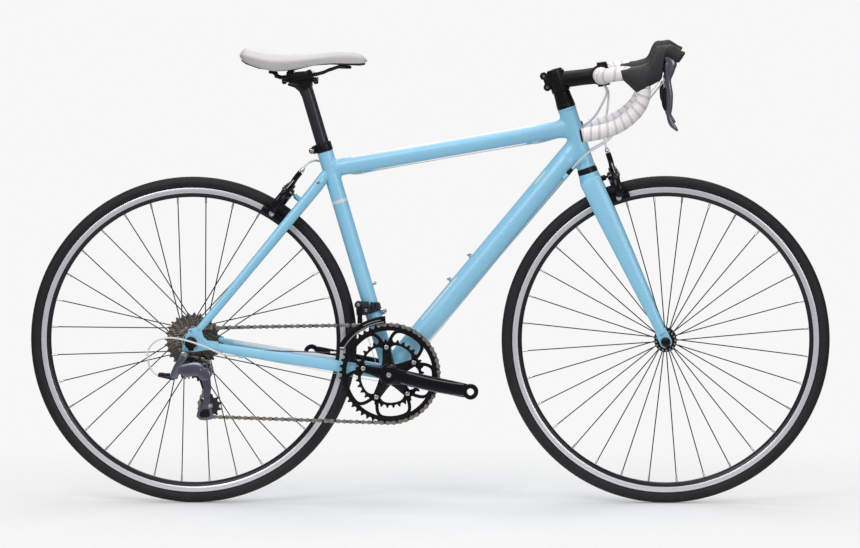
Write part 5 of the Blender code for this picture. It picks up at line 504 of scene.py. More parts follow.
class Look:
    """A material whose nodes all come from one method."""

    def __init__(self, name, metallic=0.0, coat=0.0, coat_roughness=0.05, gloss=0.5):
        self.made = bpy.data.materials.new(name)
        self.made.use_nodes = True
        self.tree = self.made.node_tree
        self.tree.nodes.clear()
        settings = {"Metallic": metallic, "Specular IOR Level": gloss, "Coat Weight": coat,
            "Coat Roughness": coat_roughness}
        self.shader = self.node("ShaderNodeBsdfPrincipled", {}, settings)
        self.node("ShaderNodeOutputMaterial", {}, {"Surface": self.shader.outputs[0]})

    def node(self, kind, settings, inputs):
        made = self.tree.nodes.new(kind)
        for key, value in settings.items():
            setattr(made, key, value)
        for key, value in inputs.items():
            self.feed(made.inputs[key], value)
        return made

    def feed(self, socket, value):
        if isinstance(value, Value):
            self.tree.links.new(value.socket, socket)
        elif isinstance(value, bpy.types.NodeSocket):
            self.tree.links.new(value, socket)
        else:
            socket.default_value = value

    def math(self, operation, *terms):
        made = self.node("ShaderNodeMath", {"operation": operation}, dict(enumerate(terms)))
        return Value(self, made.outputs[0])

    def place(self):
        """x, y and z in the bike's own frame."""
        where = self.node("ShaderNodeTexCoord", {}, {})
        split = self.node("ShaderNodeSeparateXYZ", {}, {0: where.outputs["Object"]})
        return [Value(self, split.outputs[index]) for index in range(3)]

    def uv(self):
        where = self.node("ShaderNodeTexCoord", {}, {})
        split = self.node("ShaderNodeSeparateXYZ", {}, {0: where.outputs["UV"]})
        return [Value(self, split.outputs[index]) for index in range(2)]

    def noise(self, scale, detail=2.0, stretch=(1.0, 1.0, 1.0)):
        where = self.node("ShaderNodeTexCoord", {}, {})
        mapped = self.node("ShaderNodeMapping", {}, {"Vector": where.outputs["Object"], "Scale": stretch})
        made = self.node("ShaderNodeTexNoise", {},
            {"Vector": mapped.outputs[0], "Scale": scale, "Detail": detail})
        return Value(self, made.outputs["Fac"])

    def ramp(self, value, low, high, start=0.0, end=1.0):
        made = self.node("ShaderNodeMapRange", {}, {0: value, 1: start, 2: end, 3: low, 4: high})
        return Value(self, made.outputs[0])

    def mix(self, share, first, second):
        made = self.node("ShaderNodeMix", {"data_type": "RGBA"}, {0: share, 6: rgba(first), 7: rgba(second)})
        return Value(self, made.outputs[2])

    def bump(self, height, distance, strength=1.0):
        made = self.node("ShaderNodeBump", {},
            {"Strength": strength, "Distance": distance, "Height": height})
        return Value(self, made.outputs["Normal"])

    def surface(self, **inputs):
        names = {"colour": "Base Color", "roughness": "Roughness", "normal": "Normal",
            "metallic": "Metallic", "alpha": "Alpha"}
        for key, value in inputs.items():
            self.feed(self.shader.inputs[names[key]], rgba(value) if key == "colour" else value)
        return self.made


def rgba(colour):
    if isinstance(colour, Value):
        return colour
    return (colour[0], colour[1], colour[2], 1.0)


def shaded(colour, factor):
    return tuple(min(1.0, part * factor) for part in colour[:3])


def stated():
    return bpy.context.scene.road_bike


LOOKS = {}


def look(name):
    """The named material, made the first time that it is asked for."""
    if name not in LOOKS:
        LOOKS[name] = LOOK_MAKERS[name]()
    return LOOKS[name]


def paint(name, mark=None):
    made = Look(name, metallic=0.0, coat=0.3, coat_roughness=0.16)
    base = stated().paint_colour
    fleck = made.noise(900.0, 1.0)
    colour = made.mix(made.ramp(fleck, 0.0, 0.35), base, shaded(base, 1.05))
    if mark:
        colour = made.mix(mark(made), colour, (0.74, 0.76, 0.78))
    return made.surface(colour=colour, roughness=made.ramp(made.noise(30.0), 0.3, 0.4))


def along_line(made, root, direction_along):
    """How far along a tube, and how far above its middle line, each point lies."""
    x, y, z = made.place()
    ahead, rise = x - root.x, z - root.z
    along = ahead * direction_along.x + rise * direction_along.z
    above = rise * direction_along.x - ahead * direction_along.z
    return along, above


def band_mark(made):
    """A thin band round the seat tube."""
    along, above = along_line(made, BRACKET, SEAT_UP)
    return along.within(0.3628, 0.3694)


def stripe_mark(made):
    """A thin line near the upper edge of the down tube."""
    along, above = along_line(made, BRACKET, DOWN_ALONG)
    return above.within(0.0182, 0.0212) * (along.within(0.1255, 0.2377) + along.within(0.4873, 0.5206))


def panel_mark(made):
    """A long pale stripe on the left chainstay, hatched at its rear end, under a thin painted edge."""
    along, above = along_line(made, REAR_AXLE, (BRACKET - REAR_AXLE).normalized())
    hatch = (
        ((along * 330.0 + above * 150.0).part() > 0.45) * along.within(0.078, 0.097)
        + along.within(0.097, 0.325))
    return hatch * (above > (along * 0.03 - 0.0022)) * ((along * 0.0215 + 0.0047) > above)


def top_mark(made):
    """A pale line along the upper edge of the top tube."""
    along, above = along_line(made, TOP_SEAT, TOP_ALONG)
    return above.within(0.0146, 0.018) * along.within(0.047, 0.43)


def anodised(name, colour, roughness=0.34, metallic=0.35):
    def make():
        made = Look(name, metallic=metallic, gloss=0.3)
        tone = made.mix(made.noise(60.0, 3.0), shaded(colour, 0.85), shaded(colour, 1.2))
        rough = made.ramp(made.noise(160.0), roughness - 0.05, roughness + 0.08)
        return made.surface(colour=tone, roughness=rough)

    return make


def glossy(name, colour):
    def make():
        made = Look(name, metallic=0.1, coat=0.22, coat_roughness=0.03, gloss=0.15)
        tone = made.mix(made.noise(25.0), shaded(colour, 0.8), shaded(colour, 1.3))
        return made.surface(colour=tone, roughness=made.ramp(made.noise(90.0), 0.2, 0.3))

    return make


def make_rim_look():
    """A bright turned track over black anodising."""
    made = Look("rim_black_and_track", metallic=0.45)
    along, around = made.uv()
    grooves = (along * 9000.0).sine() * 0.5 + 0.5
    bright = made.mix(grooves * 0.5, (0.7, 0.7, 0.73), (0.88, 0.88, 0.9))
    colour = made.mix(radial_mark(made, TRACK_FOOT + 0.0002, RIM_RADIUS + 0.001), (0.022, 0.022, 0.025),
        bright)
    return made.surface(colour=colour, roughness=made.ramp(made.noise(120.0), 0.26, 0.36),
        normal=made.bump(grooves, 0.00003, 0.5))


def radial_mark(made, low, high):
    """1 where the distance from the nearer axle is between the two."""
    x, y, z = made.place()
    ahead = abs(x) - WHEELBASE / 2
    rise = z - TYRE_RADIUS
    return ((ahead * ahead + rise * rise) ** 0.5).within(low, high)


def make_tyre_look():
    """Black rubber with a fine file tread on its crown and slanted grooves on its shoulders."""
    made = Look("tyre_tread_rubber", gloss=0.32)
    along, around = made.uv()
    x, y, z = made.place()
    diamonds = (around * 2600.0 + y * 2200.0).sine() * (around * 2600.0 - y * 2200.0).sine()
    height = diamonds * (abs(y) < 0.0065) + (y * 5000.0).sine() * 0.3 * (abs(y) > 0.0065)
    slant = ((around * 250.0 + abs(y) * 110.0).part() < 0.2) * abs(y).within(0.0042, 0.0098)
    colour = made.mix(made.noise(45.0, 4.0), (0.008, 0.008, 0.009), (0.02, 0.02, 0.022))
    # The slanted grooves are painted darker than the rubber around them: painted shade in the grooves, on top
    # of their real bump below
    colour = made.mix(slant, colour, (0.002, 0.002, 0.002))
    height = height - slant * 2.0
    return made.surface(colour=colour, roughness=made.ramp(made.noise(200.0), 0.55, 0.72),
        normal=made.bump(height, 0.0002, 0.5))


def make_tape_look():
    """Off-white wound tape; the surface map counts turns along it and shares round it."""
    made = Look("perforated_tape")
    settings = stated()
    turns, around = made.uv()
    hole = None
    for row, shift in ((0.42, 0.0), (0.58, 0.5)):
        across = (turns.part() - row) * (settings.wrap_pitch / 0.001)
        along = ((around * settings.holes_round + shift).part() - 0.5) * (88.0 / settings.holes_round)
        dot = (across * across + along * along) < 1.0
        hole = dot if hole is None else hole + dot
    grain = made.noise(700.0, 3.0)
    base = settings.tape_colour
    soft = made.mix(grain, shaded(base, 0.95), shaded(base, 1.03))
    # A thin darker line at the start of each turn, where it laps the one before: painted shade in the step of
    # the overlap
    lap_shade = (turns.part() < 0.03) * 0.15
    colour = made.mix(lap_shade, made.mix(hole * 0.96, soft, (0.03, 0.03, 0.05)), shaded(base, 0.62))
    height = grain * 0.25 - hole
    return made.surface(colour=colour, roughness=made.ramp(grain, 0.55, 0.75),
        normal=made.bump(height, 0.0003, 0.6))


def make_cover_look():
    made = Look("saddle_cover")
    base = stated().saddle_colour
    grain = made.noise(420.0, 4.0)
    pores = made.noise(1500.0, 1.0)
    colour = made.mix(grain, shaded(base, 0.96), shaded(base, 1.03))
    return made.surface(colour=colour, roughness=made.ramp(grain, 0.42, 0.56),
        normal=made.bump(grain + pores, 0.00012, 0.5))


def make_hood_look():
    made = Look("hood_ribbed_rubber")
    x, y, z = made.place()
    ribs = (x * 1500.0 + z * 500.0).sine() * (z * 1400.0).sine()
    colour = made.mix(made.noise(80.0), (0.014, 0.014, 0.015), (0.024, 0.024, 0.027))
    return made.surface(colour=colour, roughness=made.ramp(made.noise(140.0), 0.5, 0.68),
        normal=made.bump(ribs, 0.00015, 0.4))


def make_plain(name, low, high, roughness, scale=120.0, metallic=0.0):
    def make():
        made = Look(name, metallic=metallic, gloss=0.3)
        tone = made.mix(made.noise(scale, 3.0), low, high)
        return made.surface(colour=tone,
            roughness=made.ramp(made.noise(scale), roughness - 0.05, roughness + 0.07))

    return make


LOOK_MAKERS = {
    "paint": lambda: paint("sky_blue_gloss"),
    "band_paint": lambda: paint("sky_blue_with_band", band_mark),
    "stripe_paint": lambda: paint("sky_blue_with_line", stripe_mark),
    "panel_paint": lambda: paint("sky_blue_with_hatching", panel_mark),
    "top_paint": lambda: paint("sky_blue_with_top_line", top_mark),
    "black": anodised("satin_black", (0.009, 0.009, 0.01)),
    "gloss": glossy("gloss_black_coat", (0.005, 0.005, 0.006)),
    "grey": anodised("grey_blue_satin", (0.165, 0.172, 0.215), 0.26, 0.85),
    "mech": anodised("dark_blue_grey_satin", (0.06, 0.064, 0.085), 0.26, 0.7),
    "post": anodised("dark_grey_post", (0.036, 0.034, 0.04), 0.28, 0.4),
    "silver": make_plain("bright_silver", (0.55, 0.55, 0.57), (0.7, 0.7, 0.72), 0.28, 80.0, 1.0),
    "steel": make_plain("chain_links_steel", (0.26, 0.235, 0.2), (0.42, 0.39, 0.35), 0.34, 300.0, 0.95),
    "cog": make_plain("sprocket_steel", (0.085, 0.075, 0.062), (0.26, 0.24, 0.21), 0.32, 260.0, 0.95),
    "spoke": make_plain("dark_spoke_steel", (0.03, 0.03, 0.034), (0.055, 0.055, 0.06), 0.3, 90.0, 0.8),
    "plastic": make_plain("black_moulded_plastic", (0.014, 0.014, 0.015), (0.03, 0.03, 0.032), 0.48),
    "inner": make_plain("inner_links_steel", (0.055, 0.05, 0.044), (0.12, 0.11, 0.1), 0.38, 300.0, 0.9),
    "pad": make_plain("brake_pad_rubber", (0.015, 0.015, 0.016), (0.035, 0.034, 0.034), 0.75, 400.0),
    "housing": make_plain("white_cable_housing", (0.74, 0.74, 0.74), (0.82, 0.82, 0.82), 0.42, 60.0),
    "wire": make_plain("inner_wire_steel", (0.1, 0.1, 0.105), (0.2, 0.2, 0.21), 0.4, 900.0, 0.6),
    "rim": make_rim_look,
    "tyre": make_tyre_look,
    "tape": make_tape_look,
    "cover": make_cover_look,
    "hood": make_hood_look,
}


# Repeated pieces: node trees that set copies on points, and rods along edges
def new_tree(name, inputs):
    tree = bpy.data.node_groups.new(name, "GeometryNodeTree")
    tree.interface.new_socket("Geometry", in_out="INPUT", socket_type="NodeSocketGeometry")
    for word, kind in inputs:
        tree.interface.new_socket(word, in_out="INPUT", socket_type=kind)
    tree.interface.new_socket("Geometry", in_out="OUTPUT", socket_type="NodeSocketGeometry")
    return tree, tree.nodes.new("NodeGroupInput"), tree.nodes.new("NodeGroupOutput")


def copies_tree():
    """Sets a piece on every point, turned by the point's turn attribute."""
    inputs = [("Piece", "NodeSocketObject"), ("Size", "NodeSocketFloat"), ("Look", "NodeSocketMaterial")]
    tree, given, result = new_tree("Copies on points", inputs)
    new, link = tree.nodes.new, tree.links.new
    info = new("GeometryNodeObjectInfo")
    link(given.outputs["Piece"], info.inputs["Object"])
    turn = new("GeometryNodeInputNamedAttribute")
    turn.data_type = "FLOAT_VECTOR"
    turn.inputs["Name"].default_value = "turn"
    rotation = new("FunctionNodeEulerToRotation")
    link(turn.outputs["Attribute"], rotation.inputs["Euler"])
    copies = new("GeometryNodeInstanceOnPoints")
    link(given.outputs["Geometry"], copies.inputs["Points"])
    link(info.outputs["Geometry"], copies.inputs["Instance"])
    link(rotation.outputs["Rotation"], copies.inputs["Rotation"])
    link(given.outputs["Size"], copies.inputs["Scale"])
    real = new("GeometryNodeRealizeInstances")
    link(copies.outputs["Instances"], real.inputs["Geometry"])
    dress = new("GeometryNodeSetMaterial")
    link(real.outputs["Geometry"], dress.inputs["Geometry"])
    link(given.outputs["Look"], dress.inputs["Material"])
    link(dress.outputs["Geometry"], result.inputs["Geometry"])
    return tree


def rods_tree():
    """Makes a round rod along every loose edge."""
    inputs = [("Radius", "NodeSocketFloat"), ("Sides", "NodeSocketInt"), ("Look", "NodeSocketMaterial")]
    tree, given, result = new_tree("Rods along edges", inputs)
    new, link = tree.nodes.new, tree.links.new
    curve = new("GeometryNodeMeshToCurve")
    link(given.outputs["Geometry"], curve.inputs["Mesh"])
    circle = new("GeometryNodeCurvePrimitiveCircle")
    link(given.outputs["Radius"], circle.inputs["Radius"])
    link(given.outputs["Sides"], circle.inputs["Resolution"])
    skin = new("GeometryNodeCurveToMesh")
    link(curve.outputs["Curve"], skin.inputs["Curve"])
    link(circle.outputs["Curve"], skin.inputs["Profile Curve"])
    skin.inputs["Fill Caps"].default_value = True
    real = new("GeometryNodeRealizeInstances")
    link(skin.outputs["Mesh"], real.inputs["Geometry"])
    dress = new("GeometryNodeSetMaterial")
    link(real.outputs["Geometry"], dress.inputs["Geometry"])
    link(given.outputs["Look"], dress.inputs["Material"])
    link(dress.outputs["Geometry"], result.inputs["Geometry"])
    return tree


TREES = {}


def grown_by(obj, make_tree, values):
    """Runs a tree on the object with the named values, and keeps the mesh that it makes."""
    if make_tree not in TREES:
        TREES[make_tree] = make_tree()
    tree = TREES[make_tree]
    step = obj.modifiers.new(tree.name, "NODES")
    step.node_group = tree
    for item in tree.interface.items_tree:
        if item.in_out == "INPUT" and item.name in values:
            step[item.identifier] = values[item.name]
    realise(obj)
    if not len(obj.data.polygons):
        raise RuntimeError(f"{obj.name} came out empty")
    shape = bmesh.new()
    shape.from_mesh(obj.data)
    bmesh.ops.recalc_face_normals(shape, faces=shape.faces)
    shape.to_mesh(obj.data)
    shape.free()
    shade(obj)
    return obj


def copies(name, piece, spots, material, size=1.0):
    """spots: (place, turn matrix)."""
    mesh = bpy.data.meshes.new(name)
    mesh.from_pydata([spot for spot, turn in spots], [], [])
    turns = mesh.attributes.new("turn", "FLOAT_VECTOR", "POINT")
    for index, (spot, turn) in enumerate(spots):
        turns.data[index].vector = turn.to_euler("XYZ")
    made = bpy.data.objects.new(name, mesh)
    bpy.context.scene.collection.objects.link(made)
    grown_by(made, copies_tree, {"Piece": piece, "Size": size, "Look": material})
    bpy.data.objects.remove(piece, do_unlink=True)
    return made


def rods(name, lines, radius, sides, material):
    points, edges = [], []
    for start, end in lines:
        edges.append((len(points), len(points) + 1))
        points += [start, end]
    mesh = bpy.data.meshes.new(name)
    mesh.from_pydata(points, edges, [])
    made = bpy.data.objects.new(name, mesh)
    bpy.context.scene.collection.objects.link(made)
    return grown_by(made, rods_tree, {"Radius": radius, "Sides": sides, "Look": material})


# Wheels
WHEELS = (("front", FRONT_AXLE), ("rear", REAR_AXLE))


def build_tyres():
    for word, axle in WHEELS:
        crown = TYRE_RADIUS - TYRE_HALF_WIDTH
        outside = []
        for step in range(25):
            angle = math.radians(-50 + 280 * step / 24)
            outside.append((TYRE_HALF_WIDTH * math.cos(angle), crown + TYRE_HALF_WIDTH * math.sin(angle)))
        inside = []
        for step in range(13):
            angle = math.radians(225 - 270 * step / 12)
            reach = TYRE_HALF_WIDTH - 0.0022
            inside.append((reach * math.cos(angle), crown + reach * math.sin(angle)))
        bead = [(-0.0078, RIM_RADIUS - 0.005), (-0.006, RIM_RADIUS - 0.0052)]
        profile = outside + bead + inside + [(0.006, RIM_RADIUS - 0.0052), (0.0078, RIM_RADIUS - 0.005)]
        shape = Shape(f"{word}_tyre_rubber", look("tyre"))
        shape.turned(axle, SIDE, profile, 160, closed=True)
        place(shape.finish(), f"{word}_wheel", "tyre_rubber", f"{word}_tyre")


def build_rims():
    half = RIM_HALF_WIDTH
    side = [(half - 0.0012, RIM_RADIUS + 0.0002), (half - 0.0003, RIM_RADIUS), (half, RIM_RADIUS - 0.0006)]
    side += [(half - 0.0002, TRACK_FOOT + 0.0004), (half - 0.0008, TRACK_FOOT - 0.0002),
        (half - 0.0022, TRACK_FOOT - 0.0032)]
    side += [(0.005, RIM_FOOT + 0.0012), (0.003, RIM_FOOT + 0.0001)]
    well = [(0.0082, RIM_RADIUS - 0.0008), (0.008, RIM_RADIUS - 0.004), (0.004, RIM_RADIUS - 0.0062)]
    profile = side + [(-a, r) for a, r in reversed(side)] + [(-a, r) for a, r in well] + list(reversed(well))
    for word, axle in WHEELS:
        shape = Shape(f"{word}_rim_alloy", look("rim"))
        shape.turned(axle, SIDE, profile, 160, closed=True)
        place(shape.finish(angle=50), f"{word}_wheel", "black_anodised", f"{word}_rim")


def spoke_lines(word, axle):
    lines = []
    for index in range(SPOKE_COUNT):
        side = -1 if index % 2 == 0 else 1
        first = 4.5 if word == "front" else 6.0
        angle = math.radians(first) + 2 * math.pi * index / SPOKE_COUNT
        if word == "front":
            start = direction(angle) * (FRONT_FLANGE - 0.003) + SIDE * (side * FRONT_FLANGE_SIDE)
        else:
            flange = -REAR_FLANGE_RIGHT if side < 0 else REAR_FLANGE_LEFT
            lean = math.radians(67.5) * (1 if index % 4 < 2 else -1)
            start = direction(angle + lean) * (REAR_FLANGE - 0.0022) + SIDE * flange
            start += SIDE * (0.0017 if index % 4 < 2 else -0.0017)
        end = direction(angle) * (RIM_FOOT + 0.0008) + SIDE * (side * 0.0015)
        lines.append((axle + start, axle + end))
    return lines


def mirrored_profile(right):
    return [(-a, r) for a, r in reversed(right)] + right


def build_hubs():
    front = [(0.02, 0.0108), (0.03, 0.0118), (0.0322, 0.014), (0.0325, 0.0224), (0.033, 0.0228),
        (0.035, 0.0228)]
    front += [(0.0355, 0.0224), (0.0358, 0.013), (0.0372, 0.0108), (0.042, 0.0095), (0.049, 0.0088),
        (0.0497, 0.008)]
    front += [(0.0497, 0.0049)]
    rear_left = [(0.01, 0.015), (0.029, 0.0158), (0.0322, 0.018), (0.0325, 0.0243), (0.033, 0.0247),
        (0.035, 0.0247)]
    rear_left += [(0.0355, 0.0243), (0.0358, 0.015), (0.038, 0.0122), (0.05, 0.0105), (0.064, 0.0098),
        (0.0647, 0.009)]
    rear_left += [(0.0647, 0.0054)]
    rear_right = [(0.01, 0.015), (0.0165, 0.0165), (0.017, 0.0243), (0.0175, 0.0247), (0.0195, 0.0247),
        (0.02, 0.0243)]
    rear_right += [(0.0203, 0.0165), (0.06, 0.0165), (0.06, 0.009), (0.0647, 0.0086), (0.0647, 0.0054)]
    rear = [(-a, r) for a, r in reversed(rear_right)] + rear_left
    for (word, axle), profile in zip(WHEELS, (mirrored_profile(front), rear)):
        shape = Shape(f"{word}_hub_shell", look("black"))
        shape.turned(axle, SIDE, profile, 64, closed=True)
        place(shape.finish(angle=30), f"{word}_wheel", "black_anodised", f"{word}_hub")
        lines = spoke_lines(word, axle)
        settings = stated()
        spokes = rods(f"{word}_spokes", lines, settings.spoke_radius, 10, look("spoke"))
        place(spokes, f"{word}_wheel", "black_anodised")
        tips = [(end + (start - end).normalized() * 0.0125, end) for start, end in lines]
        nipples = rods(f"{word}_nipples", tips, settings.spoke_radius + 0.001, 12, look("silver"))
        place(nipples, f"{word}_wheel", "chain_steel")
        heads = []
        for start, end in lines:
            outward = SIDE * (1.0 if start.y > 0 else -1.0)
            heads.append((start - outward * 0.0016, start + outward * 0.0024))
        heads = rods(f"{word}_spoke_heads", heads, 0.0021, 12, look("silver"))
        place(heads, f"{word}_wheel", "chain_steel")


def build_skewers():
    refined("front_axle_skewer", [look("black")], "steering", "black_anodised", 0.0009)
    refined("rear_axle_skewer", [look("black")], "frame", "black_anodised", 0.0009)
    for word, axle, body, out, radius in (("front", FRONT_AXLE, "steering", 0.057, 0.0098),
            ("rear", REAR_AXLE, "frame", 0.0722, 0.0125)):
        shape = Shape(f"{word}_axle_nut", look("black"), look("silver"))
        face = axle - SIDE * out
        profile = [(-0.002, 0.0), (-0.002, radius * 0.9), (0.0, radius), (0.005, radius),
            (0.0075, radius * 0.8), (0.0085, radius * 0.45), (0.0085, 0.0)]
        shape.turned(face, -SIDE, profile, 40)
        shape.look = 1
        bolt_head(shape, face - SIDE * 0.0083, -SIDE, 0.0034, 0.0008)
        place(shape.finish(), body, "black_anodised")
    refined("front_quick_release_lever", [look("black")], "front_quick_release", "black_anodised", 0.0008)
    refined("rear_quick_release_lever", [look("black")], "rear_quick_release", "black_anodised", 0.0008)


# Frame
TOP_HEAD = steerer(HEAD_TOP_AT - 0.041)
TOP_SEAT = SEAT_TOP - SEAT_UP * 0.037
TOP_ALONG = (TOP_HEAD - TOP_SEAT).normalized()
TOP_DOWN = -SIDE.cross(TOP_ALONG).normalized()
if TOP_DOWN.z > 0:
    TOP_DOWN.negate()
DOWN_HEAD = steerer(HEAD_TOP_AT - 0.081)
DOWN_ALONG = (DOWN_HEAD - BRACKET).normalized()
DOWN_UNDER = SIDE.cross(DOWN_ALONG).normalized()
if DOWN_UNDER.z > 0:
    DOWN_UNDER.negate()
SHIFT_STOP_AT = 0.534
SHIFT_STOP_BELOW = DOWN_TUBE_RADIUS * 0.8
SHIFT_STOP_SIDE = 0.019
STAY_SIDE = 0.068
SEATSTAY_TOP = SEAT_TOP - SEAT_UP * 0.04 - SEAT_FORWARD * 0.006
SEATSTAY_END = REAR_AXLE + Vector((0.016, 0.0, 0.0265))
CHAINSTAY_ALONG = (REAR_AXLE - BRACKET).normalized()
HANGER_BOLT = REAR_AXLE + Vector((-0.0135, 0.0, -0.024))
EYELET = REAR_AXLE + Vector((-0.0005, 0.0, 0.024))
CHAINSTAY_HALF_HEIGHT = 0.0122
STAY_STOP = (
    BRACKET + CHAINSTAY_ALONG * ((REAR_AXLE - BRACKET).length * 0.745)
    - SIDE * 0.057 - UP * (CHAINSTAY_HALF_HEIGHT * 0.76 + 0.0025)
)


def on_cylinder(start, along, root, axis, radius):
    """Where a line first meets a round tube, or passes nearest to it."""
    axis = axis.normalized()
    reach = start - root
    d = along - axis * along.dot(axis)
    m = reach - axis * reach.dot(axis)
    a, b, c = d.dot(d), 2 * m.dot(d), m.dot(m) - radius**2
    inner = max(b * b - 4 * a * c, 0.0)
    return start + along * ((-b - math.sqrt(inner)) / (2 * a))


def weld(shape, start, along, half_side, half_up, root, axis, radius, width=0.0085, square=1.0, up=UP):
    """A smooth fillet where a tube runs along into a round one."""
    sides = 48
    axis = axis.normalized()
    sections = []
    for line in oval(start, along, up, half_side, half_up, sides, square):
        out = line - start
        out = (out - along * out.dot(along)).normalized()
        hit = on_cylinder(line, along, root, axis, radius)
        reach = hit - root
        normal = (reach - axis * reach.dot(axis)).normalized()
        spread = out - normal * out.dot(normal)
        spread = spread.normalized() if spread.length > 1e-4 else out
        near = hit - along * width + out * 0.0001
        far = root + axis * (hit + spread * width - root).dot(axis)
        flat = hit + spread * width - far
        far = far + flat.normalized() * (radius + 0.0001)
        points = []
        for step in range(7):
            t = step / 6
            points.append(near * (1 - t) ** 2 + hit * (2 * t * (1 - t)) + far * t**2)
        inside = hit - out * 0.004 - normal * 0.004
        sections.append(points + [inside])
    rings = [[section[index] for section in sections] for index in range(8)]
    shape.skin(rings, loop=True)


def arc(centre, radius, first, last, steps):
    angles = [math.radians(first + (last - first) * step / steps) for step in range(steps + 1)]
    return [(centre[0] + radius * math.cos(a), centre[1] + radius * math.sin(a)) for a in angles]


def dropout_outline(hanger):
    half = 0.0053
    slot = [(half, -0.019), (half, 0.0)] + arc((0.0, 0.0), half, 20, 160, 8) + [(-half, 0.0),
        (-half, -0.019)]
    if hanger:
        low = arc((HANGER_BOLT.x - REAR_AXLE.x, HANGER_BOLT.z - REAR_AXLE.z), 0.0078, -25, -190, 10)
    else:
        low = [(-0.013, -0.0175)]
    rear = [(-0.0155, -0.004), (-0.0135, 0.005), (-0.0105, 0.013), (-0.007, 0.019)]
    rear += arc((-0.0005, 0.024), 0.0052, 190, 60, 8)
    front = [(0.01, 0.031), (0.018, 0.0292), (0.0225, 0.0245), (0.024, 0.018), (0.0262, 0.011),
        (0.033, 0.0045)]
    front += [(0.056, 0.0012), (0.056, -0.0135), (0.033, -0.015), (0.02, -0.017)]
    return slot + low + rear + front


def chainstay_stations(side):
    reach = (REAR_AXLE - BRACKET).length
    stations = []
    drop = 0.003 if side < 0 else 0.0012
    for share, out, size in ((0.01, 0.0255, 1.0), (0.2, 0.029, 0.98), (0.45, 0.0405, 0.9),
            (0.7, 0.0545, 0.78)):
        centre = BRACKET + CHAINSTAY_ALONG * (reach * share) + SIDE * (side * out) - UP * drop
        stations.append((centre, 0.0075, CHAINSTAY_HALF_HEIGHT * size))
    end = REAR_AXLE - CHAINSTAY_ALONG * 0.04 + SIDE * (side * STAY_SIDE) - UP * 0.001
    stations.append((end, 0.0046, 0.008))
    return stations


def bolt_head(shape, centre, axis, radius, height, steps=20):
    """A round head with a hollow for a key."""
    profile = [(0.0, 0.0), (0.0, radius), (height * 0.75, radius), (height, radius * 0.86),
        (height, radius * 0.5)]
    profile += [(height * 0.45, radius * 0.46), (height * 0.45, 0.0)]
    shape.turned(centre, axis, profile, steps)


WIRE_LIFT = 0.003


def bottle_bolt(shape, foot, axis):
    """A screw for a bottle holder, standing a little out of its boss."""
    shape.turned(foot, axis, [(0.0, 0.0), (0.0, 0.0041), (0.0022, 0.0041), (0.0026, 0.0036), (0.004, 0.0036),
        (0.004, 0.0)], 24)
    bolt_head(shape, foot + axis * 0.0036, axis, 0.0042, 0.004)


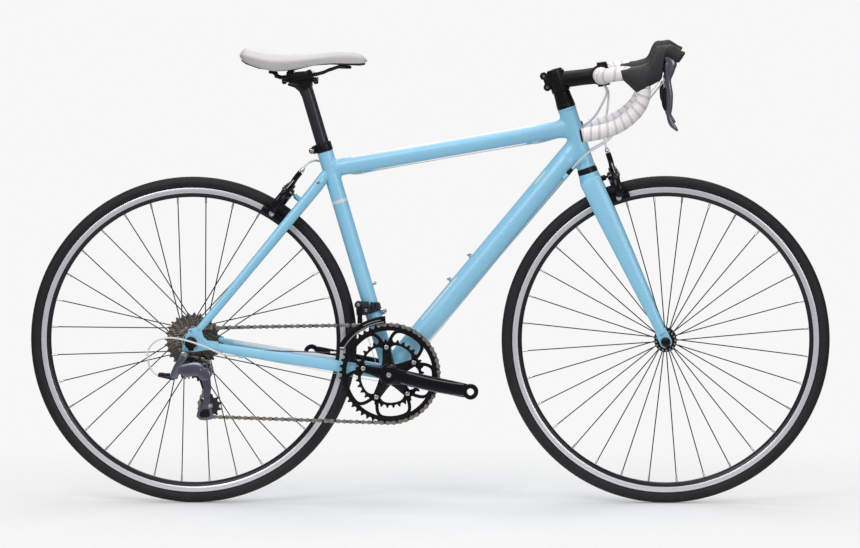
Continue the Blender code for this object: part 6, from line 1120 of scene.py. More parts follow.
def build_frame():
    shape = Shape("head_tube_painted", look("paint"), look("black"))
    shape.rod(steerer(HEAD_BOTTOM_AT + 0.0002), steerer(HEAD_TOP_AT), HEAD_TUBE_RADIUS, 64, 0.0008)
    for at in (HEAD_BOTTOM_AT + 0.0002, HEAD_TOP_AT - 0.0052):
        shape.turned(steerer(at), HEAD_UP,
            [(0.0, 0.0), (0.0, 0.0188), (0.001, 0.0193), (0.004, 0.0193), (0.005, 0.0184), (0.005, 0.0)], 64)
    head_end = TOP_HEAD - TOP_ALONG * 0.06
    weld(shape, head_end, TOP_ALONG, 0.015, 0.0191, steerer(HEAD_BOTTOM_AT), HEAD_UP, HEAD_TUBE_RADIUS,
        square=0.9)
    head_end = DOWN_HEAD - DOWN_ALONG * 0.06
    weld(shape, head_end, DOWN_ALONG, 0.017, 0.024, steerer(HEAD_BOTTOM_AT), HEAD_UP, HEAD_TUBE_RADIUS)
    place(shape.finish(), "frame", "sky_blue_paint", "head_tube")

    shape = Shape("top_tube_painted", look("top_paint"))
    stations = [(TOP_SEAT + TOP_ALONG * 0.004, 0.0144, 0.0175),
        (between(TOP_SEAT, TOP_HEAD, 0.45), 0.015, 0.0165)]
    stations += [(between(TOP_SEAT, TOP_HEAD, 0.82), 0.015, 0.0165), (TOP_HEAD, 0.015, 0.0195)]
    shape.tube(stations, 48, square=0.9, steps=6)
    for share in (0.155, 0.815):
        centre = between(TOP_SEAT, TOP_HEAD, share) + TOP_DOWN * (0.019 - WIRE_LIFT)
        shape.rod(centre - TOP_ALONG * 0.006, centre + TOP_ALONG * 0.006, 0.0044, 20)
        shape.block(centre - TOP_DOWN * 0.002, TOP_ALONG, TOP_DOWN, (0.011, 0.006, 0.006))
    place(shape.finish(0.0005), "frame", "sky_blue_paint", "top_tube")

    shape = Shape("down_tube_painted", look("stripe_paint"), look("black"), look("silver"))
    down = DOWN_TUBE_RADIUS
    foot = BRACKET - DOWN_UNDER * 0.003
    stations = [(foot + DOWN_ALONG * 0.003, down * 0.97, down * 0.88),
        (between(foot, DOWN_HEAD, 0.12), down, down * 0.94)]
    stations += [(between(foot, DOWN_HEAD, 0.5), down, down * 0.97),
        (between(foot, DOWN_HEAD, 0.88), down, down)]
    stations += [(between(foot, DOWN_HEAD, 0.96), HEAD_TUBE_RADIUS * 0.97, down),
        (DOWN_HEAD, HEAD_TUBE_RADIUS * 0.92, down)]
    shape.tube(stations, 48, steps=6)
    for side in (-1, 1):
        aside = DOWN_UNDER * SHIFT_STOP_BELOW + SIDE * (side * SHIFT_STOP_SIDE)
        low = BRACKET + DOWN_ALONG * SHIFT_STOP_AT + aside
        shape.look = 0
        shape.rod(low, low + DOWN_ALONG * 0.012, 0.0044, 20)
        shape.block(low + DOWN_ALONG * 0.006 - aside.normalized() * 0.003, DOWN_ALONG, aside.normalized(),
            (0.011, 0.007, 0.006))
        shape.look = 1
        profile = [(0.0, 0.0), (0.0, 0.004)]
        for step in range(5):
            profile += [(0.001 + step * 0.0024, 0.004), (0.0016 + step * 0.0024, 0.0035),
                (0.0022 + step * 0.0024, 0.004)]
        profile += [(0.0135, 0.003), (0.014, 0.003), (0.014, 0.0)]
        shape.turned(low + DOWN_ALONG * 0.012, DOWN_ALONG, profile, 20)
    for index in range(2):
        foot = BRACKET + DOWN_ALONG * (0.225 + 0.064 * index) - DOWN_UNDER * (down * 0.96 + 0.0016)
        shape.look = 0
        shape.rod(foot, foot - DOWN_UNDER * 0.0012, 0.0056, 24)
        shape.look = 2
        bottle_bolt(shape, foot - DOWN_UNDER * 0.0011, -DOWN_UNDER)
    place(shape.finish(), "frame", "sky_blue_paint", "down_tube")

    shape = Shape("seat_tube_painted", look("band_paint"), look("silver"))
    shape.rod(BRACKET, SEAT_TOP - SEAT_UP * 0.0003, SEAT_TUBE_RADIUS, 64, 0.0006)
    weld(shape, TOP_SEAT + TOP_ALONG * 0.06, -TOP_ALONG, 0.0144, 0.0172, BRACKET, SEAT_UP, SEAT_TUBE_RADIUS,
        square=0.9)
    for index in range(2):
        foot = BRACKET + SEAT_UP * (0.121 + 0.064 * index) + SEAT_FORWARD * (SEAT_TUBE_RADIUS - 0.001)
        shape.look = 0
        shape.rod(foot, foot + SEAT_FORWARD * 0.0016, 0.0056, 24)
        shape.look = 1
        bottle_bolt(shape, foot + SEAT_FORWARD * 0.0015, SEAT_FORWARD)
    place(shape.finish(), "frame", "sky_blue_paint", "seat_tube")

    shape = Shape("bottom_bracket_shell_painted", look("paint"), look("black"))
    profile = [(-0.0338, 0.0), (-0.0338, 0.0202), (-0.033, SHELL_RADIUS), (0.033, SHELL_RADIUS),
        (0.0338, 0.0202), (0.0338, 0.0)]
    shape.turned(BRACKET, SIDE, profile, 64)
    weld(shape, BRACKET + SEAT_UP * 0.08, -SEAT_UP, SEAT_TUBE_RADIUS, SEAT_TUBE_RADIUS, BRACKET, SIDE,
        SHELL_RADIUS)
    weld(shape, BRACKET + DOWN_ALONG * 0.08, -DOWN_ALONG, 0.0236, 0.0208, BRACKET, SIDE, SHELL_RADIUS)
    shape.look = 1
    for side in (-1, 1):
        cup = [(0.0, 0.0), (0.0, CUP_RADIUS - 0.0006), (0.0006, CUP_RADIUS), (0.007, CUP_RADIUS),
            (0.0084, CUP_RADIUS - 0.0016), (0.0084, 0.0)]
        shape.turned(BRACKET + SIDE * (side * 0.034), SIDE * side, cup, 32)
    place(shape.finish(), "frame", "sky_blue_paint", "bottom_bracket_shell")

    for word, side in (("right", -1), ("left", 1)):
        shape = Shape(f"chainstay_{word}_painted", look("paint" if side < 0 else "panel_paint"),
            look("silver"))
        shape.tube(chainstay_stations(side), 32, steps=8)
        inner = REAR_AXLE + SIDE * (side * 0.065)
        shape.plate(dropout_outline(side < 0), inner, AHEAD, UP, SIDE * (side * 0.006))
        if side < 0:
            shape.rod(STAY_STOP - AHEAD * 0.0065, STAY_STOP + AHEAD * 0.0065, 0.0042, 20)
            shape.block(STAY_STOP + UP * 0.002, AHEAD, UP, (0.012, 0.005, 0.0056))
        eye = EYELET + SIDE * (side * 0.0712)
        shape.look = 1
        bolt_head(shape, eye, SIDE * side, 0.0034, 0.001)
        made = shape.finish(0.0008)
        place(made, "frame", "sky_blue_paint", f"chainstay_{word}")

        shape = Shape(f"seatstay_{word}_painted", look("paint"), look("silver"))
        top = SEATSTAY_TOP + SIDE * (side * 0.0185)
        low = SEATSTAY_END + SIDE * (side * (STAY_SIDE - 0.0006))
        along = (low - top).normalized()
        under = Vector((-along.z, 0.0, along.x))
        stations = []
        for share, tuck, size, tall in (
            (0.0, 0.019, 0.85, 0.9), (0.02, 0.014, 1.15, 1.28), (0.045, 0.006, 1.22, 1.42),
            (0.08, 0.001, 1.12, 1.42),
            (0.14, 0.0, 1.02, 1.36), (0.5, 0.0, 0.96, 1.18), (0.94, 0.0, 0.86, 0.92), (1.0, 0.0, 0.7, 0.7),
        ):
            centre = between(top, low, share) - SIDE * (side * tuck) + under * (0.0083 * 1.15 * (tall - size))
            stations.append((centre, 0.0083 * size, 0.0083 * tall))
        shape.tube(stations, 32, steps=4)
        eye = between(top, low, 0.068) + SIDE * (side * 0.008)
        shape.rod(eye - SIDE * (side * 0.003), eye + SIDE * (side * 0.0006), 0.005, 24)
        shape.look = 1
        bolt_head(shape, eye + SIDE * (side * 0.0004), SIDE * side, 0.0038, 0.0014)
        place(shape.finish(), "frame", "sky_blue_paint", f"seatstay_{word}")
    refined("brake_bridge", [look("paint")], "frame", "sky_blue_paint", 0.0005)
    refined("seat_clamp_collar", [look("black")], "frame", "black_anodised", 0.0014)
    shape = Shape("seat_clamp_bolt", look("silver"), look("black"))
    ear = Vector((-0.2387, 0.0, 0.7247))
    for side in (-1, 1):
        shape.look = 1
        shape.rod(ear + SIDE * (side * 0.004), ear + SIDE * (side * 0.009), 0.0062, 32, 0.001)
        shape.look = 0
        bolt_head(shape, ear + SIDE * (side * 0.0086), SIDE * side, 0.004, 0.0014)
    place(shape.finish(), "frame", "black_anodised")


# Fork
BLADE_TOP = steerer(FORK_LENGTH - 0.012)
BLADE_UP = (BLADE_TOP - FRONT_AXLE).normalized()


def build_fork():
    shape = Shape("fork_painted", look("paint"), look("black"))
    crown = [
        (-1.06, 0.016, 0.01, 0.007), (-1.0, 0.009, 0.0165, 0.01), (-0.6, 0.001, 0.0205, 0.0125),
        (0.0, 0.0, 0.0222, 0.0128),
        (0.6, 0.001, 0.0205, 0.0125), (1.0, 0.009, 0.0165, 0.01), (1.06, 0.016, 0.01, 0.007),
    ]
    rings = []
    for share, drop, deep, tall in smooth_rows(crown, 5):
        centre = BLADE_TOP + SIDE * (share * 0.036) - HEAD_UP * drop
        rings.append(oval(centre, SIDE, HEAD_UP, deep, tall, 32))
    shape.skin(rings)
    for side in (-1, 1):
        top = BLADE_TOP + SIDE * (side * 0.0318) + BLADE_UP * 0.004
        foot = FRONT_AXLE + SIDE * (side * 0.0534) + BLADE_UP * 0.018
        stations = []
        for share, size, bow in ((0.0, 0.0, 0.0), (0.22, 0.12, 0.0015), (0.6, 0.55, 0.001),
                (0.9, 0.93, 0.0003), (1.0, 1.1, 0.0)):
            centre = between(top, foot, share) + SIDE * (side * bow)
            stations.append((centre, 0.0102 - 0.0037 * size, 0.0224 - 0.0119 * size))
        shape.tube(stations, 40, up=AHEAD, steps=6)
        half = 0.0048
        outline = [(half, -0.0125), (half, 0.0)] + arc((0.0, 0.0), half, 20, 160, 8) + [(-half, 0.0),
            (-half, -0.0125)]
        outline += [(-0.01, -0.0085), (-0.0122, -0.004), (-0.0125, 0.0), (-0.012, 0.013), (-0.011, 0.027)]
        outline += [(0.011, 0.027), (0.012, 0.013), (0.0125, 0.0), (0.0122, -0.004), (0.01, -0.0085)]
        placed = []
        for a, b in outline:
            spot = BLADE_UP.cross(SIDE) * a + BLADE_UP * b
            placed.append((spot.x, spot.z))
        shape.plate(placed, FRONT_AXLE + SIDE * (side * 0.05), AHEAD, UP, SIDE * (side * 0.006))
    foot = steerer(FORK_LENGTH - 0.004)
    profile = [(-0.017, 0.0), (-0.017, 0.0205), (-0.012, 0.0226), (-0.006, 0.0226), (0.0, 0.0218),
        (0.006, 0.021), (0.0098, 0.0206), (0.0098, 0.0)]
    shape.turned(foot, HEAD_UP, profile, 64)
    shape.look = 1
    profile = [(0.0098, 0.0), (0.0098, 0.02), (0.0104, 0.0205), (0.012, 0.0207), (0.0205, 0.02),
        (0.0212, 0.019), (0.0212, 0.0143)]
    profile += [(0.18, 0.0143), (0.18, 0.0)]
    shape.turned(foot, HEAD_UP, profile, 64)
    root = steerer(FORK_LENGTH - 0.013)
    bolt = [(0.0, 0.0), (0.0, 0.0058), (0.0312, 0.0058), (0.0312, 0.003), (0.0488, 0.003), (0.0488, 0.0058),
        (0.054, 0.0052), (0.054, 0.0)]
    shape.turned(root, HEAD_FORWARD, bolt, 32)
    place(shape.finish(0.0007), "steering", "sky_blue_paint", "fork")


# Stem, bar and tape
STEM_ROOT = steerer(STEM_AT + STEM_CLAMP_HEIGHT * 0.57)
STEM_ALONG = direction(STEM_RISE)
BAR_CENTRE = STEM_ROOT + STEM_ALONG * STEM_LENGTH
STEM_UPRIGHT = Vector((-STEM_ALONG.z, 0.0, STEM_ALONG.x))


def build_stem():
    shape = Shape("stem_and_spacers", look("black"), look("gloss"), look("steel"))
    foot = steerer(HEAD_TOP_AT) + HEAD_UP * 0.0003
    shape.look = 1
    profile = [(0.0, 0.0), (0.0, 0.0186), (0.0006, 0.0192), (0.0078, 0.0192), (0.0084, 0.0186),
        (0.0088, 0.019), (0.0094, 0.019)]
    profile += [(0.015, 0.0182), (0.024, 0.0174), (0.03, 0.0171), (0.0338, 0.017), (0.0342, 0.0166)]
    profile += [(0.0347, 0.0)]
    shape.turned(foot, HEAD_UP, profile, 64)
    shape.look = 0
    profile = [(0.0347, 0.0), (0.0347, 0.018), (0.0355, 0.0188), (0.077, 0.0188), (0.0777, 0.0182),
        (0.0777, 0.0)]
    shape.turned(foot, HEAD_UP, profile, 64)
    shape.look = 1
    shape.turned(foot, HEAD_UP, [(0.0777, 0.0), (0.0777, 0.0165), (0.082, 0.0158), (0.0832, 0.014),
        (0.0832, 0.0)], 64)
    shape.look = 2
    bolt_head(shape, foot + HEAD_UP * 0.0828, HEAD_UP, 0.0045, 0.0012)
    shape.look = 0
    stations = [(STEM_ROOT, 0.0168, 0.0178), (between(STEM_ROOT, BAR_CENTRE, 0.3), 0.016, 0.017),
        (between(STEM_ROOT, BAR_CENTRE, 0.6), 0.0156, 0.0166),
        (BAR_CENTRE - STEM_ALONG * 0.006, 0.0162, 0.0176)]
    shape.tube(stations, 48, steps=6)
    shape.block(STEM_ROOT - STEM_ALONG * 0.0223, STEM_ALONG, HEAD_UP, (0.011, 0.034, 0.02))
    half = arc((0.0, 0.0), 0.0215, 90.5, 269.5, 24) + arc((0.0, 0.0), BAR_CLAMP_RADIUS + 0.0004, 269.5, 90.5,
        24)
    shape.plate(half, BAR_CENTRE - SIDE * 0.021, STEM_ALONG, STEM_UPRIGHT, SIDE * 0.042)
    for rise in (-0.012, 0.012):
        centre = STEM_ROOT - STEM_ALONG * 0.0245 + HEAD_UP * rise - SIDE * 0.0098
        shape.look = 0
        shape.rod(centre + SIDE * 0.0196, centre, 0.008, 32, 0.0014)
        shape.look = 2
        bolt_head(shape, centre + SIDE * 0.0004, -SIDE, 0.0026, 0.0008)
    place(shape.finish(0.001), "steering", "black_anodised", "stem")

    shape = Shape("stem_faceplate_lugs", look("black"), look("steel"))
    for rise, ahead, long, tall in ((0.0212, 0.0034, 0.02, 0.01), (-0.02, -0.002, 0.014, 0.007)):
        lug = BAR_CENTRE + STEM_ALONG * ahead + STEM_UPRIGHT * rise
        shape.look = 0
        shape.block(lug, STEM_ALONG, STEM_UPRIGHT, (long, tall, 0.036))
        shape.look = 1
        for side in (-0.011, 0.011):
            bolt_head(shape, lug + STEM_ALONG * (long / 2 - 0.0004) + SIDE * side, STEM_ALONG, 0.003, 0.0014)
    place(shape.finish(0.0022), "steering", "black_anodised")
    shape = Shape("stem_faceplate_clamp", look("black"), look("steel"))
    half = arc((0.0, 0.0), 0.0215, -89.5, 89.5, 24) + arc((0.0, 0.0), BAR_CLAMP_RADIUS + 0.0004, 89.5, -89.5,
        24)
    shape.plate(half, BAR_CENTRE - SIDE * 0.021, STEM_ALONG, STEM_UPRIGHT, SIDE * 0.042)
    for side in (-1, 1):
        for rise in (-1, 1):
            foot = BAR_CENTRE + STEM_ALONG * 0.003 + STEM_UPRIGHT * (rise * 0.0182) + SIDE * (side * 0.013)
            shape.look = 0
            shape.rod(foot, foot + STEM_ALONG * 0.0115, 0.004, 24)
            shape.look = 1
            bolt_head(shape, foot + STEM_ALONG * 0.0113, STEM_ALONG, 0.0032, 0.0014)
    place(shape.finish(0.0008), "steering", "black_anodised", "stem_faceplate")


BAR_ROUTE = (
    (0.0, 0.0, 0.0), (0.17, 0.0, 0.0), (0.4, 0.0, 0.0), (0.78, 0.0, 0.0), (0.9, 0.05, 0.01),
    (0.985, 0.2, 0.045),
    (1.0, 0.42, 0.07), (1.0, 0.66, 0.068), (1.0, 0.87, -0.02), (1.0, 0.99, -0.17), (1.0, 0.98, -0.36),
    (1.0, 0.85, -0.55),
    (1.0, 0.62, -0.72), (1.0, 0.34, -0.85), (1.0, 0.0, -0.93), (1.0, -0.5, -1.0),
)


def bar_line(side, steps=6):
    """Points along one half of the bar, and their distances from its middle."""
    points = []
    for across, ahead, rise in BAR_ROUTE:
        points.append(BAR_CENTRE + Vector((ahead * BAR_REACH, side * across * HALF_BAR, rise * BAR_DROP)))
    fine = smooth_path(points, steps)
    lengths = [0.0]
    for first, second in zip(fine, fine[1:]):
        lengths.append(lengths[-1] + (second - first).length)
    return fine, lengths


def walked(points, lengths, distance):
    """The place, and the direction, at a distance along a line of points."""
    for index in range(len(points) - 1):
        if lengths[index + 1] >= distance or index == len(points) - 2:
            span = lengths[index + 1] - lengths[index]
            share = (distance - lengths[index]) / span
            return between(points[index], points[index + 1],
                share), (points[index + 1] - points[index]).normalized()


def build_bar():
    shape = Shape("handlebar_alloy", look("black"))
    points, radii = [], []
    for side in (-1, 1):
        fine, lengths = bar_line(side)
        half = []
        for point, length in zip(fine, lengths):
            bulge = min(1.0, max(0.0, (0.062 - length) / 0.032))
            half.append((point, BAR_RADIUS + (BAR_CLAMP_RADIUS - BAR_RADIUS) * bulge))
        extra = []
        for length in (0.03, 0.036, 0.045, 0.055, 0.062):
            bulge = min(1.0, max(0.0, (0.062 - length) / 0.032))
            extra.append((BAR_CENTRE + SIDE * (side * length),
                BAR_RADIUS + (BAR_CLAMP_RADIUS - BAR_RADIUS) * bulge))
        half = [item for item in half if (item[0] - BAR_CENTRE).length > 0.065 or item[0] == fine[0]]
        half = half[:1] + extra + half[1:]
        half = half[:-1]
        if side < 0:
            points += [item[0] for item in reversed(half)]
            radii += [item[1] for item in reversed(half)]
        else:
            points += [item[0] for item in half[1:]]
            radii += [item[1] for item in half[1:]]
    shape.sweep(points, radii, 32)
    for side in (-1, 1):
        fine, lengths = bar_line(side)
        end, along = walked(fine, lengths, lengths[-1] - PLUG_THICKNESS)
        profile = [(-0.01, 0.0), (-0.01, 0.0112), (0.0001, 0.0112), (0.0001, 0.014), (0.001, 0.0145),
            (0.0026, 0.0135)]
        profile += [(0.0036, 0.009), (0.0038, 0.0)]
        shape.turned(end, along, profile, 32)
    place(shape.finish(), "steering", "black_anodised", "handlebar")


def build_tape():
    """One strip wound along the bar: each turn stands proud where it laps the one before."""
    settings = stated()
    pitch = settings.wrap_pitch
    for word, side in (("right", -1), ("left", 1)):
        fine, lengths = bar_line(side, 14)
        last = lengths[-1] - PLUG_THICKNESS - 0.0005
        count = 330
        sides = 56
        places, alongs = [], []
        for step in range(count):
            point, along = walked(fine, lengths, TAPE_START + (last - TAPE_START) * step / (count - 1))
            places.append(point)
            alongs.append(along)
        lifts = carried_lifts(places)
        rings, rows = [], []
        for step in range(count):
            distance = TAPE_START + (last - TAPE_START) * step / (count - 1)
            base = BAR_RADIUS + TAPE_THICKNESS * 0.8
            base += max(0.0, 1.0 - (distance - TAPE_START) / 0.03) * 0.0026
            if step in (0, count - 1):
                base = BAR_RADIUS + 0.0009 + (0.0018 if step == 0 else 0.0)
            out = alongs[step].cross(lifts[step]).normalized()
            ring = []
            for turn in range(sides):
                angle = 2 * math.pi * turn / sides
                share = (distance / pitch + side * turn / sides) % 1.0
                ridge = settings.wrap_ridge * (min(1.0, share / 0.1) * (1.0 - 0.75 * share))
                if step in (0, count - 1):
                    ridge = 0.0
                ring.append(
                    places[step] + (out * math.cos(angle) + lifts[step] * math.sin(angle)) * (base + ridge))
            rings.append(ring)
            rows.append(distance / pitch)
        shape = Shape(f"bar_tape_{word}_wound", look("tape"))
        shape.slant = float(side)
        shape.skin(rings, rows=rows)
        made = shape.finish(angle=80)
        place(made, "steering", "off_white_tape", f"bar_tape_{word}")


# Hoods and levers; the numbers are taken ahead of and above the bar's centre
def lever_place(side, ahead, above, out=0.0):
    return BAR_CENTRE + Vector((ahead, side * (HALF_BAR + out), above))


HOOD_ROWS = (
    (0.0395, 0.0128, 0.006, 0.8), (0.044, 0.0078, 0.0125, 0.95), (0.056, 0.003, 0.0195, 1.0),
    (0.069, -0.0025, 0.027, 1.0),
    (0.078, -0.0035, 0.0302, 1.0), (0.087, -0.0022, 0.0315, 0.98), (0.093, 0.0045, 0.0275, 0.94),
    (0.098, 0.01, 0.0285, 0.92),
    (0.104, 0.019, 0.0345, 0.9), (0.111, 0.0262, 0.038, 0.88), (0.118, 0.0295, 0.0375, 0.86),
    (0.1225, 0.034, 0.0325, 0.85),
    (0.126, 0.048, 0.018, 0.84), (0.131, 0.054, 0.0122, 0.84), (0.14, 0.0523, 0.015, 0.82),
    (0.149, 0.047, 0.0158, 0.8),
    (0.155, 0.044, 0.0148, 0.78), (0.16, 0.0452, 0.0102, 0.74), (0.165, 0.048, 0.0052, 0.66),
    (0.168, 0.0497, 0.002, 0.5),
)
LEVER_ROWS = (
    (0.1275, 0.0445, 0.003, 0.7), (0.131, 0.04, 0.0075, 0.9), (0.1372, 0.03, 0.014, 1.02),
    (0.1362, 0.02, 0.0128, 1.04),
    (0.1352, 0.01, 0.0104, 1.02), (0.1336, -0.003, 0.0068, 1.0), (0.135, -0.015, 0.0062, 0.97),
    (0.1374, -0.034, 0.0066, 0.94),
    (0.137, -0.058, 0.006, 0.88), (0.1356, -0.076, 0.005, 0.82), (0.141, -0.092, 0.0055, 0.76),
    (0.148, -0.1005, 0.004, 0.66),
    (0.153, -0.1065, 0.002, 0.42),
)
PADDLE_ROWS = (
    (0.1265, -0.019, 0.002), (0.1256, -0.026, 0.004), (0.1254, -0.036, 0.0048), (0.1256, -0.046, 0.0048),
    (0.1264, -0.056, 0.0042),
    (0.1285, -0.065, 0.0022),
)


def build_levers():
    for word, side in (("right", -1), ("left", 1)):
        shape = Shape(f"hood_{word}_rubber", look("hood"))
        rings = []
        for ahead, above, half_up, wide in smooth_rows(HOOD_ROWS, 6):
            centre = lever_place(side, ahead, above)
            rings.append(oval(centre, AHEAD, UP, 0.0177 * wide, half_up * 0.94, 40, 0.85))
        shape.skin(rings)
        place(shape.finish(), "steering", "hood_rubber", f"hood_{word}")

        half = 0.009
        shape = Shape(f"brake_lever_{word}_blade", look("grey"), look("black"))
        hinge = lever_place(side, 0.144, 0.045)
        shape.rod(hinge - SIDE * half, hinge + SIDE * half, 0.0062, 32)
        stations = []
        for ahead, above, deep, wide in LEVER_ROWS:
            stations.append((lever_place(side, ahead, above), half * wide, deep))
        shape.tube(stations, 32, up=AHEAD, square=0.85, steps=6)
        place(shape.finish(), f"brake_lever_{word}", "grey_blue_metal", f"brake_lever_{word}")

        shape = Shape(f"shift_paddle_{word}_plate", look("black"))
        stations = []
        for ahead, above, deep in PADDLE_ROWS:
            stations.append((lever_place(side, ahead, above, -0.0025), 0.0036, deep))
        shape.tube(stations, 24, up=AHEAD, square=0.8, steps=5)
        place(shape.finish(), f"shift_paddle_{word}", "black_anodised", f"shift_paddle_{word}")


# Seatpost and saddle
POST_HEAD = SEAT_TOP + SEAT_UP * 0.145
CLAMP_CENTRE = POST_HEAD + Vector((-0.009, 0.0, 0.0163))
SADDLE_NOSE = CLAMP_CENTRE + Vector((0.137, 0.0, 0.0))
SADDLE_ROWS = (
    (0.2584, 0.03, 0.046, 0.0415), (0.258, 0.044, 0.048, 0.0395), (0.2545, 0.05, 0.052, 0.0358),
    (0.246, 0.062, 0.0562, 0.0285),
    (0.219, 0.07, 0.053, 0.018), (0.186, 0.0695, 0.0475, 0.0112), (0.144, 0.055, 0.045, 0.015),
    (0.109, 0.038, 0.0455, 0.0215),
    (0.074, 0.0262, 0.048, 0.0252), (0.039, 0.0205, 0.049, 0.025), (0.014, 0.0182, 0.045, 0.025),
    (0.0045, 0.0142, 0.038, 0.0262),
    (0.0003, 0.008, 0.033, 0.0285),
)


def saddle_section(behind, wide, top, low):
    """A rounded section: a soft crown with a shallow channel, tucked under at the edge."""
    tall = top - low
    inside = min(1.0, max(0.0, min(behind - 0.03, 0.24 - behind) / 0.03))
    dip = 0.0024 * inside
    half = [(0.0, top - dip), (0.14, top - dip * 0.5), (0.3, top - 0.02 * tall), (0.52, top - 0.06 * tall),
        (0.74, top - 0.15 * tall)]
    half += [(0.91, top - 0.28 * tall), (1.0, top - 0.46 * tall), (0.985, top - 0.66 * tall),
        (0.95, top - 0.84 * tall), (0.9, low + 0.02 * tall)]
    half += [(0.8, low), (0.4, low), (0.0, low)]
    rows = half + [(-share, height) for share, height in reversed(half[1:-1])]
    loop = smooth_rows(rows + rows[:3], 3)
    start = 3
    loop = loop[start:start + 3 * len(rows)]
    return [SADDLE_NOSE + Vector((-behind, share * wide, height)) for share, height in loop]


def build_saddle():
    shape = Shape("saddle_cushion_padded", look("cover"))
    shape.skin([saddle_section(*row) for row in smooth_rows(SADDLE_ROWS, 4)])
    made = shape.finish(angle=60)
    place(made, "saddle", "off_white_cover", "saddle_cushion")
    refined("saddle_shell", [look("plastic")], "saddle", "black_plastic", 0.0009)
    refined("saddle_rails", [look("black")], "saddle", "chain_steel", 0.0003)
    refined("saddle_clamp", [look("black")], "saddle_clamp", "black_anodised", 0.001)
    shape = Shape("saddle_clamp_jaws", look("gloss"), look("steel"))
    for ahead in (-0.019, 0.019):
        jaw = CLAMP_CENTRE + AHEAD * ahead + UP * 0.004
        shape.rod(jaw - SIDE * 0.029, jaw + SIDE * 0.029, 0.0084, 32, 0.002)
        shape.block(jaw - UP * 0.006, AHEAD, UP, (0.015, 0.01, 0.05))
    cradle = [(-0.037, 0.003), (-0.034, 0.0056), (-0.02, 0.0052), (0.0, 0.005), (0.02, 0.0052),
        (0.033, 0.0056), (0.036, 0.003)]
    rows = [(CLAMP_CENTRE + AHEAD * ahead - UP * (0.01 - 2.2 * ahead * ahead), 0.019, tall) for ahead,
        tall in cradle]
    shape.tube(rows, 32, square=0.7, steps=3)
    for ahead in (-0.033, 0.032):
        bolt = CLAMP_CENTRE + AHEAD * ahead - UP * 0.0085
        shape.look = 0
        shape.rod(bolt + UP * 0.006, bolt - UP * 0.0075, 0.005, 24, 0.0008)
        shape.look = 1
        bolt_head(shape, bolt - UP * 0.0073, -UP, 0.0036, 0.0016)
    place(shape.finish(0.0012), "saddle_clamp", "black_anodised")
    shape = Shape("seatpost_and_head", look("post"), look("black"))
    shape.rod(SEAT_TOP - SEAT_UP * 0.129, POST_HEAD - SEAT_UP * 0.006, 0.0136, 56)
    outline = ((0.015, -0.012), (0.016, 0.001), (0.013, 0.004), (-0.032, 0.002), (-0.035, -0.001),
        (-0.033, -0.004), (-0.02, -0.008))
    outline += ((-0.011, -0.016), (-0.006, -0.026), (0.01, -0.021))
    shape.plate(outline, POST_HEAD - SIDE * 0.0115, AHEAD, UP, SIDE * 0.023)
    shape.look = 1
    shape.rod(POST_HEAD - SIDE * 0.016, POST_HEAD + SIDE * 0.016, 0.012, 48, 0.001)
    place(shape.finish(0.0016), "seatpost", "black_anodised", "seatpost")


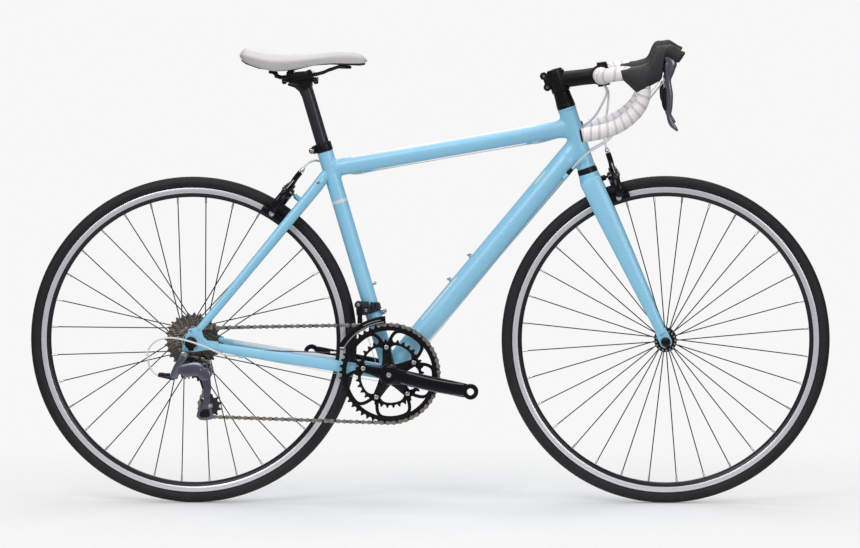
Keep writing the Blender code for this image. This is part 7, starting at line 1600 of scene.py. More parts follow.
# Brakes
def build_brakes():
    calipers = (
        ("front", Vector((0.370771, 0.0, 0.672303)), Vector((0.949972, 0.0, 0.312335)), -HEAD_UP, 0.047),
        ("rear", Vector((-0.281953, 0.0, 0.638408)), Vector((-0.774599, 0.0, 0.632453)),
        Vector((-0.632453, 0.0, -0.774599)), 0.0562),
    )
    for word, centre, along, hang, reach in calipers:
        for name, side in (("right", -1), ("left", 1)):
            shape = Shape(f"{word}_brake_arm_{name}_forged", look("silver"), look("gloss"), look("pad"))
            pad = centre + hang * reach + along * 0.004
            shape.look = 1
            rows = []
            shift = 0.0095 if side < 0 else 0.0035
            bends = ((-0.013, -0.008, 0.0045), (-0.004, 0.006, 0.008), (0.008, 0.024, 0.0075),
                (0.02, 0.0325, 0.0062), (0.034, 0.034, 0.0058))
            if side > 0:
                bends = ((0.0035, -0.029, 0.004), (0.002, -0.02, 0.0048),
                    (-0.001, -0.004, 0.0075)) + bends[2:]
            for drop, out, wide in bends:
                rows.append((centre + hang * drop + SIDE * (side * out) + along * shift, wide * 1.15,
                    0.0086))
            rows.append((pad + SIDE * (side * 0.029) - hang * 0.004 + along * 0.002, 0.0056, 0.008))
            shape.tube(rows, 32, up=along, square=0.8, steps=5)
            spoke = (pad - (FRONT_AXLE if word == "front" else REAR_AXLE)).normalized()
            shoe = pad + SIDE * (side * 0.0185)
            shape.block(shoe - along * 0.004, SIDE.cross(spoke), spoke, (0.054, 0.012, 0.008))
            shape.look = 2
            shape.block(shoe - along * 0.004 - SIDE * (side * 0.0022), SIDE.cross(spoke), spoke,
                (0.05, 0.0095, 0.006))
            shape.look = 1
            shape.rod(shoe - SIDE * (side * 0.002), pad + SIDE * (side * 0.03), 0.005, 24, 0.0006)
            if side < 0:
                rows = []
                for drop, out, wide in ((0.002, 0.002, 0.008), (-0.014, -0.012, 0.0062),
                        (-0.03, -0.021, 0.005), (-0.047, -0.024, 0.0052)):
                    rows.append((
                        centre + hang * drop + SIDE * out + along * (0.0098 + 0.0017 * (drop < -0.02)),
                        wide, 0.0056))
                shape.tube(rows, 28, up=along, square=0.8, steps=5)
                shape.rod(centre + along * 0.004, centre + along * 0.019, 0.0122, 40, 0.002)
                shape.look = 0
                bolt_head(shape, centre + along * 0.0188, along, 0.006, 0.0022)
            shape.look = 1
            shape.rod(pad + SIDE * (side * 0.022), pad + SIDE * (side * 0.03), 0.008, 32, 0.0014)
            shape.look = 0
            bolt_head(shape, pad + SIDE * (side * 0.0298), SIDE * side, 0.0058, 0.0018)
            if side < 0:
                barrel = centre - hang * 0.0525 + along * 0.0115 - SIDE * 0.024
                shape.rod(barrel + hang * 0.004, barrel - hang * 0.001, 0.0048, 24, 0.0006)
                shape.turned(barrel - hang * 0.001, -hang,
                    [(0.0, 0.0), (0.0, 0.0042), (0.004, 0.0034), (0.005, 0.0031), (0.005, 0.0)], 24)
            else:
                clamp = centre + hang * 0.004 + along * 0.015 - SIDE * 0.024
                shape.look = 1
                shape.rod(clamp - along * 0.012, clamp, 0.0056, 24, 0.0006)
                shape.look = 0
                bolt_head(shape, clamp - along * 0.0002, along, 0.004, 0.0016)
            place(shape.finish(0.001), f"{word}_brake_{name}", "black_anodised", f"{word}_brake_arm_{name}")


# Chain and toothed wheels
def pitch_radius(teeth):
    return CHAIN_PITCH / (2 * math.sin(math.pi / teeth))


SPROCKET_SIDE = -(FIRST_SPROCKET - SPROCKET_PITCH * CHAIN_SPROCKET)
GUIDE_AT = REAR_AXLE + Vector((0.0175, 0.0, -0.0575))
CAGE_LENGTH = 0.0764


class Wheel:
    def __init__(self, centre, teeth, turn, side):
        self.centre = centre
        self.teeth = teeth
        self.turn = turn
        self.side = side
        self.radius = pitch_radius(teeth)


def flat_place(centre, radius, angle):
    """Where a circle's point lies for a direction of travel."""
    return centre + Vector((math.sin(angle), 0.0, -math.cos(angle))) * radius


def lay_chain(cage_angle):
    """The wheels that the chain runs round, its straight spans and its length in links."""
    tension = GUIDE_AT + direction(cage_angle) * CAGE_LENGTH
    wheels = [
        Wheel(BRACKET, RING_TEETH, 1, -CHAIN_LINE),
        Wheel(REAR_AXLE, SPROCKETS[CHAIN_SPROCKET], 1, SPROCKET_SIDE),
        Wheel(GUIDE_AT, PULLEY_TEETH, -1, SPROCKET_SIDE), Wheel(tension, PULLEY_TEETH, 1, SPROCKET_SIDE),
    ]
    travel = []
    for index, first in enumerate(wheels):
        second = wheels[(index + 1) % 4]
        gap = second.centre - first.centre
        lean = math.asin((second.turn * second.radius - first.turn * first.radius) / gap.length)
        travel.append(math.atan2(gap.z, gap.x) - lean)
    u = 0.0
    spans = []
    for index, wheel in enumerate(wheels):
        arrive, leave = travel[index - 1], travel[index]
        wheel.first_u = u
        wheel.arrive = arrive
        u += ((leave - arrive) * wheel.turn) % (2 * math.pi) * wheel.teeth / (2 * math.pi)
        wheel.last_u = u
        other = wheels[(index + 1) % 4]
        start = flat_place(wheel.centre, wheel.turn * wheel.radius, leave)
        end = flat_place(other.centre, other.turn * other.radius, leave)
        length = (end - start).length / CHAIN_PITCH
        spans.append((u, u + length, start, end, wheel.side, other.side))
        u += length
    return wheels, spans, u


def fitted_chain():
    """Turns the cage until the chain has a whole, even number of links."""
    low, high = math.radians(-91.0), math.radians(-63.0)
    links = 2 * round(lay_chain(math.radians(-77.0))[2] / 2)
    rising = lay_chain(high)[2] > lay_chain(low)[2]
    for attempt in range(40):
        middle = (low + high) / 2
        if (lay_chain(middle)[2] > links) == rising:
            high = middle
        else:
            low = middle
    return lay_chain(middle), links


(CHAIN_WHEELS, CHAIN_SPANS, CHAIN_TOTAL), CHAIN_LINKS = fitted_chain()


def chain_place(u):
    u %= CHAIN_TOTAL
    for wheel in CHAIN_WHEELS:
        if wheel.first_u <= u < wheel.last_u:
            travel = wheel.arrive + wheel.turn * (u - wheel.first_u) * 2 * math.pi / wheel.teeth
            return flat_place(wheel.centre, wheel.turn * wheel.radius, travel) + SIDE * wheel.side
    for first, last, start, end, side, next_side in CHAIN_SPANS:
        if first <= u < last:
            share = (u - first) / (last - first)
            return between(start, end, share) + SIDE * (side + (next_side - side) * share)
    return chain_place(u - 1e-9)


def pin_angle(wheel):
    """The angle, about the wheel's centre, of one chain pin on it."""
    pin = math.ceil(wheel.first_u + 0.01)
    spot = chain_place(pin) - wheel.centre
    return math.atan2(spot.z, spot.x)


def link_piece(name, plate_in, plate_out, roller):
    """One link: two waisted plates, and either rollers or pins at its ends."""
    shape = Shape(name, look("steel"))
    half = CHAIN_PITCH / 2
    outline = arc((half, 0.0), 0.0043, -130, 130, 12) + [(0.0, 0.0023)]
    outline += arc((-half, 0.0), 0.0043, 50, 310, 12) + [(0.0, -0.0023)]
    for side in (-1, 1):
        shape.plate(outline, SIDE * (side * plate_in), AHEAD, UP, SIDE * (side * (plate_out - plate_in)))
    for end in (-half, half):
        radius, reach = (0.0038, plate_in) if roller else (0.0018, plate_out + 0.0001)
        shape.rod(AHEAD * end - SIDE * reach, AHEAD * end + SIDE * reach, radius, 16, 0.0002)
    return shape.finish(0.00012)


def build_chain():
    spots = ([], [])
    for link in range(CHAIN_LINKS):
        first, second = chain_place(link), chain_place(link + 1)
        along = second - first
        flat = Vector((along.x, 0.0, along.z))
        turn = Matrix.Rotation(-math.atan2(along.z, along.x), 3, "Y")
        turn = turn @ Matrix.Rotation(math.atan2(along.y, flat.length), 3, "Z")
        spots[link % 2].append(((first + second) / 2, turn))
    outer = copies("chain_outer_links", link_piece("outer_link", 0.0019, 0.0027, False), spots[0],
        look("steel"))
    place(outer, "frame", "chain_steel", "chain")
    inner = copies("chain_inner_links", link_piece("inner_link", 0.0011, 0.0018, True), spots[1],
        look("inner"))
    place(inner, "frame", "chain_steel")


def plain_edge(radius):
    """An edge with the same radius all round."""
    return lambda angle: radius


def tooth_radius(teeth, first_pin, tip=0.0026, roller=0.0039):
    """The radius of a toothed edge for an angle: round valleys for the rollers, and teeth between."""
    pitch = pitch_radius(teeth)
    step = 2 * math.pi / teeth

    def reach(angle):
        away = (angle - first_pin) / step
        lean = (away - round(away)) * step
        aside = abs(pitch * math.sin(lean))
        if aside < roller:
            return pitch * math.cos(lean) - math.sqrt(max(roller**2 - aside**2, 0.0)) * 0.98
        rise = (aside - roller) / (CHAIN_PITCH / 2 - roller)
        return pitch + tip * math.sin(min(rise, 1.0) * math.pi / 2)

    return reach


BOLT_ANGLES = [CRANK_ANGLE + math.radians(36 + 72 * index) for index in range(5)]


def scalloped(base, deep, spread):
    def reach(angle):
        nearest = min(abs((angle - bolt + math.pi) % (2 * math.pi) - math.pi) for bolt in BOLT_ANGLES)
        return base - deep * math.exp(-((math.degrees(nearest) / spread) ** 2))

    return reach


def build_chainring():
    centre = BRACKET - SIDE * CHAIN_LINE
    shape = Shape("chainring_large_toothed", look("gloss"))
    outer = tooth_radius(RING_TEETH, pin_angle(CHAIN_WHEELS[0]))
    shape.annulus(centre, outer, plain_edge(0.0886), 0.0019, RING_TEETH * 10)
    edge = scalloped(0.0872, 0.038, 10.0)
    for index, bolt in enumerate(BOLT_ANGLES):
        line = []
        for step in range(37):
            angle = bolt + math.radians(1.5 + 69.0 * step / 36)
            line.append(centre + direction(angle) * (edge(angle) + 0.003))
        normals = []
        for step in range(37):
            along = line[min(step + 1, 36)] - line[max(step - 1, 0)]
            normals.append(SIDE.cross(along).normalized())
        shape.ribbon([point - SIDE * 0.0012 for point in line], normals, 0.007, SIDE * 0.0024)
        eye = centre + direction(bolt) * BOLT_CIRCLE
        shape.rod(eye - SIDE * 0.0012, eye + SIDE * 0.0012, 0.0084, 32, 0.0003)
    place(shape.finish(0.0002), "crankset", "gloss_black", "chainring_large")


def crank(name, side):
    shape = Shape(name, look("gloss"), look("black"), look("silver"), look("grey"))
    reach = direction(CRANK_ANGLE) * CRANK_LENGTH * (-1.0 if side > 0 else 1.0)
    stations = []
    rows = (
        (-0.03, CRANK_OFFSET + 0.002, 0.005, 1.2), (0.03, CRANK_OFFSET + 0.0025, 0.0068, 1.3),
        (0.1, CRANK_OFFSET + 0.003, 0.0066, 1.08),
        (0.22, CRANK_OFFSET + 0.0035, 0.0062, 1.04),
        (0.6, CRANK_OFFSET + 0.0055, 0.006, 1.0), (0.9, CRANK_OFFSET + 0.00615, 0.0061, 0.98),
        (0.948, CRANK_OFFSET + 0.00625, 0.006, 0.9),
    )
    for share, out, half, tall in rows:
        stations.append((BRACKET + reach * share + SIDE * (side * out), half, 0.015 * tall))
    shape.tube(stations, 40, up=SIDE.cross(reach.normalized()), square=0.75, steps=6)
    across = SIDE.cross(reach.normalized())
    # Two thin grey strips along the arm's upper and lower edges: painted highlights standing in for the light
    # caught along those edges
    shape.look = 3
    for height, first, last, lift in ((0.0112, 0.16, 0.93, 0.00005), (-0.0118, 0.2, 0.9, -0.0002)):
        rows = []
        for step in range(25):
            share = first + (last - first) * step / 24
            bend = 0.0028 * math.sin(math.pi * step / 24)
            out = CRANK_OFFSET + 0.0081 + 0.0037 * share + lift
            rows.append((BRACKET + reach * share + across * (height + bend) + SIDE * (side * out), 0.0011,
                0.0013))
        shape.tube(rows, 12, up=across, steps=1)
    shape.look = 0
    eye = BRACKET + reach
    inner, outer = SIDE * (side * CRANK_OFFSET), SIDE * (side * (CRANK_OFFSET + CRANK_THICKNESS))
    shape.rod(eye + inner, eye + outer, 0.016, 48, 0.0012, bore=0.0074)
    shape.look = 2
    shape.rod(eye + inner * 1.004, eye + outer * 0.996, 0.0076, 32, 0.0002, bore=0.007)
    shape.look = 0
    face = CRANK_OFFSET + CRANK_THICKNESS - 0.002
    hub = [(0.043, 0.0), (0.043, 0.02), (0.05, 0.0222), (0.066, 0.0215), (face - 0.003, 0.019),
        (face, 0.016), (face, 0.0)]
    shape.turned(BRACKET, SIDE * side, hub, 56)
    shape.look = 2
    bolt_head(shape, BRACKET + SIDE * (side * (face - 0.0003)), SIDE * side, 0.0048, 0.001, 32)
    return shape


def build_cranks():
    shape = crank("crank_right_arm_and_spider", -1)
    shape.look = 0
    for angle in BOLT_ANGLES:
        out = direction(angle)
        stations = [(BRACKET + out * 0.014 - SIDE * 0.0475, 0.015, 0.0044),
            (BRACKET + out * 0.03 - SIDE * 0.0456, 0.0112, 0.0034)]
        stations += [(BRACKET + out * 0.05 - SIDE * 0.0443, 0.0086, 0.0015),
            (BRACKET + out * 0.0635 - SIDE * 0.0443, 0.006, 0.0012)]
        shape.tube(stations, 24, up=SIDE, square=0.7, steps=4)
    shape.turned(BRACKET, -SIDE, [(-0.069, 0.0), (-0.069, 0.0118), (0.0432, 0.0118), (0.0432, 0.0)], 40)
    shape.look = 1
    outer = tooth_radius(SMALL_RING_TEETH, 0.3)
    shape.annulus(BRACKET - SIDE * (CHAIN_LINE - RING_SPACING), outer, scalloped(0.06, 0.012, 12.0), 0.0019,
        SMALL_RING_TEETH * 8)
    shape.look = 2
    for angle in BOLT_ANGLES:
        centre = BRACKET + direction(angle) * BOLT_CIRCLE
        shape.rod(centre - SIDE * 0.0385, centre - SIDE * 0.0478, 0.0046, 24)
        bolt_head(shape, centre - SIDE * 0.0477, -SIDE, 0.0046, 0.0014, 24)
    place(shape.finish(), "crankset", "gloss_black", "crank_right")
    shape = crank("crank_left_arm", 1)
    place(shape.finish(), "crankset", "gloss_black", "crank_left")


def build_cassette():
    shape = Shape("cassette_sprockets", look("cog"), look("black"), look("silver"))
    for index, teeth in enumerate(SPROCKETS):
        centre = REAR_AXLE - SIDE * (FIRST_SPROCKET - SPROCKET_PITCH * index)
        first = pin_angle(CHAIN_WHEELS[1]) if index == CHAIN_SPROCKET else 0.13 * index
        inner = plain_edge(max(0.018, pitch_radius(teeth) - 0.0135))
        shape.annulus(centre, tooth_radius(teeth, first, 0.0021), inner, 0.0017, teeth * 10)
    shape.look = 1
    core = [(0.021, 0.0172), (0.021, 0.03), (0.03, 0.0262), (0.04, 0.0225), (0.048, 0.0205), (0.058, 0.0196),
        (0.058, 0.0172)]
    shape.turned(REAR_AXLE, -SIDE, core, 48, closed=True)
    shape.look = 2
    ring = [(0.058, 0.0172), (0.058, 0.0205), (0.0598, 0.02), (0.06, 0.0172)]
    shape.turned(REAR_AXLE, -SIDE, ring, 48, closed=True)
    place(shape.finish(0.00015), "cassette", "chain_steel", "cassette")


def build_gears():
    """The gear mechs, with their rollers."""
    refined("front_derailleur", [look("mech")], "frame", "black_anodised", 0.0009)
    refined("front_derailleur_cage", [look("gloss")], "front_derailleur_cage", "grey_blue_metal", 0.0004)
    edge = pitch_radius(RING_TEETH)
    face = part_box("front_derailleur_cage")[0][1]
    shape = Shape("front_derailleur_cage_edge", look("silver"))
    for reach, first, last, wide in ((0.006, 96, 152, 0.0022), (0.011, 99, 118, 0.0016)):
        line, normals = [], []
        for step in range(33):
            turn = math.radians(first + (last - first) * step / 32)
            line.append(BRACKET + direction(turn) * (edge + reach) + SIDE * (face - 0.0002))
            normals.append(direction(turn))
        shape.ribbon(line, normals, wide, SIDE * 0.001)
    tail = BRACKET + direction(math.radians(151)) * (edge + 0.01) + SIDE * (face + 0.0002)
    shape.rod(tail - AHEAD * 0.004 - SIDE * 0.0001, tail + AHEAD * 0.006 - SIDE * 0.0001, 0.0014, 16, 0.0003)
    place(shape.finish(), "front_derailleur_cage", "grey_blue_metal")
    shape = Shape("front_derailleur_linkage", look("mech"), look("silver"))

    def by_bracket(ahead, side, rise):
        return BRACKET + Vector((ahead, side, rise))

    shape.block(by_bracket(-0.056, -0.0225, 0.1365), AHEAD, UP, (0.025, 0.02, 0.02))
    shape.rod(by_bracket(-0.064, -0.0335, 0.14), by_bracket(-0.064, -0.012, 0.14), 0.0078, 32, 0.0012)
    shape.rod(by_bracket(-0.048, -0.0325, 0.129), by_bracket(-0.048, -0.012, 0.129), 0.0085, 32, 0.0012)
    for ahead in (-0.0345, -0.0255):
        shape.rod(by_bracket(ahead, -0.0225, 0.1325), by_bracket(ahead, -0.0225, 0.1455), 0.005, 24, 0.0012)
    shape.look = 1
    bolt_head(shape, by_bracket(-0.064, -0.0334, 0.14), -SIDE, 0.0034, 0.001)
    bolt_head(shape, by_bracket(-0.048, -0.0324, 0.129), -SIDE, 0.003, 0.001)
    shape.rod(by_bracket(-0.02, -0.014, 0.129), by_bracket(-0.008, -0.014, 0.1265), 0.0022, 16, 0.0003)
    for ahead in (-0.012, -0.008):
        shape.rod(by_bracket(ahead, -0.014, 0.131), by_bracket(ahead, -0.014, 0.123), 0.0016, 16, 0.0003)
    place(shape.finish(0.0016), "frame", "black_anodised")
    refined("rear_derailleur_body", [look("mech")], "rear_derailleur_body", "grey_blue_metal", 0.0012)
    refined("rear_derailleur_link", [look("mech")], "rear_derailleur_link", "grey_blue_metal", 0.0009)
    refined("rear_derailleur_knuckle", [look("grey")], "rear_derailleur_knuckle", "grey_blue_metal", 0.0012)

    def by_axle(ahead, side, rise):
        return REAR_AXLE + Vector((ahead, side, rise))

    shape = Shape("rear_derailleur_mount", look("grey"), look("silver"), look("black"))
    bolt = by_axle(-0.0135, -0.082, -0.024)
    shape.rod(bolt + SIDE * 0.008, bolt - SIDE * 0.003, 0.01, 40, 0.0016)
    shape.tube([(by_axle(-0.014, -0.083, -0.026), 0.004, 0.0085),
        (by_axle(-0.023, -0.083, -0.042), 0.0045, 0.0078), (by_axle(-0.032, -0.078, -0.062), 0.005, 0.0085),
        (by_axle(-0.0345, -0.075, -0.072), 0.0046, 0.0075)], 32, up=AHEAD, steps=5)
    shape.look = 1
    bolt_head(shape, bolt - SIDE * 0.003, -SIDE, 0.0062, 0.0014, 32)
    shape.look = 2
    adjuster = by_axle(-0.0665, -0.072, -0.0655)
    shape.turned(adjuster, AHEAD, [(0.0, 0.0), (0.0, 0.0034), (0.0012, 0.0044), (0.01, 0.0046),
        (0.011, 0.0034), (0.024, 0.0034), (0.024, 0.0)], 24)
    place(shape.finish(), "rear_derailleur_body", "grey_blue_metal")

    shape = Shape("rear_derailleur_cover", look("grey"), look("silver"))
    rows = (
        (-0.024, -0.0575, 0.006), (-0.018, -0.056, 0.0118), (-0.004, -0.054, 0.014), (0.01, -0.0525, 0.0145),
        (0.021, -0.054, 0.0128),
        (0.025, -0.0555, 0.007),
    )
    stations = []
    for ahead, rise, tall in rows:
        stations.append((by_axle(ahead, -0.084 - 0.16 * (ahead + 0.0155), rise), 0.0042, tall))
    shape.tube(stations, 36, square=0.8, steps=5)
    shape.look = 1
    for ahead in (-0.01, -0.003):
        bolt_head(shape, by_axle(ahead, -0.086, -0.066), -UP, 0.002, 0.007)
    place(shape.finish(), "rear_derailleur_link", "grey_blue_metal")

    shape = Shape("rear_derailleur_pivot_housing", look("grey"), look("mech"))
    rows = ((0.019, -0.056, 0.006), (0.0225, -0.058, 0.011), (0.029, -0.063, 0.0135), (0.035, -0.068, 0.011),
        (0.0385, -0.071, 0.006))
    shape.tube([(by_axle(ahead, -0.09, rise), 0.0048, tall) for ahead, rise, tall in rows], 36, square=0.85,
        steps=5)
    shape.rod(by_axle(0.0175, -0.064, -0.0575), by_axle(0.0175, -0.09, -0.0575), 0.0095, 40, 0.0012)
    place(shape.finish(), "rear_derailleur_knuckle", "grey_blue_metal")

    low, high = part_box("rear_derailleur_cage")
    shape = Shape("rear_derailleur_cage_plates", look("grey"), look("black"), look("silver"))
    outline = ((0.013, -0.048), (0.023, -0.048), (0.031, -0.056), (0.0385, -0.078), (0.04, -0.093),
        (0.0375, -0.11), (0.0385, -0.124), (0.042, -0.14), (0.0445, -0.1545))
    outline += ((0.0405, -0.159), (0.027, -0.161), (0.016, -0.16), (0.009, -0.153), (0.011, -0.143),
        (0.019, -0.13), (0.024, -0.117), (0.025, -0.098), (0.02, -0.08), (0.008, -0.064), (0.007, -0.055))
    shape.plate(list(outline), Vector((REAR_AXLE.x, low[1], REAR_AXLE.z)), AHEAD, UP, SIDE * 0.0018)
    shape.look = 1
    window = ((0.024, -0.137), (0.0345, -0.138), (0.0375, -0.151), (0.034, -0.1545), (0.02, -0.1555),
        (0.015, -0.152), (0.0165, -0.145))
    shape.plate(list(window), Vector((REAR_AXLE.x, low[1] - 0.0003, REAR_AXLE.z)), AHEAD, UP, SIDE * 0.001)
    guide, tension = CHAIN_WHEELS[2].centre, CHAIN_WHEELS[3].centre
    line = [Vector((between(guide, tension, share).x, high[1] - 0.0017,
        between(guide, tension, share).z)) for share in (-0.12, 0.0, 0.5, 1.0, 1.12)]
    across = SIDE.cross((tension - guide).normalized())
    shape.ribbon(line, [across * width for width in (0.5, 1.0, 0.75, 1.0, 0.5)], 0.019, SIDE * 0.0017)
    for centre in (guide, tension):
        spot = Vector((centre.x, 0.0, centre.z))
        shape.look = 1
        shape.rod(spot + SIDE * (low[1] + 0.001), spot + SIDE * (high[1] - 0.001), 0.0028, 20)
        shape.look = 2
        bolt_head(shape, spot + SIDE * (low[1] + 0.0002), -SIDE, 0.0036, 0.0012)
    place(shape.finish(0.0004), "rear_derailleur_cage", "black_anodised", "rear_derailleur_cage")
    for word, wheel in (("guide", CHAIN_WHEELS[2]), ("tension", CHAIN_WHEELS[3])):
        centre = wheel.centre + SIDE * SPROCKET_SIDE
        shape = Shape(f"{word}_pulley_toothed", look("plastic"), look("silver"))
        inner = plain_edge(0.0052)
        shape.annulus(centre, tooth_radius(PULLEY_TEETH, pin_angle(wheel), 0.002), inner, 0.002,
            PULLEY_TEETH * 12)
        shape.look = 1
        shape.rod(centre - SIDE * 0.003, centre + SIDE * 0.003, 0.006, 24, 0.0003, bore=0.0031)
        place(shape.finish(0.0002), f"{word}_pulley", "black_plastic", f"{word}_pulley")


# Cables
def cord_mesh(name):
    """A solid cord's mesh in quads, its thin spans in the second look."""
    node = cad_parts[name]
    shape = bmesh.new()
    shape.from_mesh(node.data)
    shape.transform(node.matrix_world)
    bmesh.ops.remove_doubles(shape, verts=shape.verts, dist=1e-6)
    bmesh.ops.join_triangles(shape, faces=shape.faces, angle_face_threshold=0.7, angle_shape_threshold=3.1)
    bmesh.ops.recalc_face_normals(shape, faces=shape.faces)
    if name == "rear_brake_cable":
        long = (TOP_HEAD - TOP_SEAT).length
        for vert in shape.verts:
            along = (vert.co - TOP_SEAT).dot(TOP_ALONG)
            past = max(0.155 * long - along, along - 0.815 * long, 0.0)
            vert.co -= TOP_DOWN * (WIRE_LIFT * max(1 - past / 0.07, 0.0) ** 2)
    for face in shape.faces:
        face.material_index = 1 if min(edge.calc_length() for edge in face.edges) < 0.0014 else 0
    return shape


def build_cables():
    for name, body in (("front_brake_cable", "steering"), ("rear_brake_cable", None),
            ("front_shift_cable", None), ("rear_shift_cable", None)):
        shape = cord_mesh(name)
        mesh = bpy.data.meshes.new(name)
        shape.to_mesh(mesh)
        shape.free()
        mesh.materials.clear()
        for word in ("housing", "wire"):
            mesh.materials.append(look(word))
        made = bpy.data.objects.new(name + "_housing", mesh)
        bpy.context.scene.collection.objects.link(made)
        step = made.modifiers.new("Rounded", "SUBSURF")
        step.levels = 2
        step.render_levels = 2
        realise(made)
        shade(made, 50.0)
        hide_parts(name)
        if body:
            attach(made, body)
        else:
            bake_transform(made)


# Stage
# The camera, fitted to the photo
CAMERA_PLACE = (0.3777, -10.0, 1.1963)
CAMERA_TURNS = (-2.1508, 4.1444, -0.1992)  # yaw, pitch and roll, in degrees
CAMERA_LENS = 204.76  # in millimetres, on a sensor 36 mm wide


def build_stage():
    settings = stated()
    mesh = bpy.data.meshes.new("studio_floor")
    reach = 3.0
    mesh.from_pydata([(-reach, -reach, 0.0), (reach, -reach, 0.0), (reach, reach, 0.0),
        (-reach, reach, 0.0)], [], [(0, 1, 2, 3)])
    floor = bpy.data.objects.new("studio_floor", mesh)
    bpy.context.scene.collection.objects.link(floor)
    made = Look("pale_floor")
    tone = made.mix(made.noise(2.0), settings.floor_colour, shaded(settings.floor_colour, 0.99))
    x, y, z = made.place()
    far = (x * x * 0.45 + y * y) ** 0.5
    fade = made.ramp(far, 1.0, 0.0, 0.25, 1.15)
    mesh.materials.append(made.surface(colour=tone, roughness=made.ramp(made.noise(3.0), 0.85, 0.95),
        alpha=fade))
    floor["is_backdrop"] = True

    world = bpy.data.worlds.new("studio")
    bpy.context.scene.world = world
    world.use_nodes = True
    nodes, links = world.node_tree.nodes, world.node_tree.links
    nodes.clear()
    rays = nodes.new("ShaderNodeLightPath")
    mixed = nodes.new("ShaderNodeMix")
    mixed.data_type = "RGBA"
    mixed.inputs[6].default_value = (0.27, 0.275, 0.285, 1.0)
    mixed.inputs[7].default_value = (0.93, 0.93, 0.93, 1.0)
    links.new(rays.outputs["Is Camera Ray"], mixed.inputs[0])
    back = nodes.new("ShaderNodeBackground")
    back.inputs["Strength"].default_value = 1.0
    links.new(mixed.outputs[2], back.inputs["Color"])
    out = nodes.new("ShaderNodeOutputWorld")
    links.new(back.outputs[0], out.inputs["Surface"])

    lamps = (
        ("key_lamp", (-1.6, -3.2, 3.0), 2.6, 80.0), ("fill_lamp", (2.6, -3.0, 1.8), 2.2, 38.0),
        ("top_lamp", (0.0, 0.2, 3.6), 3.0, 55.0), ("back_lamp", (0.4, 3.4, 2.2), 2.6, 40.0),
    )
    for name, spot, size, power in lamps:
        data = bpy.data.lights.new(name, "AREA")
        data.shape = "DISK"
        data.size = size
        data.energy = power * settings.lamp_power
        lamp = bpy.data.objects.new(name, data)
        lamp.location = spot
        aim = Vector((0.0, 0.0, 0.45)) - Vector(spot)
        lamp.rotation_euler = aim.to_track_quat("-Z", "Y").to_euler()
        bpy.context.scene.collection.objects.link(lamp)
        lamp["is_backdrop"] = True

    data = bpy.data.cameras.new("camera")
    data.sensor_width = 36.0
    data.lens = CAMERA_LENS
    data.clip_end = 200.0
    camera = bpy.data.objects.new("camera", data)
    yaw, pitch, roll = (math.radians(turn) for turn in CAMERA_TURNS)
    ahead = Vector((math.sin(yaw) * math.cos(pitch), math.cos(yaw) * math.cos(pitch), -math.sin(pitch)))
    right = Vector((math.cos(yaw), -math.sin(yaw), 0.0))
    above = right.cross(ahead)
    right = right * math.cos(roll) + above * math.sin(roll)
    above = right.cross(ahead)
    matrix = Matrix((right, above, -ahead)).transposed().to_4x4()
    matrix.translation = Vector(CAMERA_PLACE)
    camera.matrix_world = matrix
    bpy.context.scene.collection.objects.link(camera)
    bpy.context.scene.camera = camera
    bpy.context.scene.view_settings.view_transform = "Standard"


# Settings, operators and panel
class RoadBikeSettings(bpy.types.PropertyGroup):
    """Sizes and colours that a user may change before building"""

    paint_colour: bpy.props.FloatVectorProperty(
        name="Paint colour", description="Colour of the frame and fork", subtype="COLOR", size=3, min=0.0,
        max=1.0, default=(0.295, 0.635, 0.85))
    tape_colour: bpy.props.FloatVectorProperty(
        name="Tape colour", description="Colour of the bar tape", subtype="COLOR", size=3, min=0.0, max=1.0,
        default=(0.92, 0.875, 0.885))
    saddle_colour: bpy.props.FloatVectorProperty(
        name="Saddle colour", description="Colour of the saddle's cover", subtype="COLOR", size=3, min=0.0,
        max=1.0, default=(0.58, 0.56, 0.555))
    floor_colour: bpy.props.FloatVectorProperty(
        name="Floor colour", description="Colour of the studio floor", subtype="COLOR", size=3, min=0.0,
        max=1.0, default=(0.9, 0.9, 0.9))
    spoke_radius: bpy.props.FloatProperty(
        name="Spoke radius", description="Radius of each spoke", unit="LENGTH", min=0.0006, max=0.002,
        default=0.00115)
    wrap_pitch: bpy.props.FloatProperty(
        name="Tape pitch", description="Distance along the bar from one turn of tape to the next",
        unit="LENGTH", min=0.01, max=0.04, default=0.0172)
    wrap_ridge: bpy.props.FloatProperty(
        name="Tape ridge", description="How far each turn of tape stands proud", unit="LENGTH", min=0.0,
        max=0.003, default=0.0006)
    holes_round: bpy.props.IntProperty(
        name="Holes round the bar", description="Number of small holes in the tape in one turn", min=4,
        max=60, default=20)
    lamp_power: bpy.props.FloatProperty(
        name="Lamp power", description="Multiplies the power of every lamp", min=0.0, max=10.0, default=1.0)


class ROADBIKE_OT_tyres(bpy.types.Operator):
    """Build both tyres"""

    bl_idname = "roadbike.tyres"
    bl_label = "Tyres"

    def execute(self, context):
        build_tyres()
        return {"FINISHED"}


class ROADBIKE_OT_rims(bpy.types.Operator):
    """Build both rims"""

    bl_idname = "roadbike.rims"
    bl_label = "Rims"

    def execute(self, context):
        build_rims()
        return {"FINISHED"}


class ROADBIKE_OT_hubs(bpy.types.Operator):
    """Build the hubs with their spokes"""

    bl_idname = "roadbike.hubs"
    bl_label = "Hubs and spokes"

    def execute(self, context):
        build_hubs()
        return {"FINISHED"}


class ROADBIKE_OT_skewers(bpy.types.Operator):
    """Build the axles and their quick-release levers"""

    bl_idname = "roadbike.skewers"
    bl_label = "Axles and quick releases"

    def execute(self, context):
        build_skewers()
        return {"FINISHED"}


class ROADBIKE_OT_frame(bpy.types.Operator):
    """Build the frame's tubes, stays and welds"""

    bl_idname = "roadbike.frame"
    bl_label = "Frame"

    def execute(self, context):
        build_frame()
        return {"FINISHED"}


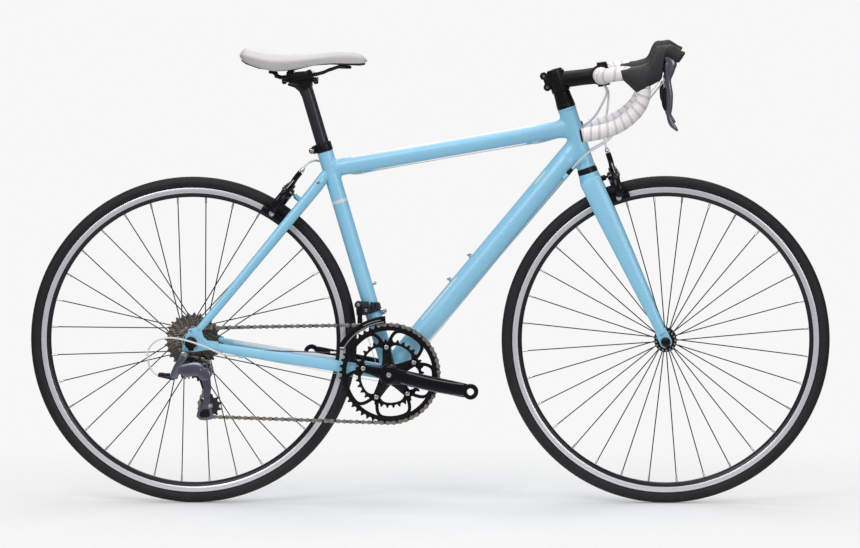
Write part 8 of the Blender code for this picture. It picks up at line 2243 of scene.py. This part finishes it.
class ROADBIKE_OT_fork(bpy.types.Operator):
    """Build the fork"""

    bl_idname = "roadbike.fork"
    bl_label = "Fork"

    def execute(self, context):
        build_fork()
        return {"FINISHED"}


class ROADBIKE_OT_stem(bpy.types.Operator):
    """Build the stem and its faceplate"""

    bl_idname = "roadbike.stem"
    bl_label = "Stem"

    def execute(self, context):
        build_stem()
        return {"FINISHED"}


class ROADBIKE_OT_bar(bpy.types.Operator):
    """Build the handlebar with its end plugs"""

    bl_idname = "roadbike.bar"
    bl_label = "Handlebar"

    def execute(self, context):
        build_bar()
        return {"FINISHED"}


class ROADBIKE_OT_tape(bpy.types.Operator):
    """Wind the bar tape"""

    bl_idname = "roadbike.tape"
    bl_label = "Bar tape"

    def execute(self, context):
        build_tape()
        return {"FINISHED"}


class ROADBIKE_OT_levers(bpy.types.Operator):
    """Build the hoods, brake levers and shift paddles"""

    bl_idname = "roadbike.levers"
    bl_label = "Hoods and levers"

    def execute(self, context):
        build_levers()
        return {"FINISHED"}


class ROADBIKE_OT_saddle(bpy.types.Operator):
    """Build the saddle and seatpost"""

    bl_idname = "roadbike.saddle"
    bl_label = "Saddle and seatpost"

    def execute(self, context):
        build_saddle()
        return {"FINISHED"}


class ROADBIKE_OT_brakes(bpy.types.Operator):
    """Build the four brake arms"""

    bl_idname = "roadbike.brakes"
    bl_label = "Brakes"

    def execute(self, context):
        build_brakes()
        return {"FINISHED"}


class ROADBIKE_OT_chain(bpy.types.Operator):
    """Lay the chain's links along their path"""

    bl_idname = "roadbike.chain"
    bl_label = "Chain"

    def execute(self, context):
        build_chain()
        return {"FINISHED"}


class ROADBIKE_OT_cranks(bpy.types.Operator):
    """Build the cranks and chainrings"""

    bl_idname = "roadbike.cranks"
    bl_label = "Cranks and chainrings"

    def execute(self, context):
        build_chainring()
        build_cranks()
        return {"FINISHED"}


class ROADBIKE_OT_cassette(bpy.types.Operator):
    """Build the cassette's sprockets"""

    bl_idname = "roadbike.cassette"
    bl_label = "Cassette"

    def execute(self, context):
        build_cassette()
        return {"FINISHED"}


class ROADBIKE_OT_gears(bpy.types.Operator):
    """Build the front and rear gear mechs"""

    bl_idname = "roadbike.gears"
    bl_label = "Gear mechs"

    def execute(self, context):
        build_gears()
        return {"FINISHED"}


class ROADBIKE_OT_cables(bpy.types.Operator):
    """Build the four cables"""

    bl_idname = "roadbike.cables"
    bl_label = "Cables"

    def execute(self, context):
        build_cables()
        return {"FINISHED"}


class ROADBIKE_OT_stage(bpy.types.Operator):
    """Set the floor, lamps and camera"""

    bl_idname = "roadbike.stage"
    bl_label = "Stage"

    def execute(self, context):
        build_stage()
        return {"FINISHED"}


OPERATORS = (
    ROADBIKE_OT_tyres, ROADBIKE_OT_rims, ROADBIKE_OT_hubs, ROADBIKE_OT_skewers, ROADBIKE_OT_frame,
    ROADBIKE_OT_fork,
    ROADBIKE_OT_stem, ROADBIKE_OT_bar, ROADBIKE_OT_tape, ROADBIKE_OT_levers, ROADBIKE_OT_saddle,
    ROADBIKE_OT_brakes,
    ROADBIKE_OT_chain, ROADBIKE_OT_cranks, ROADBIKE_OT_cassette, ROADBIKE_OT_gears, ROADBIKE_OT_cables,
    ROADBIKE_OT_stage,
)


class ROADBIKE_PT_panel(bpy.types.Panel):
    """Settings and build steps of the road bike"""

    bl_idname = "ROADBIKE_PT_panel"
    bl_label = "Road bike"
    bl_space_type = "VIEW_3D"
    bl_region_type = "UI"
    bl_category = "Road bike"

    def draw(self, context):
        for name in RoadBikeSettings.__annotations__:
            self.layout.prop(context.scene.road_bike, name)
        for operator in OPERATORS:
            self.layout.operator(operator.bl_idname)


CLASSES = (RoadBikeSettings, *OPERATORS, ROADBIKE_PT_panel)


def register():
    for item in CLASSES:
        bpy.utils.register_class(item)
    bpy.types.Scene.road_bike = bpy.props.PointerProperty(type=RoadBikeSettings)


def unregister():
    del bpy.types.Scene.road_bike
    for item in reversed(CLASSES):
        bpy.utils.unregister_class(item)


def corners():
    return [[round(value, 6) for value in corner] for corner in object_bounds()]


def main():
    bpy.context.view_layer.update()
    register()
    bpy.ops.roadbike.tyres()
    bpy.ops.roadbike.rims()
    bpy.ops.roadbike.hubs()
    bpy.ops.roadbike.skewers()
    bpy.ops.roadbike.frame()
    bpy.ops.roadbike.fork()
    bpy.ops.roadbike.stem()
    bpy.ops.roadbike.bar()
    bpy.ops.roadbike.tape()
    bpy.ops.roadbike.levers()
    bpy.ops.roadbike.saddle()
    bpy.ops.roadbike.brakes()
    bpy.ops.roadbike.chain()
    bpy.ops.roadbike.cranks()
    bpy.ops.roadbike.cassette()
    bpy.ops.roadbike.gears()
    bpy.ops.roadbike.cables()
    bpy.ops.roadbike.stage()


if __name__ == "__main__":
    main()
